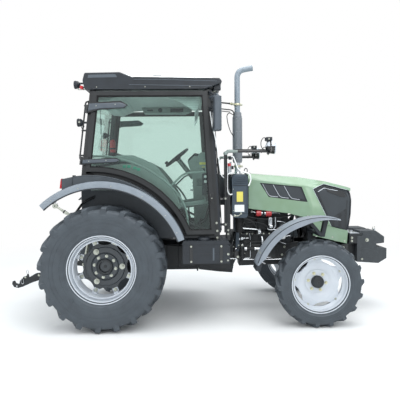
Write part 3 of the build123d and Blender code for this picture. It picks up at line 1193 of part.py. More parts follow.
foot_bracket = block(2790.0, 2830.0, 204.0, 222.0, 880.0, 925.0) + block(2790.0, 2830.0, 204.0, 268.0, 913.0,
        925.0)
panel_feet = [foot_bracket, other_side(foot_bracket)]
keep("hood_lower_panels", Part() + nodes["hood_lower_panels"] + panel_feet)

# ---------------------------------------------------------------- write one file per node
rear_reach = -1184.0
middle_x = (hitch_front_x + rear_reach) / 2
os.makedirs("parts", exist_ok=True)
for name, solids in nodes.items():
    placed = [Pos(-middle_x, 0, 0) * solid for solid in solids]
    export_step(Compound(children=placed) if len(placed) > 1 else placed[0], f"parts/{name}.step")
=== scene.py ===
import json
from math import asin, cos, degrees, exp, hypot, pi, radians, sin, sqrt

import bmesh
import bpy
from bpy.props import FloatProperty, FloatVectorProperty, IntProperty, PointerProperty
from mathutils import Matrix, Vector


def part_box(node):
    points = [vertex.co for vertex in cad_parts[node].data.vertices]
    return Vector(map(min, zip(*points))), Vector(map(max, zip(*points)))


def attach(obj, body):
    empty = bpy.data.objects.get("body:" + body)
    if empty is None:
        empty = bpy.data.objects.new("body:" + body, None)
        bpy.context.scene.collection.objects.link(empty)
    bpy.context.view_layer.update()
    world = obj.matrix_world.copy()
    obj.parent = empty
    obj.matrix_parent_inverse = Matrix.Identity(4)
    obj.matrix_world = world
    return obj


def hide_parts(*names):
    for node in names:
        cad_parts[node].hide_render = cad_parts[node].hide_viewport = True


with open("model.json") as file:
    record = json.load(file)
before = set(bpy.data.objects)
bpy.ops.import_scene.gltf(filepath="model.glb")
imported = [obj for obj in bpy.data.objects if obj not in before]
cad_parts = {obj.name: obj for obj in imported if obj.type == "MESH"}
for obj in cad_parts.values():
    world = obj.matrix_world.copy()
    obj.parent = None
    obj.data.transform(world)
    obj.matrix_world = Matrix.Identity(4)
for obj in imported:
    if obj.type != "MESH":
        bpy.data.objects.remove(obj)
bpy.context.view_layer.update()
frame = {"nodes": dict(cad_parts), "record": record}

bl_info = {
    "name": "Farm tractor", "version": (1, 0, 0), "blender": (4, 5, 0),
    "location": "3D View > Sidebar > Tractor",
    "description": "Dresses the tractor's packed frame with its finished pieces", "category": "Object",
}

# Shapes are made in millimetres from the point on the ground under the middle of the rear axle: +X forward,
# +Y to the driver's left, +Z up. The frame puts that point here:
REAR_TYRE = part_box("rear_tyre_left")
REAR_AXLE_X = (REAR_TYRE[0].x + REAR_TYRE[1].x) / 2
TO_FRAME = Matrix.Translation((REAR_AXLE_X, 0, 0)) @ Matrix.Scale(0.001, 4)
FRONT_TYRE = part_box("front_tyre_left")
WHEELBASE = 1000 * ((FRONT_TYRE[0].x + FRONT_TYRE[1].x) / 2 - REAR_AXLE_X)
REAR_RADIUS = 500 * (REAR_TYRE[1].z - REAR_TYRE[0].z)
FRONT_RADIUS = 500 * (FRONT_TYRE[1].z - FRONT_TYRE[0].z)
REAR_TRACK_HALF = 500 * (REAR_TYRE[0].y + REAR_TYRE[1].y)
FRONT_TRACK_HALF = 500 * (FRONT_TYRE[0].y + FRONT_TYRE[1].y)


# ---------------------------------------------------------------- shapes
class Form:
    """A closed shape being made, with the usual moves on it. Each move returns the form itself."""

    def __init__(self, mesh=None):
        self.bm = bmesh.new() if mesh is None else mesh

    def copy(self):
        return Form(self.bm.copy())

    def apply(self, matrix):
        bmesh.ops.transform(self.bm, matrix=matrix, verts=self.bm.verts)
        return self

    def move(self, x=0, y=0, z=0):
        return self.apply(Matrix.Translation((x, y, z)))

    def turn(self, angle, axis="Y", about=(0, 0, 0)):
        """Turn by degrees about an axis through a point. About Y, positive takes +Z towards +X."""
        centre = Matrix.Translation(about)
        return self.apply(centre @ Matrix.Rotation(radians(angle), 4, axis) @ centre.inverted())

    def stretch(self, x=1, y=1, z=1, about=(0, 0, 0)):
        centre = Matrix.Translation(about)
        return self.apply(centre @ Matrix.Diagonal((x, y, z, 1)) @ centre.inverted())

    def mirrored(self):
        """The same shape on the tractor's other side."""
        other = self.copy()
        bmesh.ops.transform(other.bm, matrix=Matrix.Diagonal((1, -1, 1, 1)), verts=other.bm.verts)
        bmesh.ops.reverse_faces(other.bm, faces=other.bm.faces)
        return other

    def round(self, width, segments=2, sharp=25, where=None):
        """Bevel the edges sharper than an angle: all, or those whose middle and heading keep to a rule."""
        edges = [e for e in self.bm.edges if len(e.link_faces) == 2 and degrees(e.calc_face_angle(0)) > sharp]
        if where:
            edges = [e for e in edges if where((e.verts[0].co + e.verts[1].co) / 2,
                                               (e.verts[1].co - e.verts[0].co).normalized())]
        bmesh.ops.bevel(self.bm, geom=edges, offset=width, offset_type="OFFSET", affect="EDGES",
                        segments=segments, profile=0.5, material=-1, clamp_overlap=where is None)
        return self

    def cut(self, point, normal):
        """Cut the shape off on the side that the normal points to, and close it."""
        geometry = self.bm.verts[:] + self.bm.edges[:] + self.bm.faces[:]
        made = bmesh.ops.bisect_plane(self.bm, geom=geometry, plane_co=point, plane_no=normal, clear_outer=True)
        edges = [e for e in made["geom_cut"] if isinstance(e, bmesh.types.BMEdge)]
        bmesh.ops.contextual_create(self.bm, geom=edges)
        return self


def block(x0, x1, y0, y1, z0, z1, edge=0, segments=2):
    """A block between two corners, with rounded edges."""
    form = Form()
    place = Matrix.Translation(((x0 + x1) / 2, (y0 + y1) / 2, (z0 + z1) / 2))
    size = Matrix.Diagonal((abs(x1 - x0), abs(y1 - y0), abs(z1 - z0), 1))
    bmesh.ops.create_cube(form.bm, size=1, matrix=place @ size)
    return form.round(edge, segments) if edge else form


def along(start, end):
    """The matrix that takes Z to the line from start to end, at its middle."""
    start, end = Vector(start), Vector(end)
    return Matrix.Translation((start + end) / 2) @ (end - start).to_track_quat("Z", "Y").to_matrix().to_4x4()


def rod(start, end, radius, tip=None, sides=24, edge=0):
    """A round bar or a cone between two points."""
    form = Form()
    bmesh.ops.create_cone(form.bm, cap_ends=True, segments=sides, radius1=radius,
                          radius2=radius if tip is None else tip,
                          depth=(Vector(end) - Vector(start)).length, matrix=along(start, end))
    return form.round(edge, 2, 40) if edge else form


def plate(points, low, high, plane="XZ", edge=0, segments=2):
    """An outline in one plane, given a thickness across it from low to high."""
    spread = {"XZ": lambda a, b, c: (a, c, b), "XY": lambda a, b, c: (a, b, c),
              "YZ": lambda a, b, c: (c, a, b)}[plane]
    form = Form()
    face = form.bm.faces.new([form.bm.verts.new(spread(a, b, low)) for a, b in points])
    made = bmesh.ops.extrude_face_region(form.bm, geom=[face])
    top = [v for v in made["geom"] if isinstance(v, bmesh.types.BMVert)]
    bmesh.ops.translate(form.bm, verts=top, vec=Vector(spread(0, 0, high - low)))
    bmesh.ops.recalc_face_normals(form.bm, faces=form.bm.faces)
    return form.round(edge, segments) if edge else form


def turned(profile, x=0, y=0, z=0, axis="Y", steps=64, closed=True):
    """Spin a (radius, along) outline about an axis through a point. A closed outline gives a ring."""
    form = Form()
    across = {"Y": lambda r, a: (r, a, 0), "X": lambda r, a: (a, r, 0), "Z": lambda r, a: (r, 0, a)}[axis]
    verts = [form.bm.verts.new(across(r, a)) for r, a in profile]
    pairs = list(zip(verts, verts[1:] + verts[:1])) if closed else list(zip(verts, verts[1:]))
    edges = [form.bm.edges.new(pair) for pair in pairs]
    bmesh.ops.spin(form.bm, geom=verts + edges, cent=(0, 0, 0), axis=[float(axis == n) for n in "XYZ"],
                   angle=2 * pi, steps=steps, use_merge=True)
    bmesh.ops.remove_doubles(form.bm, verts=form.bm.verts, dist=0.01)
    bmesh.ops.recalc_face_normals(form.bm, faces=form.bm.faces)
    return form.move(x, y, z)


def skin(loops):
    """A closed skin over rings of corners that match one to one, with a cap at each end."""
    form = Form()
    rings = [[form.bm.verts.new(point) for point in loop] for loop in loops]
    for one, two in zip(rings, rings[1:]):
        for index in range(len(one)):
            following = (index + 1) % len(one)
            form.bm.faces.new((one[index], one[following], two[following], two[index]))
    form.bm.faces.new(rings[0])
    form.bm.faces.new(rings[-1])
    bmesh.ops.recalc_face_normals(form.bm, faces=form.bm.faces)
    return form


def rounded_path(points, bend, steps=6):
    """The points of a path whose corners are arcs that start a bend's length before each corner."""
    points = [Vector(p) for p in points]
    path = [points[0]]
    for before, corner, after in zip(points, points[1:], points[2:]):
        reach = min(bend, (corner - before).length * 0.48, (after - corner).length * 0.48)
        start = corner + (before - corner).normalized() * reach
        end = corner + (after - corner).normalized() * reach
        for index in range(steps + 1):
            t = index / steps
            path.append(start * (1 - t) ** 2 + corner * 2 * t * (1 - t) + end * t ** 2)
    return path + [points[-1]]


def tube(points, radius, bend=40, sides=12, steps=6):
    """A pipe or hose through points, its corners rounded, closed at both ends."""
    path = rounded_path(points, bend, steps)
    form = Form()
    loops = []
    turn = (path[1] - path[0]).to_track_quat("Z", "Y")
    last = (path[1] - path[0]).normalized()
    for index, point in enumerate(path):
        ahead = path[min(index + 1, len(path) - 1)] - point
        behind = point - path[max(index - 1, 0)]
        heading = (ahead.normalized() + behind.normalized()).normalized()
        turn = last.rotation_difference(heading) @ turn
        last = heading
        made = bmesh.ops.create_circle(form.bm, segments=sides, radius=radius,
                                       cap_ends=index in (0, len(path) - 1),
                                       matrix=Matrix.Translation(point) @ turn.to_matrix().to_4x4())
        loops.append(made["verts"])
    for one, two in zip(loops, loops[1:]):
        for index in range(sides):
            form.bm.faces.new((one[index], one[(index + 1) % sides], two[(index + 1) % sides], two[index]))
    bmesh.ops.recalc_face_normals(form.bm, faces=form.bm.faces)
    return form


def ball(x, y, z, radius, sides=20):
    """A round knob."""
    form = Form()
    bmesh.ops.create_uvsphere(form.bm, u_segments=sides, v_segments=sides // 2, radius=radius,
                              matrix=Matrix.Translation((x, y, z)))
    return form


def bolt(x, y, z, across, axis="Y", height=None, washer=True, out=1):
    """A hexagon head on a washer, standing out of a face along an axis. across is its width over the flats."""
    height = across * 0.62 if height is None else height
    direction = Vector([out * float(axis == n) for n in "XYZ"])
    foot = Vector((x, y, z))
    forms = [rod(foot - direction, foot + direction * height, across / sqrt(3), sides=6, edge=across * 0.05)]
    if washer:
        forms.append(rod(foot - direction, foot + direction * height * 0.22, across * 0.78, sides=20))
    return forms


def ring_of(forms, count, centre, axis="Y", start=0, sweep=360):
    """Copies of some forms turned about a point."""
    copies = []
    for index in range(count):
        copies += [form.copy().turn(start + index * sweep / count, axis, centre) for form in forms]
    return copies


def flat_list(items):
    """The forms of a list whose items are forms or lists of forms."""
    return [form for item in items for form in (item if isinstance(item, list) else [item])]


def both(*forms):
    """Some forms with their mirror images on the other side."""
    flat = flat_list(forms)
    return flat + [form.mirrored() for form in flat]


def node_copy(node, edge=0, segments=2):
    """A CAD node's own solid as a clean form, its edges rounded."""
    form = Form()
    form.bm.from_mesh(frame["nodes"][node].data)
    form.apply(TO_FRAME.inverted())
    bmesh.ops.remove_doubles(form.bm, verts=form.bm.verts, dist=0.02)
    bmesh.ops.dissolve_limit(form.bm, angle_limit=radians(1.5), verts=form.bm.verts, edges=form.bm.edges)
    for face in form.bm.faces:
        face.smooth = True
    return form.round(edge, segments, 28) if edge else form


def make(name, body, parts, replaces=(), smooth=38, subdivide=0):
    """Join the forms of each material into one finished piece that rides on a body."""
    if isinstance(replaces, str):
        replaces = (replaces,)
    whole = bmesh.new()
    mesh = bpy.data.meshes.new(name)
    for index, (material, forms) in enumerate(parts.items()):
        mesh.materials.append(finish_of(material))
        for form in forms:
            for face in form.bm.faces:
                face.material_index = index
            part = bpy.data.meshes.new("part")
            form.bm.to_mesh(part)
            whole.from_mesh(part)
            bpy.data.meshes.remove(part)
            form.bm.free()
    bmesh.ops.transform(whole, matrix=TO_FRAME, verts=whole.verts)
    whole.to_mesh(mesh)
    whole.free()
    mesh.shade_smooth()
    mesh.set_sharp_from_angle(angle=radians(smooth))
    piece = bpy.data.objects.new(name, mesh)
    bpy.context.scene.collection.objects.link(piece)
    if subdivide:
        soft = piece.modifiers.new("Subdivision", "SUBSURF")
        soft.levels = soft.render_levels = subdivide
    else:
        flat = piece.modifiers.new("Flat faces", "WEIGHTED_NORMAL")
        flat.keep_sharp = True
    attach(piece, body)
    if replaces:
        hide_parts(*replaces)
    return piece


# ---------------------------------------------------------------- materials
WAVE_FACTOR = 20            # what a wave texture multiplies its scale by


def linear(code):
    """An sRGB hex colour as Blender's linear one. A colour that is linear already is passed on."""
    if not isinstance(code, str):
        return (*code, 1)
    values = [int(code[i:i + 2], 16) / 255 for i in (1, 3, 5)]
    return (*[v / 12.92 if v <= 0.04045 else ((v + 0.055) / 1.055) ** 2.4 for v in values], 1)


def add(tree, kind, links=None, **settings):
    """Add a node, set its sockets and properties, and link others to it."""
    node = tree.nodes.new(kind)
    for name, value in settings.items():
        if hasattr(node, name):
            setattr(node, name, value)
        else:
            node.inputs[name.replace("_", " ")].default_value = value
    for name, source in (links or {}).items():
        tree.links.new(source, node.inputs[name])
    return node


def started(name, colour, roughness, metallic=0, **shader):
    """An empty material with its shader, and the piece's own coordinates."""
    material = bpy.data.materials.new(name)
    material.use_nodes = True
    tree = material.node_tree
    tree.nodes.clear()
    surface = add(tree, "ShaderNodeBsdfPrincipled", Base_Color=linear(colour), Roughness=roughness,
                  Metallic=metallic, **shader)
    add(tree, "ShaderNodeOutputMaterial", {"Surface": surface.outputs["BSDF"]})
    place = add(tree, "ShaderNodeTexCoord").outputs["Object"]
    return material, tree, surface, place


def mottle(tree, surface, place, colours, size_mm, amount=1, detail=4, roughness=None):
    """Drift the colour between two tones, and the roughness between two values, over patches of a real size."""
    noise = add(tree, "ShaderNodeTexNoise", {"Vector": place}, Scale=1000 / size_mm, Detail=detail,
                Roughness=0.55)
    spread = add(tree, "ShaderNodeMapRange", {"Value": noise.outputs["Fac"]}, From_Min=0.35, From_Max=0.65,
                 To_Max=amount)
    mixed = add(tree, "ShaderNodeMix", {"Factor": spread.outputs["Result"]}, data_type="RGBA")
    mixed.inputs[6].default_value = linear(colours[0])
    mixed.inputs[7].default_value = linear(colours[1])
    tree.links.new(mixed.outputs[2], surface.inputs["Base Color"])
    if roughness:
        sheen = add(tree, "ShaderNodeMapRange", {"Value": noise.outputs["Fac"]}, From_Min=0.3, From_Max=0.7,
                    To_Min=roughness[0], To_Max=roughness[1])
        tree.links.new(sheen.outputs["Result"], surface.inputs["Roughness"])
    return mixed


def grain(tree, surface, place, size_mm, depth_mm, detail=2, kind="ShaderNodeTexNoise", output="Fac"):
    """Give the surface a grain of a real size and depth."""
    noise = add(tree, kind, {"Vector": place}, Scale=1000 / size_mm)
    if kind == "ShaderNodeTexNoise":
        noise.inputs["Detail"].default_value = detail
    bump = add(tree, "ShaderNodeBump", {"Height": noise.outputs[output]}, Strength=1, Distance=depth_mm / 1000)
    tree.links.new(bump.outputs["Normal"], surface.inputs["Normal"])
    return bump


def worn_edges(tree, surface, mixed, colour, width_mm=4):
    """Lighten the colour along outer edges, where hands and tools rub."""
    edge = add(tree, "ShaderNodeBevel", Radius=width_mm / 1000, samples=4)
    flat = add(tree, "ShaderNodeNewGeometry")
    dot = add(tree, "ShaderNodeVectorMath", {0: edge.outputs["Normal"], 1: flat.outputs["Normal"]},
              operation="DOT_PRODUCT")
    rub = add(tree, "ShaderNodeMapRange", {"Value": dot.outputs["Value"]}, From_Min=0.98, From_Max=0.80,
              To_Max=0.6)
    over = add(tree, "ShaderNodeMix", {"Factor": rub.outputs["Result"]}, data_type="RGBA")
    tree.links.new(mixed.outputs[2], over.inputs[6])
    over.inputs[7].default_value = linear(colour)
    tree.links.new(over.outputs[2], surface.inputs["Base Color"])


def sprayed_enamel(name, colour, shade, roughness=(0.28, 0.36), coat=0.5):
    """Two-pack enamel sprayed on pressed sheet: a clear gloss over a faint orange peel."""
    material, tree, surface, place = started(name, colour, roughness[0], Coat_Weight=coat, Coat_Roughness=0.12)
    mottle(tree, surface, place, (colour, shade), 260, 0.6, 2, roughness)
    grain(tree, surface, place, 4, 0.03, 1)
    return material


def moulded_plastic(name, colour, shade, roughness=(0.42, 0.55), grain_mm=1.6):
    """Moulded polypropylene or ABS with a spark-eroded grain, drawn a little coarse so that it shows."""
    material, tree, surface, place = started(name, colour, roughness[0])
    mottle(tree, surface, place, (colour, shade), 90, 0.8, 3, roughness)
    grain(tree, surface, place, grain_mm, 0.10, 2)
    return material


def cast_iron(name, colour, shade, rub, roughness=(0.45, 0.62)):
    """Sand-cast iron under dip paint: pitted, with paler metal along rubbed edges."""
    material, tree, surface, place = started(name, colour, roughness[0])
    mixed = mottle(tree, surface, place, (colour, shade), 45, 1, 5, roughness)
    grain(tree, surface, place, 3.5, 0.35, 4)
    worn_edges(tree, surface, mixed, rub)
    return material


def plated_steel(name, colour, shade, roughness=(0.24, 0.40), spangle_mm=7):
    """Zinc-plated or bright steel: crystals and handling marks change its shine."""
    material, tree, surface, place = started(name, colour, roughness[0], 1)
    mottle(tree, surface, place, (colour, shade), spangle_mm, 1, 2, roughness)
    grain(tree, surface, place, 2, 0.02, 2)
    return material


def tyre_rubber(name, colour, shade, upward_grey):
    """Vulcanised natural rubber, matt, with a bloom, and paler grey in patches on faces that look up."""
    material, tree, surface, place = started(name, colour, 0.62, Specular_IOR_Level=0.38)
    mixed = mottle(tree, surface, place, (colour, shade), 120, 1, 6, (0.52, 0.72))
    grain(tree, surface, place, 2.4, 0.16, 3)
    # Faces that look up are mixed towards a paler grey, in patches.
    normal = add(tree, "ShaderNodeNewGeometry").outputs["Normal"]
    facing = add(tree, "ShaderNodeSeparateXYZ", {"Vector": normal})
    patches = add(tree, "ShaderNodeTexNoise", {"Vector": place}, Scale=1000 / 70, Detail=5)
    height = add(tree, "ShaderNodeMath", {0: facing.outputs["Z"], 1: patches.outputs["Fac"]},
                 operation="MULTIPLY")
    upward_patches = add(tree, "ShaderNodeMapRange", {"Value": height.outputs["Value"]}, From_Min=0.05, From_Max=0.75,
                  To_Max=0.55)
    over = add(tree, "ShaderNodeMix", {"Factor": upward_patches.outputs["Result"]}, data_type="RGBA")
    tree.links.new(mixed.outputs[2], over.inputs[6])
    over.inputs[7].default_value = linear(upward_grey)
    tree.links.new(over.outputs[2], surface.inputs["Base Color"])
    return material


def float_glass(name, tint, roughness=0.02):
    """Toughened green float glass: clear straight on, bright at a slant, the same from both its faces."""
    material, tree, surface, place = started(name, tint, roughness, IOR=1.5)
    material.surface_render_method = "BLENDED"
    clear = add(tree, "ShaderNodeBsdfTransparent", Color=linear(tint))
    slant = add(tree, "ShaderNodeLayerWeight", Blend=0.5)
    curve = add(tree, "ShaderNodeMath", {0: slant.outputs["Facing"]}, operation="POWER")
    curve.inputs[1].default_value = 5
    shine = add(tree, "ShaderNodeMath", {0: curve.outputs["Value"]}, operation="MULTIPLY_ADD")
    shine.inputs[1].default_value = 0.96
    shine.inputs[2].default_value = 0.04
    gloss = add(tree, "ShaderNodeBsdfGlossy", Roughness=roughness, Color=(1, 1, 1, 1))
    blend = add(tree, "ShaderNodeMixShader", {0: shine.outputs["Value"], 1: clear.outputs["BSDF"],
                                              2: gloss.outputs["BSDF"]})
    output = next(n for n in tree.nodes if n.type == "OUTPUT_MATERIAL")
    tree.links.new(blend.outputs["Shader"], output.inputs["Surface"])
    return material


def woven_cloth(name, warp, weft, thread_mm=2.4):
    """Flat-woven polyester seat cloth: two thread colours, drawn coarse enough to show, with a soft sheen."""
    material, tree, surface, place = started(name, warp, 0.85, Sheen_Weight=0.35, Sheen_Roughness=0.5)
    waves = [add(tree, "ShaderNodeTexWave", {"Vector": place}, bands_direction=axis, Distortion=1, Detail=1,
                 Scale=1000 / thread_mm / WAVE_FACTOR).outputs["Fac"] for axis in "XYZ"]
    crossed = add(tree, "ShaderNodeMath", {0: waves[0], 1: waves[1]}, operation="MULTIPLY")
    crossed = add(tree, "ShaderNodeMath", {0: crossed.outputs["Value"], 1: waves[2]}, operation="ADD")
    mixed = add(tree, "ShaderNodeMix", {"Factor": crossed.outputs["Value"]}, data_type="RGBA")
    mixed.inputs[6].default_value = linear(warp)
    mixed.inputs[7].default_value = linear(weft)
    tree.links.new(mixed.outputs[2], surface.inputs["Base Color"])
    bump = add(tree, "ShaderNodeBump", {"Height": crossed.outputs["Value"]}, Strength=0.6, Distance=0.0006)
    tree.links.new(bump.outputs["Normal"], surface.inputs["Normal"])
    return material


def lens(name, colour, rib_mm=9):
    """Moulded lens with flutes on its inner face, which break the light into bright bars."""
    material, tree, surface, place = started(name, colour, 0.10, Transmission_Weight=0.25, IOR=1.49)
    wave = add(tree, "ShaderNodeTexWave", {"Vector": place}, bands_direction="Y",
               Scale=1000 / rib_mm / WAVE_FACTOR)
    bump = add(tree, "ShaderNodeBump", {"Height": wave.outputs["Fac"]}, Strength=0.7, Distance=0.002)
    tree.links.new(bump.outputs["Normal"], surface.inputs["Normal"])
    return material


def punched_mesh(name, colour, hole_shade, pitch_mm=11):
    """Steel sheet punched with close round holes, which are painted near-black as painted shade of the space
    behind it.
    """
    material, tree, surface, place = started(name, colour, 0.45)
    cells = add(tree, "ShaderNodeTexVoronoi", {"Vector": place}, Scale=1000 / pitch_mm, Randomness=0)
    holes = add(tree, "ShaderNodeMapRange", {"Value": cells.outputs["Distance"]}, From_Min=0.30, From_Max=0.38)
    # The holes take the painted shade; the sheet between them keeps its own colour.
    mixed = add(tree, "ShaderNodeMix", {"Factor": holes.outputs["Result"]}, data_type="RGBA")
    mixed.inputs[6].default_value = linear(hole_shade)
    mixed.inputs[7].default_value = linear(colour)
    tree.links.new(mixed.outputs[2], surface.inputs["Base Color"])
    bump = add(tree, "ShaderNodeBump", {"Height": holes.outputs["Result"]}, Strength=0.8, Distance=0.002)
    tree.links.new(bump.outputs["Normal"], surface.inputs["Normal"])
    return material


def hood_enamel(name):
    """The enamel of the hood, in the colour that the settings hold."""
    return sprayed_enamel(name, settings().hood_paint, "#74916F")


# Each finish: the function that makes it, and what that takes after the finish's name.
FINISHES = {
    "green_enamel": (hood_enamel,),
    "charcoal_enamel": (sprayed_enamel, "#33393E", "#2B3035", (0.34, 0.44), 0.3),
    "black_enamel": (sprayed_enamel, "#17191B", "#1F2224", (0.30, 0.45), 0.35),
    "white_gelcoat": (sprayed_enamel, "#EEF1F1", "#E4E8E9", (0.22, 0.30), 0.6),
    "silver_enamel": (sprayed_enamel, "#C9CFD6", "#BAC1C9", (0.30, 0.42), 0.4),
    "black_plastic": (moulded_plastic, "#1C2127", "#232930"),
    "fender_plastic": (moulded_plastic, "#3A4046", "#434A50", (0.40, 0.52)),
    "lip_plastic": (moulded_plastic, "#7D868F", "#868F98", (0.40, 0.52)),
    "guard_plastic": (moulded_plastic, "#7F8790", "#878F98", (0.34, 0.46)),
    "box_plastic": (moulded_plastic, "#35414C", "#3B4853", (0.42, 0.55)),
    "grey_plastic": (moulded_plastic, "#4A525A", "#525A62"),
    "trim_plastic": (moulded_plastic, "#7D8A86", "#87938F", (0.55, 0.7), 3),
    "seal_rubber": (moulded_plastic, "#101113", "#17181A", (0.6, 0.75)),
    "hose_rubber": (moulded_plastic, "#15171A", "#1C1F22", (0.45, 0.6), 2.5),
    "tyre_rubber": (tyre_rubber, "#40464C", "#495056", "#747B82"),
    "black_iron": (cast_iron, "#1C1F22", "#262A2D", "#4C5156"),
    "ballast_iron": (cast_iron, "#33383C", "#3D4246", "#5F6468"),
    "bare_iron": (cast_iron, "#3A3E40", "#484C4E", "#75797B"),
    "zinc_plate": (plated_steel, "#C4C6BE", "#A9AC9E"),
    "yellow_zinc": (plated_steel, "#D8D6BC", "#C2C0A4"),
    "bright_steel": (plated_steel, "#D2D5D8", "#BEC2C6", (0.12, 0.22), 30),
    "stack_steel": (sprayed_enamel, "#7F8B95", "#76828C", (0.36, 0.46), 0.2),
    "exhaust_enamel": (cast_iron, "#686E74", "#70767C", "#858B91", (0.5, 0.62)),
    "green_glass": (float_glass, "#ECF5F2"),
    "lamp_glass": (lens, "#E8EDF0"),
    "red_lens": (lens, "#C8202A", 6),
    "amber_lens": (lens, "#E08A1C", 6),
    "red_enamel": (sprayed_enamel, "#B3262C", "#9E2026"),
    "yellow_film": (moulded_plastic, "#D6CC62", "#CDC258", (0.35, 0.4), 6),
    "white_film": (moulded_plastic, "#E6E9E9", "#DDE1E1", (0.35, 0.4), 6),
    "seat_cloth": (woven_cloth, "#26292C", "#3A3F43"),
    "green_button": (moulded_plastic, "#3FA58A", "#379A80"),
    "vinyl": (moulded_plastic, "#2A2D30", "#323639", (0.45, 0.6), 3),
    "headlining": (woven_cloth, "#B9C2C0", "#A9B3B1", 4),
    # The intake mesh's second colour is painted shade in its holes.
    "intake_mesh": (punched_mesh, "#2C3034", "#0B0C0D"),
    "silvered_glass": (plated_steel, "#DDE3E6", "#D6DCE0", (0.02, 0.05), 200),
}


def finish_of(name):
    """The material of that name, made the first time that it is asked for."""
    maker, *values = FINISHES[name]
    return bpy.data.materials.get(name) or maker(name, *values)


def dress(node, finish):
    """Give a CAD node that is shown as it is its finish."""
    mesh = frame["nodes"][node].data
    mesh.materials.clear()
    mesh.materials.append(finish_of(finish))


# ---------------------------------------------------------------- settings
class TractorSettings(bpy.types.PropertyGroup):
    """Sizes and colours that a user may want to change before building the pieces."""

    hood_paint: FloatVectorProperty(name="Hood paint", description="Colour of the hood's enamel",
                                    subtype="COLOR", default=linear("#87A38B")[:3], min=0, max=1)
    rear_lugs: IntProperty(name="Rear lugs", description="Lugs on each half of a rear tyre", default=20, min=8,
                           max=40)
    front_lugs: IntProperty(name="Front lugs", description="Lugs on each half of a front tyre", default=18,
                            min=8, max=40)
    lug_height: FloatProperty(name="Lug height", description="Height of a rear tyre's lugs over the tread",
                              default=0.036, min=0.01, max=0.06, unit="LENGTH", subtype="DISTANCE")
    lens: FloatProperty(name="Lens", description="Focal length of the picture's camera", default=36, min=10,
                        max=200, unit="CAMERA")
    light: FloatProperty(name="Light", description="Strength of the white surround", default=1, min=0, max=4)


def settings():
    """The scene's own settings."""
    return bpy.context.scene.tractor


class PieceOperator:
    """What every piece's operator shares: one undo step."""

    bl_options = {"REGISTER", "UNDO"}


# ---------------------------------------------------------------- wheels
def tread_lug(radius, half, height, thickness, slant, side):
    """One bar of the tread: from past the middle line out and back to the shoulder and down over it."""
    def ring(y, reach, corners):
        """The bar's corners at y: each is an offset along the tread and a radius."""
        angles = [((reach + offset) / radius, r) for offset, r in corners]
        return [(r * sin(angle), side * y, r * cos(angle)) for angle, r in angles]

    # The share of the way out to the shoulder, and the bar's thickness there.
    stations = ((-0.06, 0.62), (0, 0.86), (0.12, 0.95), (0.34, 1), (0.56, 1.06), (0.76, 1.16), (0.90, 1.28),
                (1, 1.34))
    bend = 0.8                  # the share where the bar turns down over the shoulder
    loops = []
    for share, width in stations:
        over = max(share - bend, 0)
        top = radius - 3 * share - half * 0.13 * (over / 0.2) ** 2
        foot = radius - height - 10 - 16 * share * share - half * 0.20 * (over / 0.2)
        reach = slant * (0.5 - share) if share < bend else slant * (-0.3 - 0.5 * over)
        low = thickness * width / 2 + height * 0.24
        high = thickness * width / 2
        loops.append(ring(share * half, reach, ((-low, foot), (-high, top - 3), (-high + 4, top),
                                                (high - 4, top), (high, top - 3), (low, foot))))
    # The bar's outer end stands on the sidewall.
    foot = radius - height - half * 0.62
    loops.append(ring(half * 0.975, slant * -0.43, (
        (-low, foot), (-high * 0.8, foot + 8), (-high * 0.6, foot + 12), (high * 0.6, foot + 12),
        (high * 0.8, foot + 8), (low, foot))))
    return skin(loops)


def field_tyre(radius, half, rim_radius, rim_half, lugs, height, thickness, slant, rings):
    """A radial field tyre about its own middle: carcass, rim line, moulded rings and two rows of bars."""
    crown = radius - height
    profile = [
        (rim_radius - 20, rim_half - 36), (rim_radius - 22, rim_half - 16), (rim_radius + 2, rim_half - 9),
        (rim_radius + 16, rim_half - 1), (rim_radius + 24, rim_half + 2), (rim_radius + 28, rim_half + 8),
    ]
    low = rim_radius + 28
    high = crown - half * 0.42
    for index in range(1, 8):
        t = index / 8
        profile.append((low + (high - low) * t, rim_half + 8 + (half - rim_half - 8) * sin(t * pi / 2) ** 0.8))
    profile += [(high, half), (high + half * 0.22, half * 0.985), (crown - half * 0.10, half * 0.93),
                (crown - half * 0.035, half * 0.80), (crown - 6, half * 0.55), (crown - 2, half * 0.25),
                (crown, 0)]
    outer = profile + [(r, -y) for r, y in reversed(profile[:-1])]
    inside = [(r - 16 if r > low else r + 10, y * 0.90) for r, y in reversed(outer[1:-1])]
    forms = [turned(outer + inside, steps=96)]
    for r, wide in rings:
        y = rim_half + 8 + (half - rim_half - 8) * sin(min(1, (r - low) / (high - low)) * pi / 2) ** 0.8
        for side in (1, -1):
            forms.append(turned([(r - wide, side * (y - 4)), (r - wide / 2, side * (y + 1.6)),
                                 (r + wide / 2, side * (y + 1.6)), (r + wide, side * (y - 4))], steps=96))
    pitch = 360 / lugs
    for side in (1, -1):
        bar = tread_lug(radius, half, height, thickness, slant, side)
        for index in range(lugs):
            forms.append(bar.copy().turn(index * pitch + (pitch / 2 if side < 0 else 0)))
        bar.bm.free()
    return forms


def rim_profile(radius, half, wall):
    """Outline of a rolled rim: curled flanges, bead seats, humps and a drop well."""
    outer = [
        (radius - 5, -half - 4), (radius, -half), (radius - 2, -half + 8), (radius - 22, -half + 13),
        (radius - 25, -half + 20), (radius - 25, -half + 54), (radius - 21, -half + 60),
        (radius - 27, -half + 68), (radius - 50, -half + 96),
    ]
    outer += [(r, -y) for r, y in reversed(outer)]
    inner = [(r - wall, y * 0.985) for r, y in reversed(outer)]
    inner[0] = (radius - 12, half + 1)
    inner[-1] = (radius - 12, -half - 1)
    return outer + inner


def placed(forms, sign, x, half, z):
    """Copies of a wheel's forms, drawn about its middle for the left, in place on a side."""
    copies = [form.copy() if sign > 0 else form.mirrored() for form in forms]
    return [form.move(x, sign * half, z) for form in copies]


REAR_RIM, REAR_RIM_HALF = 381, 165                  # a rim's radius, and half its width
FRONT_RIM, FRONT_RIM_HALF = 328.5, 105


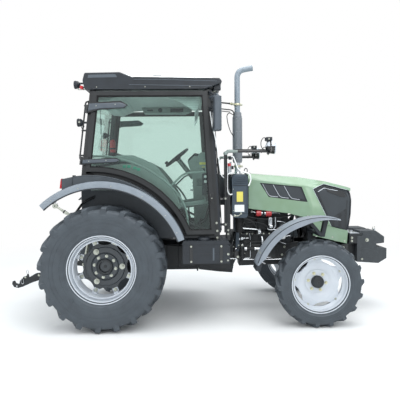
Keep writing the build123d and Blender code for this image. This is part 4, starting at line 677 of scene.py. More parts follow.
class TRACTOR_OT_rear_tyres(PieceOperator, bpy.types.Operator):
    """Rear tyres with their bars"""

    bl_idname = "tractor.rear_tyres"
    bl_label = "Rear tyres"

    def execute(self, context):
        look = settings()
        for side, sign in (("left", 1), ("right", -1)):
            forms = field_tyre(REAR_RADIUS, 194, REAR_RIM, REAR_RIM_HALF, look.rear_lugs,
                               look.lug_height * 1000, 44, 168, ((452, 3), (520, 2), (560, 2)))
            forms.append(rod((-318, sign * 191, -322), (-318, sign * 193.5, -322), 17, edge=0.8))
            for form in forms:
                form.move(0, sign * REAR_TRACK_HALF, REAR_RADIUS)
            make(f"rear_tyre_{side}_tread", f"rear_wheel_{side}", {"tyre_rubber": forms},
                 replaces=f"rear_tyre_{side}")
        return {"FINISHED"}


class TRACTOR_OT_front_tyres(PieceOperator, bpy.types.Operator):
    """Front tyres with their bars"""

    bl_idname = "tractor.front_tyres"
    bl_label = "Front tyres"

    def execute(self, context):
        look = settings()
        for side, sign in (("left", 1), ("right", -1)):
            forms = field_tyre(FRONT_RADIUS, 112, FRONT_RIM, FRONT_RIM_HALF, look.front_lugs,
                               look.lug_height * 1000 * 0.8, 33, 104, ((374, 2.5), (404, 2)))
            for form in forms:
                form.move(WHEELBASE, sign * FRONT_TRACK_HALF, FRONT_RADIUS)
            make(f"front_tyre_{side}_tread", f"front_wheel_{side}", {"tyre_rubber": forms},
                 replaces=f"front_tyre_{side}")
        return {"FINISHED"}


class TRACTOR_OT_rear_rims(PieceOperator, bpy.types.Operator):
    """Rear rims, scalloped discs, hub flanges and their fasteners"""

    bl_idname = "tractor.rear_rims"
    bl_label = "Rear rims and hubs"

    def execute(self, context):
        face = REAR_RIM_HALF - 210          # the disc's outer face, from the rim's middle
        rim = [turned(rim_profile(REAR_RIM, REAR_RIM_HALF - 4, 7), steps=96)]
        rim.append(turned([(331, 98), (331, 112), (322, 120), (316, 118), (316, 98)], steps=96))
        lug = [plate([(-34, 266), (34, 266), (30, 326), (-30, 326)], face - 10, face + 2, edge=3),
               plate([(-26, 306), (26, 306), (26, 328), (-26, 328)], face - 8, face + 40, edge=4)]
        clamps, middle = 8, (0, 0, 0)
        pitch = 360 / clamps
        rim += ring_of(lug, clamps, middle, start=pitch / 2)
        zinc = ring_of(bolt(0, face + 2, 290, 30), clamps, middle, start=pitch / 2)
        outline = []
        for index in range(clamps):             # a scallop between each pair of clamps
            for step in range(-8, 9):
                t = step / 8
                outline.append((282 - 38 * (1 - t * t) ** 0.8, index * pitch + t * 16.5))
            outline.append((283, (index + 0.5) * pitch))
        outline = [(r * sin(radians(a)), r * cos(radians(a))) for r, a in outline]
        disc = [plate(outline, face - 12, face, edge=2)]
        disc.append(turned([(150, face - 3), (162, face + 9), (216, face + 12), (226, face - 3)], steps=72))
        disc.append(turned([(92, face - 2), (92, face + 18), (98, face + 22), (136, face + 16),
                            (146, face + 10), (152, face - 2)], steps=72))
        zinc += ring_of(bolt(0, face + 17, 120, 24), 8, middle, start=10)
        zinc += ring_of([*bolt(0, face + 12, 194, 41, height=20),
                         rod((0, face + 30, 194), (0, face + 46, 194), 12, edge=1.5)], 3, middle, start=90)
        hub = [turned([(60, face - 40), (60, face + 8), (66, face + 30), (84, face + 31), (92, face + 20),
                       (92, face - 40)], steps=64),
               turned([(0, face - 38), (61, face - 38), (61, face - 14), (50, face - 10), (0, face - 8)],
                      steps=48),
               turned([(0, face - 10), (22, face - 10), (20, face + 2), (0, face + 4)], steps=24)]
        for side, sign in (("left", 1), ("right", -1)):
            place = (sign, 0, REAR_TRACK_HALF, REAR_RADIUS)
            back = node_copy(f"rear_hub_{side}").cut((0, sign * (REAR_TRACK_HALF + face - 13), 0), (0, sign, 0))
            make(f"rear_rim_{side}_barrel", f"rear_wheel_{side}",
                 {"silver_enamel": placed(rim, *place), "zinc_plate": placed(zinc, *place)},
                 replaces=f"rear_rim_{side}",
                 smooth=32)
            make(f"rear_hub_{side}_disc", f"rear_wheel_{side}",
                 {"charcoal_enamel": placed(disc, *place), "black_iron": placed(hub, *place) + [back]},
                 replaces=f"rear_hub_{side}", smooth=32)
        return {"FINISHED"}


class TRACTOR_OT_front_rims(PieceOperator, bpy.types.Operator):
    """Front rims with five-windowed dishes, hubs and nuts"""

    bl_idname = "tractor.front_rims"
    bl_label = "Front rims and hubs"

    def execute(self, context):
        face = FRONT_RIM_HALF - 150         # the dish's outer face, from the rim's middle
        rim = [turned(rim_profile(FRONT_RIM, FRONT_RIM_HALF - 4, 7), steps=96)]
        # The dish: a flat middle, a raised step, and five windows where it is cut away along the barrel.
        rim.append(turned([(70, face - 11), (70, face), (128, face), (142, face + 4), (165, face + 26),
                           (232, face + 40), (236, face + 34), (236, face + 22), (170, face + 14),
                           (140, face - 8)], steps=120))
        outline = [(228, 30), (250, 20), (272, 14), (292, 13), (304, 16)]
        outline += [(r, -angle) for r, angle in reversed(outline)]
        web = [plate([(r * sin(radians(angle)), r * cos(radians(angle))) for r, angle in outline], face + 26,
                     face + 38, edge=3),
               plate([(-30, 262), (30, 262), (24, 300), (-24, 300)], face + 36, face + 46, edge=3)]
        # Between the windows the dish reaches out to the barrel.
        windows, first, middle = 5, 90 - 28, (0, 0, 0)
        rim += ring_of(web, windows, middle, start=first)
        zinc = ring_of(bolt(0, face + 46, 280, 24), windows, middle, start=first)
        nuts = ring_of([*bolt(0, face, 102, 24, height=18),
                        rod((0, face + 16, 102), (0, face + 26, 102), 8, edge=1)], 6, middle, start=90 - 52)
        hub = [turned([(0, face + 54), (44, face + 54), (58, face + 49), (68, face + 38), (71, face + 22),
                       (71, face - 14), (122, face - 14), (122, face - 40), (40, face - 44), (0, face - 44)],
                       steps=64),
               turned([(0, face + 56), (16, face + 56), (18, face + 52), (0, face + 50)], steps=24)]
        for side, sign in (("left", 1), ("right", -1)):
            place = (sign, WHEELBASE, FRONT_TRACK_HALF, FRONT_RADIUS)
            make(f"front_rim_{side}_dish", f"front_wheel_{side}",
                 {"silver_enamel": placed(rim, *place), "zinc_plate": placed(zinc, *place),
                  "yellow_zinc": placed(nuts, *place)},
                 replaces=f"front_rim_{side}", smooth=32)
            make(f"front_hub_{side}_cap", f"front_wheel_{side}",
                 {"black_iron": placed(hub, *place)},
                 replaces=f"front_hub_{side}", smooth=32)
        return {"FINISHED"}


# ---------------------------------------------------------------- hood
HOOD_SECTIONS = (       # X, half width at the top, top, half width at the side, height of the crease
    (1690, 235, 1748, 300, 1680),
    (2353, 225, 1690, 300, 1592),
    (2670, 205, 1640, 290, 1520),
    (2950, 165, 1570, 255, 1420),
    (3030, 120, 1548, 205, 1380),
)


def hood_side(x, z, out=0):
    """A point on the hood's left side at x and z, lifted off it by out."""
    for one, two in zip(HOOD_SECTIONS, HOOD_SECTIONS[1:]):
        if x <= two[0] or two is HOOD_SECTIONS[-1]:
            t = (x - one[0]) / (two[0] - one[0])
            _, top_half, top, side_half, crease = [a + (b - a) * t for a, b in zip(one, two)]
            break
    rise = min(max((z - crease) / (top - crease), 0), 1)
    return (x, side_half + (top_half - side_half) * rise + out, z)


def on_side(points, out, low, steps=8):
    """A panel over an outline of (x, z) on the hood's side, from low to high off its surface."""
    dense = []
    for one, two in zip(points, points[1:] + points[:1]):
        dense += [(one[0] + (two[0] - one[0]) * i / steps,
                   one[1] + (two[1] - one[1]) * i / steps) for i in range(steps)]
    form = Form()
    face = form.bm.faces.new([form.bm.verts.new(hood_side(x, z, low)) for x, z in dense])
    made = bmesh.ops.extrude_face_region(form.bm, geom=[face])
    top = [v for v in made["geom"] if isinstance(v, bmesh.types.BMVert)]
    bmesh.ops.translate(form.bm, verts=top, vec=(0, out - low, 0))
    bmesh.ops.recalc_face_normals(form.bm, faces=form.bm.faces)
    return form


def side_line(points, out, radius, bend=20):
    """A thin bar along (x, z) points on the hood's side."""
    dense = []
    for one, two in zip(points, points[1:]):
        steps = max(1, int(hypot(two[0] - one[0], two[1] - one[1]) / 40))
        dense += [hood_side(one[0] + (two[0] - one[0]) * i / steps, one[1] + (two[1] - one[1]) * i / steps,
                            out) for i in range(steps)]
    dense.append(hood_side(*points[-1], out))
    return tube(dense, radius, bend=bend, sides=8, steps=2)


class TRACTOR_OT_hood(PieceOperator, bpy.types.Operator):
    """Hood shell, side vents, nose with its grille, and lower panels"""

    bl_idname = "tractor.hood"
    bl_label = "Hood"

    def execute(self, context):
        def crease(middle, heading):
            """The long folds between the hood's top and its sides."""
            return abs(heading.x) > 0.85 and abs(middle.y) > 90 and middle.z > 1330

        shell = node_copy("hood_shell").round(9, 3, 30, crease).round(2, 1, 50)
        # Thin silver lines along the nose panel's rear edge and along its top edge.
        seams = both(side_line([(2489, 1549), (2722, 1082)], 0.5, 2.5),
                     side_line([(2492, 1549), (2637, 1609), (2950, 1531)], 0, 3))
        stops = both(rod((1716, 196, 1740), (1716, 196, 1757), 9, edge=2))
        make("hood_shell_panel", "hood", {
            "green_enamel": [shell], "silver_enamel": seams, "seal_rubber": stops,
        }, replaces="hood_shell", smooth=40)

        vents = [on_side([(1826, 1632), (2349, 1578), (2424, 1386), (1938, 1453)], -6, -13)]
        frames = [side_line([(1831, 1628), (2345, 1574), (2419, 1390), (1941, 1456), (1831, 1628)], -2.5, 4, 4)]
        silver = []
        panes = []
        # Each pane's rear edge: x and z at its top and at its foot, and where its foot ends.
        strips = (
            (1862, 1617, 1942, 1466, 2052, 1453),
            (1994, 1603, 2078, 1449, 2186, 1436),
            (2128, 1589, 2217, 1431, 2322, 1417),
        )
        for index, (x0, z0, x1, z1, x2, z2) in enumerate(strips):
            silver.append(side_line([(x0, z0), (x0 * 0.15 + x1 * 0.85, z0 * 0.15 + z1 * 0.85),
                                     (x1 + 14, z1 - 1), (x2, z2)], 1, 3.6, 26))
            following = strips[index + 1] if index < 2 else (2336, 1567, 2398, 1410, 0, 0)
            panes.append(on_side([(x0 + 7, z0 - 4), (following[0] - 8, following[1] - 2),
                                  (following[2] - 8, following[3] + 4), (x1 + 8, z1 + 6)], -1,
                                  -7).round(1.2, 1, 50))
        make("hood_side_vents_panes", "hood", {
            "intake_mesh": both(*vents), "charcoal_enamel": both(*panes), "black_plastic": both(*frames),
            "silver_enamel": both(*silver),
        }, replaces="hood_side_vents", smooth=32)

        nose = node_copy("hood_grille").round(2, 1, 50)
        border = both(
            side_line([(2500, 1546), (2640, 1602), (2955, 1523)], -5, 6),
            side_line([(2500, 1546), (2733, 1084), (2935, 1030)], -5, 6),
            side_line([(2955, 1523), (2990, 1490), (2978, 1225), (2938, 1035)], -4, 9))
        brow = both(side_line([(2554, 1512), (2634, 1558), (2700, 1540), (2816, 1522)], -4, 4, 14))
        mesh = both(on_side([(2512, 1540), (2640, 1592), (2940, 1512), (2926, 1046), (2742, 1094)], -5, -9.5))
        headlamps = both(on_side([(2650, 1566), (2900, 1508), (2916, 1440), (2842, 1446), (2676, 1512)], -2,
                                 -8).round(2, 1, 50))
        make("hood_grille_nose", "hood", {
            "charcoal_enamel": [nose], "intake_mesh": mesh, "black_plastic": border, "silver_enamel": brow,
            "black_enamel": headlamps,
        }, replaces="hood_grille", smooth=40)

        lower = node_copy("hood_lower_panels", 2)
        ledge = both(side_line([(2535, 1150), (2742, 1056), (2930, 1000)], -1, 4))
        screws = []
        for x, z in ((2560, 1010), (2900, 890), (2740, 942)):
            screws += [form.move(*hood_side(x, z)) for form in bolt(0, 0, 0, 13, height=5)]
        make("hood_lower_panels_skin", "chassis",
             {"green_enamel": [lower] + ledge, "zinc_plate": both(screws)},
             replaces="hood_lower_panels", smooth=40)
        return {"FINISHED"}


# ---------------------------------------------------------------- cab
SHELF_X, SHELF_Z, SHELF_RADIUS = -124, 641, 1088    # the fender's long top arc
LEAN = 1.6                                          # how far the cab's sides lean in, degrees


def over_shelf(x, offset):
    """Height of an arc outside the fender's top arc, at x."""
    return SHELF_Z + sqrt((SHELF_RADIUS + offset) ** 2 - (x - SHELF_X) ** 2)


def leaned(*forms):
    """Lean pieces of the cab's left side in with it."""
    return [form.turn(LEAN, "X", (0, 700, 1050)) for form in flat_list(forms)]


def sided(side, *forms):
    """Pieces drawn for the left side, put on the side that is asked for."""
    return flat_list(forms) if side == "left" else [form.mirrored() for form in flat_list(forms)]


def door_outline(inset, steps=14):
    """The door's edge as (x, z), drawn in by inset, from its lower rear corner forward."""
    low = 1055 + inset
    rear_x = -196 + inset
    reach = SHELF_X + sqrt((SHELF_RADIUS + 45 + inset) ** 2 - (low - SHELF_Z) ** 2)
    arc = [rear_x + (reach - rear_x) * sin(pi / 2 * index / steps) for index in range(steps)]
    points = [(x, over_shelf(x, 45 + inset)) for x in arc] + [(reach, low)]
    return points + [(1255 - inset, low), (1168 - inset, 2668 - inset), (-104 + inset, 2668 - inset)]


def band(outer, inner, low, high):
    """A flat ring between two outlines of (x, z) that match corner to corner, from low to high along Y."""
    form = Form()
    rings = [[form.bm.verts.new((x, y, z)) for x, z in loop] for loop, y in
             ((outer, low), (outer, high), (inner, high), (inner, low))]
    for one, two in zip(rings, rings[1:] + rings[:1]):
        for index in range(len(one)):
            following = (index + 1) % len(one)
            form.bm.faces.new((one[index], one[following], two[following], two[index]))
    bmesh.ops.recalc_face_normals(form.bm, faces=form.bm.faces)
    return form


def ring_tube(points, radius, y, sides=8):
    """A seal that runs round an outline of (x, z)."""
    loop = [(x, y, z) for x, z in points]
    return tube(loop + loop[:1], radius, bend=12, sides=sides, steps=2)


HINGE_COVERS = (
    [(-236, 1850), (-228, 1912), (150, 1924), (198, 1899), (165, 1872), (-60, 1862)],
    [(-164, 2424), (-152, 2540), (215, 2556), (287, 2510), (250, 2474), (-20, 2462)],
)


def faceted(outline, low, high, inset):
    """A cover with one broad facet round its outer face."""
    middle = (sum(x for x, _ in outline) / len(outline), sum(z for _, z in outline) / len(outline))
    drawn = []
    for x, z in outline:
        away = Vector((x - middle[0], z - middle[1]))
        share = 1 - inset / max(away.length, inset * 2)
        drawn.append((middle[0] + away.x * share, middle[1] + (z - middle[1]) * 0.55))
    rings = [[(x, y, z) for x, z in loop] for loop, y in
             ((outline, low), (outline, low + (high - low) * 0.35), (drawn, high))]
    return skin(rings).round(2, 2, 18)


class TRACTOR_OT_doors(PieceOperator, bpy.types.Operator):
    """Both doors: tube frames, panes with their dark borders and seals, hinge covers, handles and inner rails"""

    bl_idname = "tractor.doors"
    bl_label = "Doors"

    def execute(self, context):
        rail = [(-158, 1946), (-60, 1952), (60, 1944), (184, 1916), (300, 1882), (416, 1836),
                (505, 1786), (590, 1730), (680, 1668), (764, 1590), (834, 1508), (892, 1412),
                (930, 1310), (948, 1120)]
        brace = [(752, 1606), (902, 1748), (1110, 1762), (1206, 1762)]
        for side in ("left", "right"):
            frame_tube = node_copy(f"door_frame_{side}", 3)
            covers = [faceted(outline, 738, 772, 16) for outline in HINGE_COVERS]
            screws = []
            for x, z in ((-150, 1888), (40, 1896), (-60, 2500), (150, 2515)):
                screws += bolt(x, 771, z, 11, height=4, washer=False)
            seals = [ring_tube(door_outline(45), 5, 729), ring_tube(door_outline(45), 5, 715),
                     ring_tube(door_outline(8), 6, 703)]
            handle = [block(1178, 1236, 738, 748, 1402, 1522, 3),
                      tube([(1200, 742, 1420), (1200, 772, 1424), (1196, 772, 1500), (1196, 742, 1506)], 8, 12),
                      rod((1214, 746, 1462), (1214, 757, 1462), 11, edge=1.5)]
            lock = [rod((1214, 755, 1462), (1214, 759, 1462), 7, edge=1)]
            latch = [block(1150, 1206, 676, 706, 1428, 1502, 4), rod((1168, 690, 1500), (1168, 690, 1560), 6)]
            rails = [tube([(x, 684, z) for x, z in rail], 13, 60, 12, 3),
                     tube([(x, 684, z) for x, z in brace], 12, 60, 12)]
            for x, z in ((-158, 1946), (948, 1124), (1200, 1762)):
                rails.append(rod((x, 680, z), (x, 708, z), 19, edge=3))
            pane = node_copy(f"door_glass_{side}", 0.8, 1)
            frit = [band(door_outline(44), door_outline(62), 718.4, 725.6)]
            make(f"door_frame_{side}_dressed", f"door_{side}", {
                "black_enamel": [frame_tube] + sided(side, leaned(handle, latch)),
                "grey_plastic": sided(side, leaned(covers)), "seal_rubber": sided(side, leaned(seals)),
                "zinc_plate": sided(side, leaned(screws, lock)), "trim_plastic": sided(side, leaned(rails)),
            }, replaces=f"door_frame_{side}")
            make(f"door_glass_{side}_pane", f"door_{side}", {
                "green_glass": [pane], "seal_rubber": sided(side, leaned(frit)),
            }, replaces=f"door_glass_{side}", smooth=32)
        return {"FINISHED"}


class TRACTOR_OT_cab(PieceOperator, bpy.types.Operator):
    """Cab frame with its seals and hand rails, front and rear windows with wipers, lining and sun blind"""

    bl_idname = "tractor.cab"
    bl_label = "Cab"

    def execute(self, context):
        def lean_front(z, extra=0):
            """X of the front pillar's front face at a height."""
            return 1307 + (1214 - 1307) * (z - 1050) / 1660 + extra

        def lean_rear(z, extra=0):
            """X of the rear pillar's rear face at a height."""
            return -259 + 117 * (z - 1690) / 1020 + extra

        posts = node_copy("cab_frame", 3)
        channels = []
        for x_of, out, y, z, radius in ((lean_front, 6, 688, 1070, 7), (lean_front, -60, 700, 1070, 5),
                                        (lean_rear, 66, 698, 1760, 6)):
            channels.append(tube([(x_of(z, out), y, z), (x_of(2680, out), y, 2680)], radius, 4, 8))
        front_trim = [skin([[(lean_front(z, x), y, z) for x, y in ((-2, 652), (4, 640), (15, 650), (15, 692),
                                                                   (4, 701), (-14, 700))]
                            for z in (1075, 1500, 2000, 2400, 2688)]).round(2, 1, 40)]
        rail = [tube([(lean_rear(1905, -2), 676, 1905), (lean_rear(1920, -40), 690, 1920),
                      (lean_rear(2560, -36), 690, 2560), (lean_rear(2572, -2), 676, 2572)], 9, 30)]
        clamps = []
        for z in (1960, 2240, 2520):
            clamps += [block(lean_rear(z, -50), lean_rear(z, 6), 680, 700, z - 9, z + 9, 3)]
        cables = [tube([(lean_front(z0, 20), 668 + 5 * i, z0),
                        (lean_front(z0 + 180, 27), 664 + 8 * i, z0 + 180),
                        (lean_front(z1, 22), 668 + 5 * i, z1)], 4.5, 60, 8)
                  for i, (z0, z1) in enumerate(((1090, 2050), (1240, 2660)))]
        ties = [rod((lean_front(z, 20), 656, z), (lean_front(z, 20), 688, z), 10, sides=12, edge=1)
                .turn(90, "X", (lean_front(z, 20), 672, z)) for z in (1300, 1480, 1660, 1840, 2020, 2300, 2480)]
        steps = [block(-205 + 46 * i, -178 + 46 * i, 677, 681, 1736, 1744, 1.5) for i in range(3)]
        bolts = []
        for x, z in ((1275, 1012), (1275, 1090), (1268, 1180)):
            bolts += bolt(x, 700, z, 17)
        tube_white = [tube([(1206, 712, 2440), (1222, 716, 2300), (1262, 712, 2150), (1292, 706, 1980),
                            (1312, 700, 1800), (1328, 680, 1720), (1372, 610, 1690)], 7, 60, 10)]
        arc = [(-200 + (905 + 200) * sin(pi / 2 * index / 16)) for index in range(17)]
        weather = [band([(x, over_shelf(x, 66)) for x in arc] + [(908, 1068), (1240, 1068)],
                        [(x, over_shelf(x, 26)) for x in arc] + [(900, 1036), (1240, 1036)], 664, 690)]
        make("cab_frame_posts", "chassis", {
            "black_enamel": [posts] + both(leaned(rail, clamps)),
            "seal_rubber": both(leaned(channels, ties), weather),
            "black_plastic": both(leaned(front_trim)), "hose_rubber": both(leaned(cables)),
            "zinc_plate": both(leaned(bolts, steps)),
            "white_gelcoat": [form.mirrored() for form in leaned(tube_white)],
        }, replaces="cab_frame")

        glazing = node_copy("cab_windows", 0.8, 1)
        edge = []
        half = 652
        for low_z, x_of, shift in ((1500, lean_front, 2), (1775, lean_rear, -2)):
            loop = [(x_of(low_z + 8, shift), -half, low_z + 8), (x_of(low_z + 8, shift), half, low_z + 8),
                    (x_of(2676, shift), half - 30, 2676), (x_of(2676, shift), -half + 30, 2676)]
            edge.append(tube(loop + loop[:1], 7, 30, 8, 3))
        wiper = [rod((lean_front(1470, 4), 0, 1470), (lean_front(1470, 44), 0, 1476), 13, edge=2),
                 tube([(lean_front(1476, 36), 0, 1476), (lean_front(1620, 34), -60, 1620),
                       (lean_front(2080, 26), -250, 2080)], 6, 60, 8),
                 block(-5, 5, -6, 6, -300, 300, 2).turn(-22, "X").turn(-3.2, "Y")
                 .move(lean_front(2080, 18), -250, 2080)]
        rear_wiper = [rod((lean_rear(2620, 4), 0, 2620), (lean_rear(2620, -34), 0, 2618), 11, edge=2),
                      tube([(lean_rear(2618, -26), 0, 2618), (lean_rear(2300, -24), 140, 2300)], 5, 30, 8),
                      block(-4, 4, -5, 5, -220, 220, 2).turn(24, "X").turn(6.5, "Y")
                      .move(lean_rear(2280, -14), 146, 2280)]
        make("cab_windows_panes", "chassis", {
            "green_glass": [glazing], "seal_rubber": edge, "black_plastic": wiper + rear_wiper,
        }, replaces="cab_windows", smooth=32)

        lining = [plate([(-120, 2660), (180, 2672), (330, 2684), (1130, 2684), (1130, 2689), (-120, 2689)],
                        -636, 636, edge=2),
                  skin([[(x, y, z) for x, z in (
                      (192, 2686), (360, 2688), (1100, 2688), (1096, 2600), (1074, 2500), (1042, 2452),
                      (960, 2500), (840, 2574), (640, 2640), (400, 2676))] for y in (-606, -598)])
                  .round(2, 1, 40)]
        blind = [skin([[(x, y, z) for x, z in (
            (1098, 2686), (1092, 2600), (1072, 2504), (1040, 2456), (1034, 2460), (1066, 2508), (1086, 2602),
            (1092, 2686))] for y in (-598, 598)])]
        rear_pod = [plate([(-120, 2662), (-120, 2600), (20, 2590), (150, 2640), (190, 2672)], -560, 560,
                          edge=8)]
        console = [plate([(300, 2686), (330, 2612), (900, 2606), (990, 2640), (1010, 2686)], 380, 560, edge=10)]
        speaker = [rod((560, 382, 2644), (560, 374, 2644), 30, sides=28, edge=2),
                   rod((560, 376, 2644), (560, 372, 2644), 20, sides=24)]
        controls = [block(700, 880, 374, 382, 2618, 2668, 3), block(380, 460, 375, 382, 2634, 2654, 2)]
        controls += [rod((730 + 40 * i, 376, 2643), (730 + 40 * i, 366, 2643), 9, edge=1.5) for i in range(4)]
        make("cab_lining", "chassis", {
            "headlining": lining + rear_pod, "white_gelcoat": blind, "trim_plastic": console,
            "black_plastic": speaker + controls,
        }, smooth=32)
        return {"FINISHED"}


class TRACTOR_OT_roof(PieceOperator, bpy.types.Operator):
    """Roof band, crowned cap with its seams, vents and grips"""

    bl_idname = "tractor.roof"
    bl_label = "Roof"

    def execute(self, context):
        moulding = node_copy("roof_band", 14, 4)
        ribs = both(tube([(352, 690, 2800), (800, 690.5, 2792), (1288, 690, 2776)], 3.5, 60, 8),
                    tube([(300, 690, 2742), (1225, 690, 2722)], 3.5, 40, 8))
        gutter = both(tube([(-190, 686, 2697), (1160, 686, 2697), (1334, 684, 2768)], 7, 60, 10),
                      tube([(345, 686, 2824), (1316, 684, 2806)], 5, 60, 8))
        recess = both(plate([(-150, 2852), (150, 2858), (170, 2824), (-158, 2818)], 689.5, 692, edge=1))
        rear = [block(-224, -214, -300, 300, 2738, 2790, 3)]
        vents = [block(-229, -221, -280 + 56 * i, -240 + 56 * i, 2744, 2784, 2) for i in range(11)]
        fixings = []
        for x in (-60, 480, 980):
            fixings += both(bolt(x, 690, 2716, 12, height=4, washer=False))
        make("roof_band_moulding", "chassis", {
            "black_plastic": [moulding] + gutter + rear, "grey_plastic": ribs + recess, "seal_rubber": vents,
            "zinc_plate": fixings,
        }, replaces="roof_band", smooth=40)

        cap = node_copy("roof_cap").round(10, 3, 20, lambda middle, heading: middle.z > 2840)
        grips = [block(560, 660, -606, -596, 2862, 2868, 2), block(-120, -70, -588, -578, 2898, 2904, 2)]
        make("roof_cap_shell", "chassis", {
            "white_gelcoat": [cap], "grey_plastic": both(*grips),
        }, replaces="roof_cap", smooth=40)
        return {"FINISHED"}


def lamp_face(x, y, z, radius, facing, depth=10):
    """Bezel, lens and reflector ring of a round lamp that looks along X."""
    return {
        "bezel": [turned([(radius * 0.80, 0), (radius * 1.02, 0), (radius * 1.05, -6 * facing),
                          (radius * 1.05, -16 * facing), (radius * 0.94, -18 * facing)],
                         x, y, z, "X", 40)],
        "glass": [turned([(0.1, 2 * facing), (radius * 0.5, 1 * facing), (radius * 0.82, -2 * facing),
                          (radius * 0.82, -depth * facing), (0.1, -depth * facing)],
                         x, y, z, "X", 40)],
    }


class TRACTOR_OT_lamps(PieceOperator, bpy.types.Operator):
    """Work lamps on the roof and posts, front lamps on their arms, and tail lamps"""

    bl_idname = "tractor.lamps"
    bl_label = "Lamps"

    def execute(self, context):
        housings = node_copy("work_lamps", 2)
        bezels, glass, brackets, cables = [], [], [], []
        r = 44
        for x, y, z in ((-340, 560, 2772), (-292, 640, 2330)):
            face = lamp_face(x - 1, y, z, r, -1)
            bezels += face["bezel"]
            glass += face["glass"]
            fin = [(r * 0.62, 0), (r * 0.70, 0), (r * 0.70, 8), (r * 0.62, 8)]
            bezels += [turned(fin, x + 34 + 6 * i, y, z, "X", 32) for i in range(3)]
        brackets += [block(-300, -214, 545, 575, 2716, 2722, 1.5), block(-306, -300, 545, 575, 2716, 2770, 1.5)]
        brackets += bolt(-250, 560, 2724, 13, "Z")
        brackets += bolt(-262, 688, 2330, 13)
        cables += [tube([(-268, 560, 2752), (-246, 556, 2730), (-224, 552, 2760)], 4, 20, 8),
                   tube([(-258, 640, 2300), (-240, 648, 2250), (-214, 660, 2290)], 4, 20, 8)]
        for y in (430, 490):
            face = lamp_face(1292, y, 2725, 26, 1, 6)
            bezels += face["bezel"]
            glass += face["glass"]
        brackets += [block(1216, 1280, 412, 418, 2700, 2758, 1),
                     tube([(1230, 540, 2688), (1290, 540, 2700), (1316, 536, 2740)], 5, 18, 8)]
        marker = [plate([(-224, 2700), (-262, 2712), (-256, 2746), (-222, 2740)], 610, 650, edge=4)]
        front_bar = [block(1248, 1322, 560, 650, 2690, 2752, 8),
                     rod((1318, 605, 2722), (1330, 605, 2722), 32, edge=2)]
        front_lens = [rod((1328, 605, 2722), (1333, 605, 2722), 27, edge=1.5)]
        make("work_lamps_housings", "chassis", {
            "black_plastic": [housings] + both(bezels, front_bar), "lamp_glass": both(glass, front_lens),
            "zinc_plate": both(brackets),
            "hose_rubber": both(cables), "red_lens": both(marker),
        }, replaces="work_lamps", smooth=32)

        box = node_copy("tail_lamps", 5, 3)
        base = plate([(-294, 1608), (-306, 1606), (-296, 1730), (-290, 1734)], 764, 880, edge=2)
        make("tail_lamps_lenses", "chassis", {
            "red_lens": [box], "black_plastic": both(base),
        }, replaces="tail_lamps", smooth=32)
        return {"FINISHED"}


class TRACTOR_OT_mirrors(PieceOperator, bpy.types.Operator):
    """Mirrors with ribbed backs, silvered faces and jointed arms"""

    bl_idname = "tractor.mirrors"
    bl_label = "Mirrors"

    def execute(self, context):
        shells = node_copy("mirrors", 7, 3)
        glass = [block(1226, 1230, 792, 926, 2220, 2552, 3).round(1, 1, 60)]
        border = [tube([(1229, 788, 2216), (1229, 930, 2216), (1229, 930, 2556), (1229, 788, 2556),
                        (1229, 788, 2216)], 4, 14, 8, 3)]
        arms = [tube([(1190, 650, 2660), (1216, 720, 2640), (1262, 800, 2592), (1268, 850, 2562)], 9, 40, 12),
                tube([(1208, 664, 2470), (1228, 724, 2474), (1262, 782, 2470)], 8, 30, 12),
                rod((1268, 850, 2548), (1268, 850, 2580), 15, edge=2),
                rod((1206, 664, 2450), (1206, 664, 2492), 14, edge=2),
                rod((1196, 656, 2632), (1196, 656, 2676), 14, edge=2)]
        ribs = [block(1314, 1320, 800, 918, 2250 + 44 * i, 2256 + 44 * i, 1.5) for i in range(7)]
        screws = bolt(1318, 858, 2236, 10, "X", 4, False) + bolt(1318, 858, 2538, 10, "X", 4, False)
        make("mirrors_heads", "chassis", {
            "grey_plastic": [shells] + both(ribs), "silvered_glass": both(glass),
            "black_plastic": both(border, arms), "zinc_plate": both(screws),
        }, replaces="mirrors", smooth=32)
        return {"FINISHED"}


# ---------------------------------------------------------------- fenders and mudguards
def arc_form(centre, section, start, end, steps):
    """Sweep a closed (radius, y) section along an arc about the Y axis line through a centre."""
    loops = []
    for index in range(steps + 1):
        angle = radians(start + (end - start) * index / steps)
        loops.append([(centre[0] + r * sin(angle), y, centre[1] + r * cos(angle)) for r, y in section])
    return skin(loops)


class TRACTOR_OT_fenders(PieceOperator, bpy.types.Operator):
    """Rear fenders: ribbed tops, flared lips, inner walls and stays"""

    bl_idname = "tractor.fenders"
    bl_label = "Rear fenders"

    def execute(self, context):
        shell = node_copy("rear_fenders", 2.5)
        axle = (0, REAR_RADIUS)
        lip = arc_form(axle, [(962, 884), (963, 915), (957, 932), (938, 938), (893, 938), (886, 934),
                              (893, 931), (934, 930), (948, 925), (955, 912), (957, 884)], -42, 70, 56)
        bead = arc_form(axle, [(889, 930), (895, 940), (888, 944), (881, 940), (881, 932)], -42, 70, 56)
        groove = [arc_form(axle, [(962.5, y), (966, y), (966, y + 5), (962.5, y + 5)], -40, 68, 48)
                  for y in (890, 903)]
        treads = []
        for index in range(19):
            x = -60 + 40 * index
            slope = degrees(asin((x - SHELF_X) / SHELF_RADIUS))
            treads.append(block(-9, 9, 700, 866, -1, 5, 2).turn(slope, "Y").move(x, 0, over_shelf(x, 0)))
        edge = [tube([(x, 876, over_shelf(x, -3)) for x in range(-290, 815, 46)], 7, 20, 10, 2)]
        stays = [tube([(-150, 560, 1480), (-260, 600, 1430), (-330, 700, 1300)], 14, 60, 12)]
        bolts = []
        for angle in (-34, -14, 8, 30, 50, 64):
            x, z = 918 * sin(radians(angle)), REAR_RADIUS + 918 * cos(radians(angle))
            bolts += bolt(x, 937, z, 12, height=4)
        make("rear_fenders_skin", "chassis", {
            "fender_plastic": [shell] + both(treads, edge), "lip_plastic": both(lip, groove),
            "black_plastic": both(bead), "black_enamel": both(stays), "zinc_plate": both(bolts),
        }, replaces="rear_fenders", smooth=34)
        return {"FINISHED"}


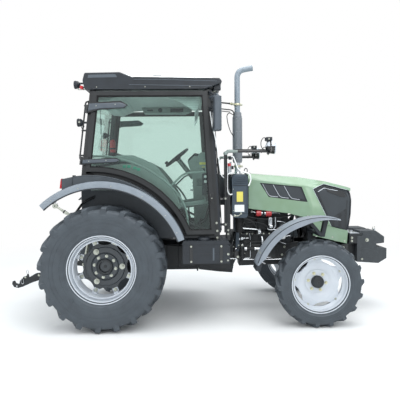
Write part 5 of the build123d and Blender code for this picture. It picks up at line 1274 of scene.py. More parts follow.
class TRACTOR_OT_mudguards(PieceOperator, bpy.types.Operator):
    """Front mudguards: crowned tops with ribs, turned edges and forked stays"""

    bl_idname = "tractor.mudguards"
    bl_label = "Front mudguards"

    def execute(self, context):
        stays = node_copy("front_mudguards", 2)
        centre = (WHEELBASE, FRONT_RADIUS)
        for side in ("left", "right"):
            low, high = FRONT_TRACK_HALF - 108, FRONT_TRACK_HALF + 130
            loops = []
            for index in range(45):
                angle = -72 + 88 * index / 44
                skirt = 66 * min(1, 0.16 + (16 - angle) / 40) * min(1, 0.3 + (angle + 72) / 12)
                section = [(752, low), (757, low + 6), (761, low + 50), (761, high - 50), (757, high - 16),
                           (748, high + 1), (758 - skirt, high + 8), (757 - skirt, high + 4), (744, high - 4),
                           (752, high - 18), (756, high - 50), (756, low + 50), (750, low + 2)]
                turn = radians(angle)
                loops.append([(centre[0] + r * sin(turn), y, centre[1] + r * cos(turn)) for r, y in section])
            top = skin(loops)
            ribs = [arc_form(centre, [(759, y), (764, y + 3), (764, y + 13), (759, y + 16)], -70, 14, 36)
                    for y in (low + 62, FRONT_TRACK_HALF - 8, high - 78)]
            flap = arc_form(centre, [(700, low + 20), (752, low + 20), (752, high - 16), (700, high - 16)],
                            -77, -70, 3).round(3, 1, 40)
            bolts = []
            for angle in (-62, -36, -8):
                for y in (FRONT_TRACK_HALF - 60, FRONT_TRACK_HALF + 60):
                    head = bolt(0, y, 762, 15, "Z", 7)
                    bolts += [form.turn(angle, "Y").move(centre[0], 0, centre[1]) for form in head]
            make(f"front_mudguard_{side}_top", "chassis", {
                "guard_plastic": sided(side, top, ribs), "black_plastic": sided(side, flap),
                "zinc_plate": sided(side, bolts),
            }, smooth=34)
        make("front_mudguards_stays", "chassis", {"black_plastic": [stays]},
             replaces="front_mudguards", smooth=34)
        return {"FINISHED"}


# ---------------------------------------------------------------- exhaust, filter box, front lamps, ballast
EXHAUST_X, EXHAUST_Y = 1541, -420


class TRACTOR_OT_exhaust(PieceOperator, bpy.types.Operator):
    """Upright exhaust with its heat shield, clamps, bent mouth and stay to the cab"""

    bl_idname = "tractor.exhaust"
    bl_label = "Exhaust"

    def execute(self, context):
        x, y = EXHAUST_X, EXHAUST_Y
        pipe = [tube([(x, y, 1752), (x, y, 2961.6), (1719, y, 2992)], 33, 96, 40, 12)]
        tip = Vector((0.9857, 0, 0.1682))
        end = Vector((1719, y, 2992))
        # A near-black disc on the pipe's open end: painted shade of the pipe's inside, with its soot.
        mouth = [rod(end - tip * 2, end + tip * 1, 29, sides=40)]
        lip = [turned([(28.5, 0), (33.8, 0), (33.8, 9), (28.5, 9)], axis="X", steps=40).turn(-9.7)
               .move(*(end - tip * 6))]
        shield = [turned([(36, 1874), (50, 1874), (54, 1884), (54, 2424), (49, 2430), (49, 2458), (44, 2470),
                          (36, 2472)], x, y, axis="Z", steps=56)]
        middle = (x, y, 0)
        seams = ring_of([block(x + 52, x + 64, y - 1.6, y + 1.6, 1896, 2410, 0.8)], 2, middle, "Z", start=20)
        screws = []
        for z in (1920, 2080, 2240, 2390):
            for angle in (-104, -60):
                screws += [form.turn(angle, "Z", middle) for form in bolt(x + 54, y, z, 8, "X", 3, False)]
        clamps, nuts = [], []
        for z, r in ((2562, 34), (1830, 36)):
            band_section = [(r, z - 13), (r + 6, z - 13), (r + 7, z), (r + 6, z + 13), (r, z + 13)]
            clamps.append(turned(band_section, x, y, axis="Z", steps=40))
            clamps += [block(x + r, x + r + 26, y - 12, y - 5, z - 12, z + 12, 2),
                       block(x + r, x + r + 26, y + 5, y + 12, z - 12, z + 12, 2)]
            nuts += [rod((x + r + 16, y - 30, z), (x + r + 16, y + 24, z), 4),
                     rod((x + r, y - 18, z), (x + r + 30, y - 18, z), 4)]
            nuts += bolt(x + r + 16, y - 13, z, 13, out=-1) + bolt(x + r + 16, y + 13, z, 13)
        foot = [turned([(34, 1732), (60, 1732), (60, 1744), (40, 1748), (36, 1764), (34, 1764)], x, y,
                       axis="Z", steps=40)]
        nuts += ring_of(bolt(x + 49, y, 1744, 10, "Z"), 4, middle, "Z", start=45)
        lower = [turned([(33, 1764), (34.5, 1764), (34.5, 1876), (33, 1876)], x, y, axis="Z", steps=40)]
        stay = [tube([(1222, -672, 2552), (1440, -510, 2560)], 9, 10, 12),
                tube([(1214, -668, 2484), (1462, -476, 2492), (1494, -450, 2476), (1500, -446, 2424)], 7, 26,
                     10),
                tube([(1216, -668, 2460), (1448, -486, 2466)], 5.5, 10, 8)]
        spacer = [rod((1440, -510, 2560), (1512, -446, 2562), 12, edge=1.5),
                  rod((1462, -491, 2560.6), (1474, -481, 2560.8), 16, sides=6)]
        cable = [tube([(1502, -446, 2432), (1440, -474, 2462), (1410, -480, 2430), (1420, -480, 2340),
                       (1452, -470, 2240), (1492, -446, 2186)], 5, 50, 8)]
        make("exhaust_stack_pipe", "chassis", {
            # The mouth's disc uses the seal rubber's near-black as painted shade.
            "stack_steel": pipe + lip, "exhaust_enamel": shield + seams, "seal_rubber": mouth,
            "yellow_zinc": clamps + spacer,
            "zinc_plate": nuts + screws, "bright_steel": foot + lower, "black_enamel": stay,
            "hose_rubber": cable,
        }, replaces="exhaust_stack")
        return {"FINISHED"}


class TRACTOR_OT_filter_box(PieceOperator, bpy.types.Operator):
    """Filter box beside the hood: ribbed top, blank plates, latch, filler caps and hoses"""

    bl_idname = "tractor.filter_box"
    bl_label = "Filter box"

    def execute(self, context):
        box = node_copy("filter_box", 7, 3)
        face = -560
        ribs = [tube([(1478, face - 2, z), (1630, face - 2, z)], 4, 6, 10) for z in (1616, 1640, 1664, 1688)]
        ribs += [tube([(1484 + 24 * i, -548, 1731), (1484 + 24 * i, -344, 1731)], 3.5, 6, 8) for i in range(6)]
        ribs += [tube([(1634, face + 4, 1262), (1634, face + 4, 1596)], 9, 6, 12)]
        seam = [tube([(1464, face - 0.5, z), (1644, face - 0.5, z)], 2.5, 6, 8) for z in (1600, 1275)]
        plates = {"yellow_film": [block(1514, 1588, face - 1.6, face + 2, 1412, 1530, 0.7)],
                  "white_film": [block(1488, 1602, face - 1.6, face + 2, 1293, 1376, 0.7)]}
        latch = [block(1478, 1500, face - 12, face + 2, 1236, 1262, 3),
                 tube([(1489, face - 12, 1250), (1530, face - 14, 1244), (1562, face - 10, 1272)], 5.5, 16, 10),
                 block(1554, 1574, face - 6, face + 2, 1262, 1284, 2)]
        for z in (1310, 1560):
            latch += bolt(1474, face, z, 10, out=-1, washer=False)
        ring = [tube([(1633, -470, 1732), (1612, -470, 1772), (1626, -470, 1806), (1648, -470, 1800),
                      (1652, -470, 1764), (1636, -470, 1732)], 5, 18, 10)]
        hoses = [tube([(1440, -560, 1930), (1476, -560, 1944), (1508, -556, 1860), (1536, -552, 1782),
                       (1606, -566, 1756), (1664, -572, 1742), (1684, -574, 1670), (1652, -570, 1596)], 8, 46,
                      12),
                 tube([(1362, -590, 1930), (1398, -588, 1880), (1404, -580, 1700), (1402, -576, 1545),
                       (1428, -574, 1494), (1462, -572, 1502)], 8, 46, 12),
                 tube([(1372, -610, 1690), (1400, -606, 1726), (1440, -590, 1752), (1486, -566, 1744)], 7, 40,
                      10)]
        filler = [rod((1424, -560, 1734), (1424, -560, 1828), 17, edge=2),
                  rod((1448, -520, 1740), (1448, -520, 1880), 12, edge=2)]
        caps = [rod((1424, -560, 1826), (1424, -560, 1862), 24, sides=16, edge=4)]
        knobs = [rod((1440, -556, 1902), (1440, -556, 1938), 19, sides=16, edge=4),
                 rod((1470, -540, 1792), (1470, -540, 1832), 12, edge=2)]
        shelf = [block(1392, 1480, -592, -470, 1722, 1734, 3), block(1382, 1394, -600, -470, 1560, 1734, 3)]
        post = [block(1384, 1440, -560, -520, 960, 1560, 6)]
        for z in (1080, 1034):
            latch += bolt(1412, -560, z, 15, out=-1)
        intake = [rod((1553, -445, 1222), (1553, -445, 1040), 44, sides=32, edge=4)]
        intake += [turned([(44, z), (49, z + 5), (44, z + 10), (40, z + 5)], 1553, -445, axis="Z", steps=32)
                   for z in range(1060, 1171, 22)]
        make("filter_box_case", "chassis", {
            "box_plastic": [box] + ribs, "seal_rubber": seam + intake, **plates, "zinc_plate": latch,
            "black_plastic": ring + knobs, "white_gelcoat": hoses, "bright_steel": filler, "red_enamel": caps,
            "black_enamel": shelf + post,
        }, replaces="filter_box")
        return {"FINISHED"}


class TRACTOR_OT_front_lamps(PieceOperator, bpy.types.Operator):
    """Front lamp arms with round headlamps and square work lamps"""

    bl_idname = "tractor.front_lamps"
    bl_label = "Front lamps"

    def execute(self, context):
        arms = node_copy("front_lamps", 1.5, 2)
        y, z = 560, 2046
        bowl = turned([(0.1, 1852), (26, 1854), (52, 1868), (70, 1892), (78, 1926), (80, 1948), (76, 1952),
                       (0.1, 1952)], y=y, z=z, axis="X", steps=56)
        # The bowl's upper half, in silver, is a painted highlight of the light on top of the black bowl.
        hood = bowl.copy().cut((1852, y, z + 6), (0, 0, -1))
        bowl.cut((1852, y, z + 6), (0, 0, 1))
        rim = [turned([(62, 1950), (80, 1950), (83, 1954), (81, 1961), (64, 1959)], y=y, z=z, axis="X",
                      steps=56)]
        face = [turned([(0.1, 1966), (30, 1964), (64, 1957), (64, 1950), (0.1, 1950)], y=y, z=z, axis="X",
                       steps=48)]
        yoke = [block(1870, 1896, y - 26, y + 26, 1966, 1984, 4), rod((1883, y, 1960), (1883, y, 2008), 10)]
        nuts = bolt(1883, y, 1962, 15, "Z", out=-1) + bolt(1850, y, 2016, 12, "Z")
        case = [block(1858, 1922, y - 40, y + 40, 2114, 2160, 8)]
        case += [block(1850, 1862, y - 34 + 13 * i, y - 29 + 13 * i, 2118, 2156, 1.5) for i in range(6)]
        case += [block(1868, 1912, y - 12, y + 12, 2100, 2118, 3)]
        glass = [block(1920, 1926, y - 34, y + 34, 2119, 2155, 2)]
        bracket = [tube([(1880, y - 44, 2138), (1880, y - 44, 2096), (1884, y - 8, 2092)], 5, 10, 8)]
        nuts += bolt(1886, y + 40, 2137, 12) + bolt(1886, y - 40, 2137, 12, out=-1)
        loop = [tube([(1858, y, 2146), (1832, y + 4, 2158), (1800, y + 4, 2120), (1798, y + 2, 2060),
                      (1826, y, 2012)], 4.5, 36, 10),
                tube([(1852, y + 8, 2046), (1826, y + 10, 2040), (1812, y + 6, 2010)], 4, 18, 8)]
        sleeve = [tube([(1384, 609, 1970), (1408, 607, 1998), (1520, 594, 1998)], 19, 24, 24, 6),
                  ball(1381, 609, 1972, 25, 24)]
        joints = [block(1352, 1404, 590, 630, z0, z0 + 34, 6) for z0 in (1136, 1436)]
        for z0 in (1153, 1453):
            nuts += bolt(1378, 630, z0, 13)
        wire = [tube([(1392, 620, 1100), (1395, 622, 1700), (1396, 620, 1990), (1500, 606, 2016),
                      (1790, 574, 2016), (1840, 566, 2020)], 5, 40, 8)]
        ties = [turned([(17, 0), (20, 0), (20, 7), (17, 7)], 1620 + 90 * i, 583 - 10 * i, 1998, "X", 24)
                for i in range(3)]
        make("front_lamps_arms", "chassis", {
            # The silver on the bowl's upper half is a painted highlight.
            "black_enamel": [arms] + both(bowl, yoke, joints), "silver_enamel": both(hood, rim),
            "lamp_glass": both(face, glass), "black_plastic": both(case, ties),
            "zinc_plate": both(nuts), "grey_plastic": both(bracket), "hose_rubber": both(loop, wire),
            "trim_plastic": both(sleeve),
        }, replaces="front_lamps")
        return {"FINISHED"}


class TRACTOR_OT_ballast(PieceOperator, bpy.types.Operator):
    """Suitcase weights with their tie bolt, weight carrier and tow pin"""

    bl_idname = "tractor.ballast"
    bl_label = "Ballast"

    def execute(self, context):
        weights = node_copy("front_weights", 7, 3)
        recess = both(plate([(3112, 700), (3290, 686), (3330, 730), (3290, 762), (3150, 800), (3112, 790)],
                            269, 272.5, edge=1.5),
                      plate([(3150, 880), (3290, 872), (3330, 905), (3280, 962), (3190, 972)], 269, 272.5,
                            edge=1.5))
        tie = both(rod((3180, 40, 900), (3180, 296, 900), 14, edge=2))
        nuts = both(bolt(3180, 270, 900, 30), bolt(3120, 270, 660, 17))
        make("front_weights_castings", "chassis", {
            "ballast_iron": [weights] + recess, "zinc_plate": tie + nuts,
        }, replaces="front_weights")

        carrier = node_copy("weight_carrier", 4, 2)
        ledge = [block(2966, 3118, -266, 266, 984, 989, 2)]
        heads = []
        for x, y in ((2990, 60), (2990, 190), (3040, 60), (3040, 190)):
            heads += both(bolt(x, y, 989, 19, "Z"))
        heads += both(bolt(2990, 270, 930, 19), bolt(2990, 270, 890, 19))
        pin = [rod((3385, 0, 985), (3385, 0, 1014), 20, edge=4),
               rod((3385, 0, 728), (3385, 0, 745), 12, edge=3)]
        wire = [(14 + 3 * cos(pi * i / 4), 3 * sin(pi * i / 4)) for i in range(8)]
        ring = [turned(wire, 3385, 0, 1026, "Y", 28)]
        clip = [tube([(3374, -12, 734), (3362, -26, 734), (3384, -34, 730), (3404, -24, 732), (3398, 14, 734)],
                     2.4, 12, 8)]
        chain = [tube([(3385, -4, 1016), (3360, -30, 1000), (3330, -36, 988)], 3, 16, 8)]
        make("weight_carrier_casting", "chassis", {
            "black_iron": [carrier], "silver_enamel": ledge, "zinc_plate": heads + ring + clip + chain,
            "bright_steel": pin,
        }, replaces="weight_carrier")
        return {"FINISHED"}


class TRACTOR_OT_side_boxes(PieceOperator, bpy.types.Operator):
    """Fuel tank with its tread and cap, battery box and open step"""

    bl_idname = "tractor.side_boxes"
    bl_label = "Tank, battery box and step"

    def execute(self, context):
        tank = node_copy("fuel_tank", 9, 3)
        ribs = [block(x, x + 16, -655 if 1040 < x < 1190 else -795, -440, 988, 995, 3)
                for x in range(905, 1338, 36)]              # shorter beside the cap
        cap = [turned([(0.1, 1024), (40, 1023), (58, 1018), (64, 1010), (64, 990), (0.1, 990)], 1120, -735,
                      axis="Z", steps=48)]
        grips = ring_of([block(1182, 1188, -738.5, -731.5, 992, 1012, 1.5)], 20, (1120, -735, 0), "Z")
        straps = []
        for x in (960, 1296):
            straps += [block(x, x + 34, -805, -799, 742, 942, 2), block(x, x + 34, -800, -320, 729, 735.5, 2)]
        bolts = []
        for x, y, z, across in ((977, -805, 760, 15), (977, -805, 930, 15), (1313, -805, 760, 15),
                                (1313, -805, 930, 15), (1390, -800, 840, 17), (1386, -800, 770, 13)):
            bolts += bolt(x, y, z, across, out=-1)
        drain = [rod((1090, -560, 700), (1090, -560, 716), 15, sides=6, edge=1.5)]
        mould = [tube([(884, -798, 846), (1408, -798, 846)], 4, 6, 8),
                 tube([(884, -799, 948), (1378, -799, 948)], 4, 6, 8)]
        gauge = [block(1216, 1236, -806, -799, 770, 912, 3)]
        lines = [tube([(1420, -500, 760), (1470, -470, 770), (1520, -420, 820), (1560, -330, 850)], 7, 40, 10),
                 tube([(1408, -620, 900), (1448, -600, 900), (1470, -540, 960), (1500, -420, 1010)], 6, 40, 10)]
        make("fuel_tank_moulding", "chassis", {
            "black_plastic": [tank] + ribs + cap + grips + mould, "black_enamel": straps,
            "zinc_plate": bolts + drain, "hose_rubber": lines, "grey_plastic": gauge,
        }, replaces="fuel_tank")

        box = node_copy("battery_box_and_step", 4, 2)
        lid = [block(896, 1294, 296, 566, 968, 982, 5)]
        treads = []
        for z, out in ((504, 790), (769, 760)):
            treads += [block(930 + 26 * i, 942 + 26 * i, 612, out, z, z + 6, 2) for i in range(12)]
        straps = [block(x, x + 24, 560, 566, 724, 972, 2) for x in (980, 1190)]
        latches = []
        for x, y, z, across in ((992, 566, 760, 13), (1202, 566, 760, 13), (992, 566, 940, 13),
                                (1202, 566, 940, 13), (945, 640, 905, 17), (1225, 640, 905, 17)):
            latches += bolt(x, y, z, across)
        grips = [tube([(1090, 564, 930), (1090, 584, 926), (1090, 584, 876), (1090, 564, 870)], 6, 10, 10)]
        make("battery_box_case", "chassis", {
            "black_enamel": [box] + treads, "black_plastic": lid + straps + grips, "zinc_plate": latches,
        }, replaces="battery_box_and_step")
        return {"FINISHED"}


# ---------------------------------------------------------------- engine bay, frame, axles, linkage
def row(x0, x1, count):
    """Evenly spaced places from x0 to x1."""
    return [x0 + (x1 - x0) * index / (count - 1) for index in range(count)]


def bellows(x, y, low, high, radius, folds, axis="Z"):
    """A folded rubber boot."""
    profile = [(0.1, low)]
    for index in range(folds):
        start = low + (high - low) * index / folds
        step = (high - low) / folds
        profile += [(radius * 0.78, start + step * 0.08), (radius, start + step * 0.5),
                    (radius * 0.78, start + step * 0.92)]
    return turned(profile + [(0.1, high)], x, y, axis=axis, steps=32)


class TRACTOR_OT_engine(PieceOperator, bpy.types.Operator):
    """Engine with its covers, filters, pipes, hoses, alternator, belt, fan and radiator"""

    bl_idname = "tractor.engine"
    bl_label = "Engine"

    def execute(self, context):
        engine = node_copy("engine_block", 6, 2)
        covers, nuts, silver, hoses, dark, red = [], [], [], [], [], []
        for x in row(1620, 2160, 4):
            covers.append(block(x - 52, x + 52, -92, 92, 1346, 1366, 8))
            nuts += bolt(x, 0, 1366, 17, "Z")
        for x in row(1610, 2180, 9):
            nuts += both(*bolt(x, 125, 1268, 13), *bolt(x, 185, 985, 13), *bolt(x, 185, 712, 13))
        covers += both(*[block(x - 10, x + 10, 180, 196, 730, 975, 5) for x in row(1640, 2140, 6)])
        covers += both(block(1590, 2180, 124, 150, 1110, 1190, 10))
        covers += both(*[tube([(x, 150, 1150), (x, 176, 1140), (x, 182, 1012)], 15, 24, 12)
                         for x in row(1640, 2130, 4)])

        # Right side, from the cab forward. The pipes run in one plane beside the block.
        side = -262
        red += [rod((1785, side, 1252), (1850, side, 1252), 39, sides=32, edge=5),
                rod((1907, side, 1250), (1976, side, 1250), 39, sides=32, edge=5)]
        silver += [rod((1846, side, 1252), (1868, side, 1252), 22, edge=2),
                   rod((1888, side, 1250), (1910, side, 1250), 22, edge=2),
                   tube([(1974, side, 1252), (2046, -258, 1256), (2090, -240, 1240)], 7, 20, 10),
                   tube([(1786, side, 1256), (1752, side, 1272), (1720, -250, 1262), (1700, -200, 1240)], 6,
                        20, 10)]
        dark += [block(1780, 1990, -222, -120, 1206, 1292, 6), block(1760, 2010, side, -200, 1284, 1294, 3)]
        silver += [tube([(1500, side, 1076), (1580, side, 1070), (1640, side, 1062), (1800, side, 1048),
                         (1836, -258, 1030), (1852, -250, 996)], 9, 30, 12)]
        silver += [block(1806, 1856, -268, -210, 984, 1034, 12),
                   rod((1831, -240, 1030), (1831, -240, 1052), 12, sides=6),
                   block(1940, 1992, side, -200, 1092, 1196, 10), block(1952, 2000, -268, -206, 1060, 1100, 10),
                   tube([(2030, -250, 1200), (2032, -252, 1082), (2012, -246, 1052)], 9, 18, 12),
                   tube([(1930, -256, 1056), (1960, -258, 1040), (2050, -254, 1042)], 6.5, 14, 10),
                   tube([(2050, -256, 1146), (2110, -256, 1142), (2150, -240, 1130)], 7, 16, 10)]
        silver += [tube([(1770, side, 806), (1866, side, 806), (1866, side, 906), (1862, -232, 948)], 17, 46,
                        20, 8)]
        silver += [turned([(17, 0), (25, 0), (25, 12), (17, 12)], x, side, 806, "X", 28)
                   for x in (1640, 1766, 1656, 1526)]
        hoses += [tube([(1640, side, 806), (1776, side, 806)], 22, 10, 24),
                  tube([(1530, side, 812), (1664, side, 812)], 14, 10, 16)]
        silver += [tube([(1862, side, 812), (1930, side, 850), (2004, -258, 911)], 8.5, 40, 12),
                   ball(2004, -258, 911, 14), ball(1858, side, 810, 13)]
        silver += [tube([(1444, -250, 683), (1540, -250, 683)], 7, 8, 10),
                   tube([(1640, -250, 684), (1704, -250, 684), (1716, -250, 700), (1716, -250, 940),
                         (1706, -240, 1000)], 5.5, 14, 10),
                   tube([(1830, -244, 686), (1972, -244, 690)], 5.5, 8, 10),
                   rod((1868, -240, 632), (1908, -240, 610), 9),
                   block(1600, 1628, side, -232, 836, 866, 5), block(1552, 1578, side, -232, 836, 866, 5)]
        silver += [rod((1572, -268, 930), (1572, -214, 930), 15, sides=6),
                   rod((1610, -268, 936), (1610, -214, 936), 17, sides=24, edge=2),
                   tube([(1620, side, 938), (1690, side, 940)], 6, 8, 10),
                   tube([(1566, side, 938), (1546, side, 990)], 7, 8, 10)]
        boot = [bellows(1609, side, 704, 800, 42, 4)]
        dark += [rod((1609, side, 800), (1609, side, 830), 30, edge=4),
                 rod((1609, side, 656), (1609, side, 706), 14, edge=2),
                 block(1548, 1690, side, -190, 826, 842, 4)]
        tank = [turned([(0.1, 926), (34, 928), (40, 938), (40, 984), (32, 1000), (18, 1004), (0.1, 1004)],
                       2116, side, axis="Z", steps=36)]
        dark += [rod((2116, side, 1002), (2116, side, 1022), 20, edge=3)]
        silver += [tube([(2154, -258, 956), (2216, -258, 962)], 6.5, 8, 10),
                   tube([(2080, side, 926), (2060, -258, 896), (2100, -250, 880), (2160, -250, 860)], 5, 18, 8)]
        # Alternator and starter.
        dynamo = turned([(0.1, 0), (40, 0), (60, 12), (64, 30), (64, 92), (58, 112), (0.1, 112)], 2088, -190,
                        1066, "X", 40)
        fins = [turned([(60, x), (68, x), (68, x + 5), (60, x + 5)], 2088, -190, 1066, "X", 40)
                for x in row(34, 84, 5)]
        pulleys = [turned([(0.1, 0), (34, 0), (38, 3), (30, 10), (38, 17), (34, 20), (0.1, 20)], 2270, -190,
                          1066, "X", 36),
                   turned([(0.1, 0), (84, 0), (88, 3), (78, 10), (88, 17), (84, 20), (0.1, 20)], 2270, 0, 790,
                          "X", 48),
                   turned([(0.1, 0), (58, 0), (62, 3), (52, 10), (62, 17), (58, 20), (0.1, 20)], 2270, 0, 1110,
                          "X", 48)]
        loop = ((83, 790), (57, 1110), (30, 1160), (-40, 1160), (-190, 1102), (-222, 1066), (-190, 1010),
                (-70, 760), (-30, 712), (40, 716), (83, 790))
        belt = [tube([(2280, y, z) for y, z in loop], 6.5, 60, 8)]
        dark += [rod((1560, -150, 860), (1700, -150, 860), 46, edge=6),
                 rod((1560, -196, 916), (1650, -196, 916), 24, edge=4)]
        dark += [rod((1960, -196, 780), (1960, -196, 900), 44, sides=32, edge=8)]
        wires = [tube(points, radius, 50, 10) for points, radius in zip((
                [(1540, -250, 1160), (1640, side, 1120), (1760, side, 1146), (1900, -256, 1110),
                 (2000, -250, 1000), (2120, -236, 1060)],
                [(1560, -256, 1180), (1700, side, 1180), (1780, side, 1100), (1812, side, 1010),
                 (1760, side, 960), (1700, -250, 880)],
                [(1716, -256, 1058), (1748, side, 980), (1812, -264, 976), (1890, -264, 1036)],
                [(1560, -250, 1000), (1640, side, 986), (1672, side, 900), (1760, side, 886),
                 (1900, -258, 900), (2080, -250, 880)],
                [(1600, -180, 1260), (1700, -236, 1200), (1900, -236, 1170), (2160, -230, 1200),
                 (2280, -220, 1240)]), (6, 9, 4.5, 7, 11))]
        left_side = [tube([(1700, 200, 760), (1800, 246, 780), (2000, 246, 840), (2200, 236, 980),
                           (2400, 200, 1040)], 20, 70, 16),
                     tube([(1560, 190, 1200), (1760, 240, 1216), (2100, 240, 1180), (2420, 200, 1260)], 24, 80,
                          16),
                     rod((1760, 205, 860), (1760, 205, 980), 42, edge=8),
                     rod((1860, 205, 850), (1860, 205, 970), 38, edge=8)]
        for x in (1565, 1612):
            nuts += bolt(x, side, 850, 15, out=-1)
        make("engine_block_dressed", "chassis", {
            "black_iron": [engine] + covers + dark, "zinc_plate": nuts, "bright_steel": silver,
            "hose_rubber": hoses + wires + belt + left_side + boot,
            "red_enamel": red, "bare_iron": [dynamo] + fins + pulleys, "white_film": tank,
        }, replaces="engine_block")

        pack = node_copy("cooling_pack", 2, 1)
        fins = [block(2552, 2556, -204, 204, z, z + 5) for z in row(900, 1430, 38)]
        tanks = [block(2466, 2556, -218, 218, 1434, 1470, 10), block(2466, 2556, -218, 218, 866, 896, 8)]
        top_hose = [tube([(2300, 60, 1260), (2360, 80, 1330), (2430, 90, 1440), (2480, 90, 1450)], 24, 60, 16)]
        ring = [turned([(196, 0), (206, 0), (206, 40), (196, 40)], 2402, 0, 1110, "X", 56)]
        filler = [rod((2510, 0, 1468), (2510, 0, 1492), 26, edge=3)]
        make("cooling_pack_dressed", "chassis", {
            "black_enamel": [pack] + ring, "bare_iron": fins, "black_plastic": tanks + filler,
            "hose_rubber": top_hose,
        }, replaces="cooling_pack")
        return {"FINISHED"}


class TRACTOR_OT_driveline(PieceOperator, bpy.types.Operator):
    """Gearbox, rear axle tubes, front frame, front axle, knuckles and steering rod"""

    bl_idname = "tractor.driveline"
    bl_label = "Driveline"

    def execute(self, context):
        housing = node_copy("transmission_housing", 6, 2)
        flanges = []
        nuts = []
        for x, half, low, high in ((432, 150, 470, 950), (1052, 146, 510, 910), (1494, 205, 556, 935)):
            flanges.append(block(x - 10, x + 10, -half - 10, half + 10, low, high, 5))
            for z in row(low + 30, high - 30, 5):
                nuts += both(bolt(x + 10, half - 6, z, 15, "X"))
        ribs = both(*[block(x - 5, x + 5, 126, 146, 560, 860, 4) for x in row(520, 960, 4)])
        plug = bolt(740, 0, 518, 27, "Z", out=-1)
        for y in (-90, -30, 30, 90):
            nuts += bolt(-214, y, 1074, 15, "Z") + bolt(-50, y, 1074, 15, "Z")
        couplers, caps = [], []
        for index in range(4):
            y, z = -114 + 76 * index, 1010 - 4 * (index % 2)
            couplers += [rod((-232, y, z), (-292, y, z), 17, sides=6), rod((-290, y, z), (-306, y, z), 15)]
            caps += [rod((-304, y, z), (-316, y, z), 19, edge=3)]
        for angle in range(0, 360, 60):
            nuts += bolt(-271, 62 * cos(radians(angle)), 590 + 62 * sin(radians(angle)), 13, "X", out=-1)
        pins = both(rod((40, 232, 470), (40, 276, 470), 17, edge=3),
                    tube([(40, 268, 452), (40, 268, 494)], 2.5, 6, 8))
        ring = [tube([(44, 268, 494), (62, 270, 480), (58, 268, 456), (40, 268, 448)], 2.5, 14, 8)]
        lines = [tube([(-40, 155, 990), (20, 190, 960), (200, 190, 900), (420, 176, 880), (700, 160, 840),
                       (1100, 170, 820)], 8, 60, 10)]
        bar_pin = [rod((-470, 0, 388), (-470, 0, 470), 12, edge=2),
                   turned([(13, 0), (24, 0), (24, 8), (13, 8)], -470, 0, 430, "Z", 28)]
        make("transmission_housing_casting", "chassis", {
            "black_iron": [housing] + flanges + ribs, "zinc_plate": nuts + plug + couplers,
            "red_enamel": caps[:2], "black_plastic": caps[2:],
            "bright_steel": pins + both(ring) + bar_pin, "hose_rubber": both(lines),
        }, replaces="transmission_housing")

        tubes = node_copy("rear_axle_tubes", 5, 2)
        nuts = []
        for index in range(10):
            angle = radians(36 * index)
            nuts += both(bolt(104 * cos(angle), 206, REAR_RADIUS + 104 * sin(angle), 17))
        brakes = both(turned([(96, 0), (126, 4), (132, 14), (132, 52), (118, 66), (96, 70)], 0, 206,
                             REAR_RADIUS, "Y", 48))
        webs = both(*[block(-6, 6, 280, 500, 92, 112, 3).turn(90 * i + 45).move(0, 0, REAR_RADIUS)
                      for i in range(4)])
        make("rear_axle_tubes_casting", "chassis",
             {"black_iron": [tubes] + brakes + webs, "zinc_plate": nuts}, replaces="rear_axle_tubes")

        rails = node_copy("front_frame", 4, 2)
        nuts = []
        for x, z in ((1560, 700), (1560, 800), (1640, 740), (1640, 800), (2120, 720), (2150, 820), (2480, 820),
                     (2540, 820), (2480, 700), (2300, 690), (2900, 700), (2900, 800)):
            nuts += both(bolt(x, 226, z, 19))
        lines = both(tube([(1600, 238, 668), (2000, 238, 664), (2260, 240, 672), (2330, 220, 640)], 6, 30, 8))
        gussets = both(block(1700, 1712, 200, 246, 690, 850, 3), block(2050, 2062, 200, 246, 680, 850, 3))
        make("front_frame_rails", "chassis", {
            "black_enamel": [rails] + gussets, "zinc_plate": nuts, "bright_steel": lines,
        }, replaces="front_frame")

        axle = node_copy("front_axle", 4, 2)
        x, z = WHEELBASE, FRONT_RADIUS
        nuts = []
        for index in range(12):
            angle = radians(30 * index)
            nuts += bolt(x + 100 * cos(angle), -40, z + 100 * sin(angle), 13)
        nuts += bolt(x, 0, z - 114, 22, "Z", out=-1)
        ends = both(turned([(60, 0), (72, 3), (72, 26), (60, 30)], x, 300, z, "Y", 36))
        glands = both(turned([(16, 0), (30, 2), (34, 10), (16, 12)], x - 190, 168, z + 139, "Y", 32))
        hoses = both(tube([(x - 190, 120, z + 172), (x - 210, 110, z + 220), (x - 260, 160, z + 260),
                           (x - 300, 190, z + 250)], 8, 30, 10))
        make("front_axle_casting", "chassis", {
            "black_iron": [axle] + ends, "zinc_plate": nuts + glands, "hose_rubber": hoses,
        }, replaces="front_axle")

        kingpin_y = 545
        for side in ("left", "right"):
            knuckle = node_copy(f"knuckle_{side}", 4, 2)
            caps = bolt(x, kingpin_y, z + 115, 30, "Z") + bolt(x, kingpin_y, z - 115, 30, "Z", out=-1)
            make(f"knuckle_{side}_casting", f"knuckle_{side}", {
                "black_iron": [knuckle], "zinc_plate": sided(side, caps),
            }, replaces=f"knuckle_{side}")
        rod_piece = node_copy("steering_rod", 3, 2)
        make("steering_rod_bar", "steering_rod", {"bright_steel": [rod_piece]},
             replaces="steering_rod")
        return {"FINISHED"}


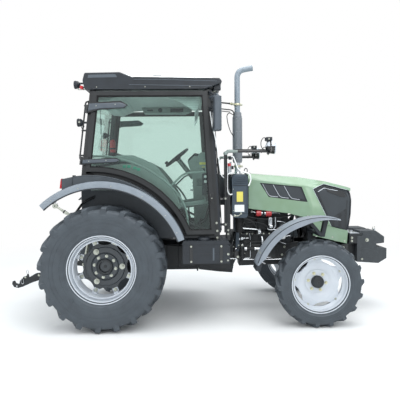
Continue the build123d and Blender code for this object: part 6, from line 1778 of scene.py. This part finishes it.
class TRACTOR_OT_linkage(PieceOperator, bpy.types.Operator):
    """Three-point linkage: lift arms and rods, lower links with claws, top link, driven shaft and its guard"""

    bl_idname = "tractor.linkage"
    bl_label = "Rear linkage"

    def execute(self, context):
        arms = node_copy("lift_arms", 5, 2)
        caps = both(rod((-150, 248, 1010), (-150, 262, 1010), 30, edge=4),
                    turned([(40, 0), (52, 3), (52, 24), (40, 27)], -150, 222, 1010, "Y", 36))
        nuts = both(bolt(-150, 262, 1010, 24), bolt(-414, 280, 954, 14, height=6))
        make("lift_arms_forging", "lift_arms", {
            "black_iron": [arms] + caps[:2], "zinc_plate": nuts, "bare_iron": caps[2:],
        }, replaces="lift_arms")

        for side in ("left", "right"):
            link = node_copy(f"lower_link_{side}", 5, 2)
            y = 412
            hook = [rod((-1128, y - 15.5, 416), (-1128, y + 15.5, 416), 9, edge=2)]
            latch = [plate([(-1092, 470), (-1060, 520), (-1000, 540), (-985, 526), (-1040, 500), (-1072, 462)],
                           y - 24, y - 16, edge=2),
                     plate([(-1010, 505), (-1000, 560), (-980, 566), (-972, 520)], y + 15.5, y + 22, edge=2)]
            pivot = bolt(-1020, y + 22, 522, 14) + bolt(-860, y + 15, 545, 17) + bolt(-800, y + 10, 540, 17)
            clip = [tube([(-1068, y + 20, 508), (-1076, y + 22, 470), (-1060, y + 22, 440),
                          (-1040, y + 22, 452), (-1044, y + 20, 500)], 3.2, 16, 8),
                    tube([(-1000, y + 22, 560), (-1004, y + 24, 600), (-990, y + 24, 614),
                          (-978, y + 22, 566)], 3, 14, 8)]
            make(f"lower_link_{side}_forging", f"lower_link_{side}", {
                "black_iron": [link] + sided(side, latch), "bright_steel": sided(side, hook, clip),
                "zinc_plate": sided(side, pivot),
            }, replaces=f"lower_link_{side}")

            lift = node_copy(f"lift_rod_{side}", 2.5, 2)
            make(f"lift_rod_{side}_turnbuckle", f"lift_rod_{side}", {"zinc_plate": [lift]},
                 replaces=f"lift_rod_{side}")

        link = node_copy("top_link", 3, 2)
        start, finish = Vector((-330, 0, 1045)), Vector((-790, 0, 1352))
        way = (finish - start).normalized()
        length = (finish - start).length
        threads = []
        for base in (84, length - 126):
            for index in range(7):
                at = start + way * (base + 6 * index)
                threads.append(rod(at, at + way * 3, 16.5, sides=24))
        collars = [rod(start + way * 108, start + way * 124, 26, sides=6),
                   rod(start + way * (length - 146), start + way * (length - 130), 26, sides=6)]
        handle = [tube([start + way * reach + Vector((x, 0, z)) for reach, x, z in
                        ((150, 14, 20), (190, 34, 50), (300, 34, 50), (340, 14, 20))], 6, 24, 10)]
        pin = [rod((-790, 38, 1352), (-790, 50, 1352), 15, edge=2),
               tube([(-790, 46, 1362), (-772, 50, 1388), (-790, 54, 1404), (-808, 50, 1388), (-790, 46, 1362)],
                    3, 12, 8)]
        chain = [tube([(-790, 44, 1370), (-740, 30, 1300), (-690, 22, 1296)], 3, 26, 8)]
        make("top_link_turnbuckle", "top_link", {
            "zinc_plate": [link] + threads, "black_enamel": handle + collars, "bright_steel": pin + chain,
        }, replaces="top_link")

        shaft = node_copy("pto_shaft", 1, 1)
        splines = [block(-352, -282, -3, 3, 15.5, 18.6, 0.8).turn(60 * i, "X").move(0, 0, 590)
                   for i in range(6)]
        groove = [turned([(17, 0), (18.8, 1), (18.8, 6), (17, 7)], -300, 0, 590, "X", 36)]
        make("pto_shaft_splines", "pto_shaft", {"bright_steel": [shaft] + splines + groove},
             replaces="pto_shaft")

        guard = node_copy("pto_guard", 3, 2)
        heads = []
        for y in (-80, 80):
            heads += bolt(-300, y, 698, 13, "Z")
        rim = [tube([(-418, -92, 616), (-418, -92, 694), (-418, 92, 694), (-418, 92, 616)], 5, 16, 8)]
        make("pto_guard_sheet", "chassis", {"black_enamel": [guard] + rim, "zinc_plate": heads},
             replaces="pto_guard")
        return {"FINISHED"}


# ---------------------------------------------------------------- inside the cab
def finished_mesh(piece):
    """Put what the piece's modifiers give into its mesh."""
    bpy.context.view_layer.update()
    mesh = bpy.data.meshes.new_from_object(piece.evaluated_get(bpy.context.evaluated_depsgraph_get()))
    piece.modifiers.clear()
    piece.data = mesh


CHANNEL_WIDTH = 5           # half the width of a sewn channel, in millimetres
NO_CHANNEL = 60             # a distance at which a channel presses nothing


def cushion(name, form, finish, swell_mm, channels):
    """A padded piece: its cover is blown up as cloth, then its sewn channels are pressed in."""
    piece = make(name, "chassis", {finish: [form]}, smooth=180)
    piece.modifiers.clear()
    remesh = piece.modifiers.new("Remesh", "REMESH")
    remesh.mode, remesh.voxel_size, remesh.use_smooth_shade = "VOXEL", 0.006, True
    finished_mesh(piece)
    cloth = piece.modifiers.new("Cloth", "CLOTH")
    cloth.settings.use_pressure = True
    cloth.settings.uniform_pressure_force = 4
    cloth.settings.effector_weights.gravity = 0
    before = [vertex.co.copy() for vertex in piece.data.vertices]
    for number in range(1, 21):
        bpy.context.scene.frame_set(number)
    finished_mesh(piece)
    bpy.context.scene.frame_set(1)
    most = swell_mm / 1000
    for vertex, old in zip(piece.data.vertices, before):
        way = vertex.co - old
        if way.length > most:
            vertex.co = old + way.normalized() * most
    soft = piece.modifiers.new("Subdivision", "SUBSURF")
    soft.levels = soft.render_levels = 1
    finished_mesh(piece)
    inward = [vertex.normal.copy() for vertex in piece.data.vertices]
    for vertex, normal in zip(piece.data.vertices, inward):
        place = TO_FRAME.inverted() @ vertex.co
        depth = sum(press * exp(-(channel(place) / CHANNEL_WIDTH) ** 2) for channel, press in channels)
        vertex.co -= normal * depth / 1000
    piece.data.shade_smooth()
    return piece


def lever(x, y, foot, top, lean, knob):
    """A hand lever: its rod and its knob."""
    stem = tube([(x, y, foot), (x + lean * 0.3, y, (foot + top) / 2), (x + lean, y, top)], 5.5, 40, 12)
    grip = turned([(0.1, -24), (11, -22), (15, -8), (knob, 8), (knob * 0.8, 20), (0.1, 26)], x + lean, y, top,
                  "Z", 24)
    return stem, grip


class TRACTOR_OT_seat(PieceOperator, bpy.types.Operator):
    """Driver's seat: padded cushion and back, pan, suspension, armrests and belt"""

    bl_idname = "tractor.seat"
    bl_label = "Seat"

    def execute(self, context):
        bottom = plate([(166, 1484), (570, 1484), (578, 1552), (186, 1540)], -214, 214, edge=20, segments=3)
        back = plate([(160, 1562), (226, 1562), (130, 2006), (62, 2006)], -192, 192, edge=20, segments=3)
        cushion("seat_cushion", bottom, "seat_cloth", 24, [
            (lambda p: p.y - 130, 7), (lambda p: p.y + 130, 7),
            (lambda p: p.x - 330 if abs(p.y) < 130 else NO_CHANNEL, 5),
            (lambda p: p.x - 450 if abs(p.y) < 130 else NO_CHANNEL, 5), (lambda p: p.z - 1512, 5)])
        cushion("seat_back", back, "seat_cloth", 24, [
            (lambda p: p.y - 120, 7), (lambda p: p.y + 120, 7),
            (lambda p: p.z - 1690 if abs(p.y) < 120 else NO_CHANNEL, 5),
            (lambda p: p.z - 1800 if abs(p.y) < 120 else NO_CHANNEL, 5), (lambda p: p.z - 1900, 5)])
        pan = [plate([(140, 1466), (592, 1466), (598, 1500), (150, 1500)], -232, 232, edge=10, segments=3),
               plate([(146, 1530), (176, 1530), (74, 2016), (44, 2016)], -204, 204, edge=10, segments=3)]
        hinges = both(plate([(140, 1470), (240, 1470), (220, 1560), (170, 1640), (140, 1600)], 216, 226,
                            edge=3))
        rests = both(tube([(150, 242, 1700), (190, 252, 1712), (440, 252, 1700)], 12, 30, 16),
                     block(200, 470, 226, 278, 1700, 1738, 14, 3))
        knobs = [turned([(0.1, 0), (24, 0), (27, 4), (27, 18), (22, 24), (0.1, 24)], 200, -250, 1520, "Y", 32)]
        buckle = [block(250, 286, -262, -248, 1470, 1560, 5), block(256, 280, -263, -247, 1552, 1566, 3)]
        folds = [bellows(330, 0, 1275, 1464, 158, 5).stretch(1, 0.86, 1)]
        make("seat_shell", "chassis", {
            "black_plastic": pan + hinges + knobs + buckle[:1] + rests[2:], "black_enamel": rests[:2],
            "red_enamel": buckle[1:], "hose_rubber": folds,
        }, replaces="seat")
        return {"FINISHED"}


class TRACTOR_OT_controls(PieceOperator, bpy.types.Operator):
    """Steering wheel, dash with its instruments, side consoles with levers, pedals and mat"""

    bl_idname = "tractor.controls"
    bl_label = "Controls"

    def execute(self, context):
        def tilted(*forms):
            """Pieces of the steering wheel, drawn flat, in place on their column."""
            return [form.turn(-38).move(800, 0, 1965) for form in forms]

        grip = [(171 + 13.6 * cos(radians(a)), 13.6 * sin(radians(a))) for a in range(0, 360, 24)]
        ring = turned(grip, axis="Z", steps=96)
        boss = turned([(0.1, -38), (30, -38), (38, -32), (52, -8), (52, -2), (42, 4), (0.1, 6)], axis="Z",
                      steps=48)
        cap = turned([(0.1, 4), (36, 4), (36, 7), (30, 10), (0.1, 11)], axis="Z", steps=48)
        spokes = ring_of([plate([(40, -13), (164, -9), (164, 9), (40, 13)], -15, -5, plane="XY", edge=3)], 3,
                         (0, 0, 0), "Z", start=90)
        knob = turned([(0.1, 12), (9, 12), (9, 22), (22, 30), (24, 46), (16, 56), (0.1, 58)], x=-150, y=84,
                      axis="Z", steps=32)
        make("steering_wheel_rim", "chassis", {
            "vinyl": tilted(ring, cap), "black_plastic": tilted(boss, *spokes, knob),
        }, replaces="steering_wheel")

        dash = node_copy("dash_console", 8, 3)
        hood = plate([(938, 1904), (952, 1944), (1030, 2016), (1118, 1996), (1140, 1960), (1030, 1974)], -132,
                     132, edge=9, segments=3)
        screen = [block(-58, 58, -112, 112, -3, 3, 2).turn(-43, "Y").move(984, 0, 1942)]
        bezel = [turned([(30, 0), (36, 0), (36, 6), (30, 6)], y=y, axis="Z", steps=36).turn(-43)
                 .move(980, 0, 1944) for y in (-66, 66)]
        stalks = both(tube([(900, 40, 1850), (880, 120, 1890), (850, 196, 1916)], 6, 30, 12),
                      ball(850, 196, 1916, 11))
        gaiter = [bellows(1002, 0, 1036, 1130, 70, 4)]
        rows = [block(998, 1006, y - 14, y + 14, z - 10, z + 10, 3)
                for y in row(-100, 100, 5) for z in (1600, 1640)]
        key = [rod((1002, 108, 1540), (984, 108, 1540), 13, edge=2), block(962, 986, 104, 112, 1532, 1548, 2)]
        vents = both(*[block(1050, 1226, 148, 152, z, z + 7, 1) for z in row(1600, 1680, 6)])
        ducts = both(plate([(776, 1322), (1240, 1378), (1248, 1446), (1200, 1444), (776, 1384)], 392, 452,
                           edge=18, segments=4))
        seams = both(tube([(776, 452, 1336), (1240, 452, 1392)], 3, 6, 8))
        cowl = [plate([(1150, 1420), (1262, 1430), (1262, 1660), (1160, 1640)], -500, 500, edge=16, segments=3)]
        louvres = both(*[block(1150, 1156, y, y + 90, 1560, 1606, 3) for y in (200, 360)])
        make("dash_and_cowl", "chassis", {
            "trim_plastic": [dash] + ducts + cowl,
            "black_plastic": [hood] + screen + bezel + stalks + rows + vents + louvres + seams,
            "hose_rubber": gaiter, "bright_steel": key,
        }, replaces="dash_console")

        post = [plate([(1070, 1803), (1187, 1803), (1187, 1968), (1160, 1995), (1096, 1995), (1070, 1968)],
                      -520, -474, edge=8, segments=3)]
        label = [block(1084, 1172, -521.5, -519.5, 1850, 1878, 0.6),
                 block(1110, 1146, -521.5, -519.5, 1818, 1828, 0.6)]
        strip = [block(1112, 1182, -520, -462, 1490, 1748, 10, 3)]
        dials = [turned([(0.1, 0), (15, 0), (17, 2), (17, 6), (0.1, 7)], 1150, 519, z, "Y", 28).mirrored()
                 for z in (1710, 1652)]
        stalk = [tube([(1150, -490, 1740), (1146, -490, 1780), (1130, -490, 1806)], 9, 18, 12)]
        make("pillar_display", "chassis", {
            "trim_plastic": post, "yellow_film": label, "black_plastic": strip + stalk, "white_film": dials,
        })

        sides = node_copy("side_consoles", 9, 3)
        arch = [(-190, 1560), (-190, 1800), (-150, 1915), (143, 1967), (310, 1965), (430, 1920), (569, 1845),
                (700, 1690), (820, 1480), (860, 1330), (780, 1330), (560, 1560)]
        trims = both(plate(arch, 470, 548, edge=14, segments=3))
        panel = both(plate([(-120, 1852), (180, 1896), (300, 1894), (420, 1846), (410, 1822), (296, 1866),
                            (180, 1868), (-120, 1826)], 548, 550.5, edge=1))
        caps, lamps, stems, grips, reds, ambers = [], [], [], [], [], []
        for x, z in ((210, 1834), (262, 1834), (330, 1816), (372, 1800)):
            lamps += both(block(x - 20, x + 20, 546, 552, z - 16, z + 16, 3))
        for x in row(-90, 60, 4):
            caps += both(block(x - 14, x + 14, 380, 420, 1588, 1606, 4))
        for x, y, foot, top, lean in ((420, -400, 1560, 1760, 36), (480, -360, 1550, 1720, 30),
                                      (500, -440, 1540, 1700, 24), (440, 400, 1560, 1750, 30)):
            stem, top_knob = lever(x, y, foot, top, lean, 21)
            stems.append(stem)
            (reds if y == -440 else ambers if y == -360 else grips).append(top_knob)
        pockets = both(turned([(44, 1598), (52, 1598), (52, 1606), (44, 1606)], 120, 400, axis="Z", steps=40))
        boots = [bellows(x, y, 1552, 1586, 30, 3)
                 for x, y in ((424, -400), (484, -360), (504, -440), (444, 400))]
        make("side_consoles_and_levers", "chassis", {
            "trim_plastic": [sides] + trims, "black_plastic": panel + caps + grips + pockets,
            "green_button": lamps, "bright_steel": stems, "red_enamel": reds, "amber_lens": ambers,
            "hose_rubber": boots,
        }, replaces="side_consoles")

        pads, arms, ribs = [], [], []
        for y, z in ((-270, 1130), (-190, 1150), (-86, 1150), (240, 1150)):
            pads.append(block(-8, 8, -34, 34, -42, 42, 6).turn(28).move(1080, y, z))
            ribs += [block(-11, -6, -28, 28, k, k + 5, 1.5).turn(28).move(1080, y, z) for k in row(-32, 26, 5)]
            arms.append(tube([(1088, y, z), (1150, y, z + 30), (1200, y, z + 180), (1214, y, z + 320)], 9, 40,
                             12))
        mat = [block(404, 1130, -440, 440, 1030, 1036, 3)]
        grooves = [block(430, 1100, y - 4, y + 4, 1035, 1039, 1) for y in row(-410, 410, 19) if abs(y) > 160]
        make("pedals_and_mat", "chassis", {
            "hose_rubber": ribs, "black_plastic": pads + mat + grooves, "black_enamel": arms,
        })

        bottle = turned([(0.1, 2076), (34, 2078), (40, 2086), (40, 2226), (32, 2250), (14, 2262), (0.1, 2263)],
                        -136, 540, axis="Z", steps=40)
        head = [rod((-136, 540, 2260), (-136, 540, 2284), 12), block(-160, -92, 532, 548, 2280, 2290, 3),
                block(-158, -100, 532, 548, 2298, 2306, 3),
                tube([(-124, 540, 2272), (-84, 540, 2262), (-78, 540, 2180), (-84, 540, 2110)], 6, 24, 10),
                turned([(40, 2120), (43, 2120), (43, 2140), (40, 2140)], -136, 540, axis="Z", steps=40)]
        make("fire_bottle", "chassis", {"red_enamel": [bottle], "black_plastic": head})
        return {"FINISHED"}


class TRACTOR_OT_back_panel(PieceOperator, bpy.types.Operator):
    """Cab back below the rear window: pressed ribs, hatch, blank plate, trailer socket and cable grommets"""

    bl_idname = "tractor.back_panel"
    bl_label = "Cab back"

    def execute(self, context):
        face = -272
        ribs = [block(face - 5, face + 4, y - 22, y + 22, 1240, 1700, 4.5, 3) for y in (-430, -350, 350, 430)]
        hatch = [block(face - 7, face + 2, -250, 250, 1470, 1700, 5, 3),
                 block(face - 10, face - 4, -210, 210, 1510, 1660, 3, 2)]
        lip = [tube([(face + 13, -516, 1770), (face + 13, 516, 1770)], 15, 6, 16)]
        seam = [tube([(face - 1, -516, 1206), (face - 1, 516, 1206)], 6, 6, 10)]
        screws = []
        for y in row(-230, 230, 4):
            for z in (1482, 1688):
                screws += bolt(face - 7, y, z, 12, "X", out=-1)
        for y in row(-480, 480, 7):
            screws += bolt(face, y, 1232, 12, "X", out=-1)
        plate_blank = [block(face - 3, face, -300, -180, 1330, 1390, 1)]
        socket = [turned([(0.1, 0), (34, 0), (34, -18), (28, -34), (24, -36), (0.1, -36)], face, 250, 1360,
                         "X", 36),
                  block(face - 40, face - 34, 222, 278, 1332, 1390, 4),
                  rod((face - 34, 222, 1392), (face - 34, 278, 1392), 5)]
        grommets = [turned([(14, 0), (22, 0), (22, -8), (14, -10)], face, y, 1290, "X", 28)
                    for y in (-90, 0, 90)]
        cables = [tube([(face + 2, y, 1290), (face - 20, y, 1284), (face - 18, y * 0.9, 1200),
                        (-240, y * 0.8, 1080)], 7, 30, 10) for y in (-90, 0, 90)]
        make("cab_back_fittings", "chassis", {
            "charcoal_enamel": ribs + hatch, "zinc_plate": screws, "white_film": plate_blank,
            "black_plastic": socket, "seal_rubber": lip + seam + grommets, "hose_rubber": cables,
        })
        return {"FINISHED"}


# ---------------------------------------------------------------- pieces shown as the frame has them
class TRACTOR_OT_finishes(PieceOperator, bpy.types.Operator):
    """Finishes of the pieces that are shown as the frame has them"""

    bl_idname = "tractor.finishes"
    bl_label = "Finishes"

    def execute(self, context):
        plain = {"paint_green": "green_enamel", "paint_dark": "charcoal_enamel", "paint_black": "black_enamel",
                 "paint_white": "white_gelcoat", "rim_silver": "silver_enamel", "tyre": "tyre_rubber",
                 "cast_iron": "black_iron", "steel": "zinc_plate", "exhaust_steel": "exhaust_enamel",
                 "glass": "green_glass", "plastic_black": "black_plastic", "plastic_grey": "fender_plastic",
                 "lens_red": "red_lens", "seat_fabric": "seat_cloth"}
        slots = {part["node"]: part["material_slot"] for part in frame["record"]["subparts"]}
        for node, piece in frame["nodes"].items():
            if not piece.hide_render:
                dress(node, plain[slots[node]])
        return {"FINISHED"}


# ---------------------------------------------------------------- stage
class TRACTOR_OT_stage(PieceOperator, bpy.types.Operator):
    """Camera, studio floor and soft lights"""

    bl_idname = "tractor.stage"
    bl_label = "Stage"

    def execute(self, context):
        scene = context.scene
        look = settings()
        camera = bpy.data.objects.new("Camera", bpy.data.cameras.new("Camera"))
        scene.collection.objects.link(camera)
        camera.data.lens = look.lens
        camera.data.sensor_width = 36
        place = TO_FRAME @ Vector((1007, -5226, 1653))
        camera.matrix_world = (Matrix.Translation(place) @ Matrix.Rotation(radians(-0.95), 4, "Z")
                               @ Matrix.Rotation(radians(87.35), 4, "X")
                               @ Matrix.Rotation(radians(-0.54), 4, "Z"))
        scene.camera = camera

        floor = bpy.data.objects.new("studio_floor", bpy.data.meshes.new("studio_floor"))
        plane = bmesh.new()
        bmesh.ops.create_grid(plane, x_segments=1, y_segments=1, size=60)
        plane.to_mesh(floor.data)
        plane.free()
        scene.collection.objects.link(floor)
        pale, tree, surface, place = started("studio_floor", "#F3F4F4", 0.9)
        mottle(tree, surface, place, ("#F3F4F4", "#EEF0F0"), 900, 1, 2)
        # Far from the piece the floor runs out into the white surround, so that no horizon shows.
        away = add(tree, "ShaderNodeVectorMath", {0: place}, operation="LENGTH")
        fade = add(tree, "ShaderNodeMapRange", {"Value": away.outputs["Value"]}, From_Min=2.6, From_Max=7.5,
                   interpolation_type="SMOOTHSTEP")
        watched = add(tree, "ShaderNodeLightPath")
        share = add(tree, "ShaderNodeMath", {0: fade.outputs["Result"], 1: watched.outputs["Is Camera Ray"]},
                    operation="MULTIPLY")
        bright = add(tree, "ShaderNodeEmission", Color=linear("#FFFFFF"), Strength=1)
        output = next(n for n in tree.nodes if n.type == "OUTPUT_MATERIAL")
        ground = add(tree, "ShaderNodeMixShader", {0: share.outputs["Value"], 1: surface.outputs["BSDF"],
                                                   2: bright.outputs["Emission"]})
        tree.links.new(ground.outputs["Shader"], output.inputs["Surface"])
        floor.data.materials.append(pale)

        world = bpy.data.worlds.new("Surround")
        scene.world = world
        world.use_nodes = True
        tree = world.node_tree
        tree.nodes.clear()
        ray = add(tree, "ShaderNodeLightPath")
        sky = add(tree, "ShaderNodeBackground", Color=linear("#E9EEF2"), Strength=look.light)
        seen = add(tree, "ShaderNodeBackground", Color=linear("#FFFFFF"), Strength=1)
        shown = add(tree, "ShaderNodeMixShader", {0: ray.outputs["Is Camera Ray"], 1: sky.outputs[0],
                                                  2: seen.outputs[0]})
        add(tree, "ShaderNodeOutputWorld", {"Surface": shown.outputs["Shader"]})

        lights = (              # name, place in metres, size, watts
            ("Key", (2.2, -5.5, 5.4), 4, 150),
            ("Fill", (-4.5, -4, 3.6), 5, 80),
            ("Top", (0.8, -0.6, 6.6), 6, 330),
        )
        for name, spot, size, watts in lights:
            lamp = bpy.data.objects.new(name, bpy.data.lights.new(name, "AREA"))
            lamp.data.size = size
            lamp.data.energy = watts
            lamp.location = spot
            lamp.rotation_euler = (Vector((0, 0, 0.9)) - Vector(spot)).to_track_quat("-Z", "Y").to_euler()
            scene.collection.objects.link(lamp)
        scene.view_settings.view_transform = "Standard"
        return {"FINISHED"}


# ---------------------------------------------------------------- panel and registration
class TRACTOR_PT_sidebar(bpy.types.Panel):
    """Lists the pieces' operators and the settings"""

    bl_label = "Farm tractor"
    bl_idname = "TRACTOR_PT_sidebar"
    bl_space_type = "VIEW_3D"
    bl_region_type = "UI"
    bl_category = "Tractor"

    def draw(self, context):
        look = settings()
        for name in TractorSettings.__annotations__:
            self.layout.prop(look, name)
        for operator in PIECES:
            self.layout.operator(operator.bl_idname)


PIECES = [TRACTOR_OT_rear_tyres, TRACTOR_OT_front_tyres, TRACTOR_OT_rear_rims, TRACTOR_OT_front_rims,
          TRACTOR_OT_hood, TRACTOR_OT_doors, TRACTOR_OT_cab, TRACTOR_OT_roof, TRACTOR_OT_lamps,
          TRACTOR_OT_mirrors, TRACTOR_OT_fenders, TRACTOR_OT_mudguards, TRACTOR_OT_exhaust,
          TRACTOR_OT_filter_box, TRACTOR_OT_front_lamps, TRACTOR_OT_ballast, TRACTOR_OT_side_boxes,
          TRACTOR_OT_engine, TRACTOR_OT_driveline, TRACTOR_OT_linkage, TRACTOR_OT_seat, TRACTOR_OT_controls,
          TRACTOR_OT_back_panel, TRACTOR_OT_finishes, TRACTOR_OT_stage]
CLASSES = [TractorSettings, *PIECES, TRACTOR_PT_sidebar]


def register():
    for one in CLASSES:
        bpy.utils.register_class(one)
    bpy.types.Scene.tractor = PointerProperty(type=TractorSettings)


def unregister():
    del bpy.types.Scene.tractor
    for one in reversed(CLASSES):
        bpy.utils.unregister_class(one)


def main():
    register()
    for operator in PIECES:
        group, name = operator.bl_idname.split(".")
        getattr(getattr(bpy.ops, group), name)()


if __name__ == "__main__":
    main()
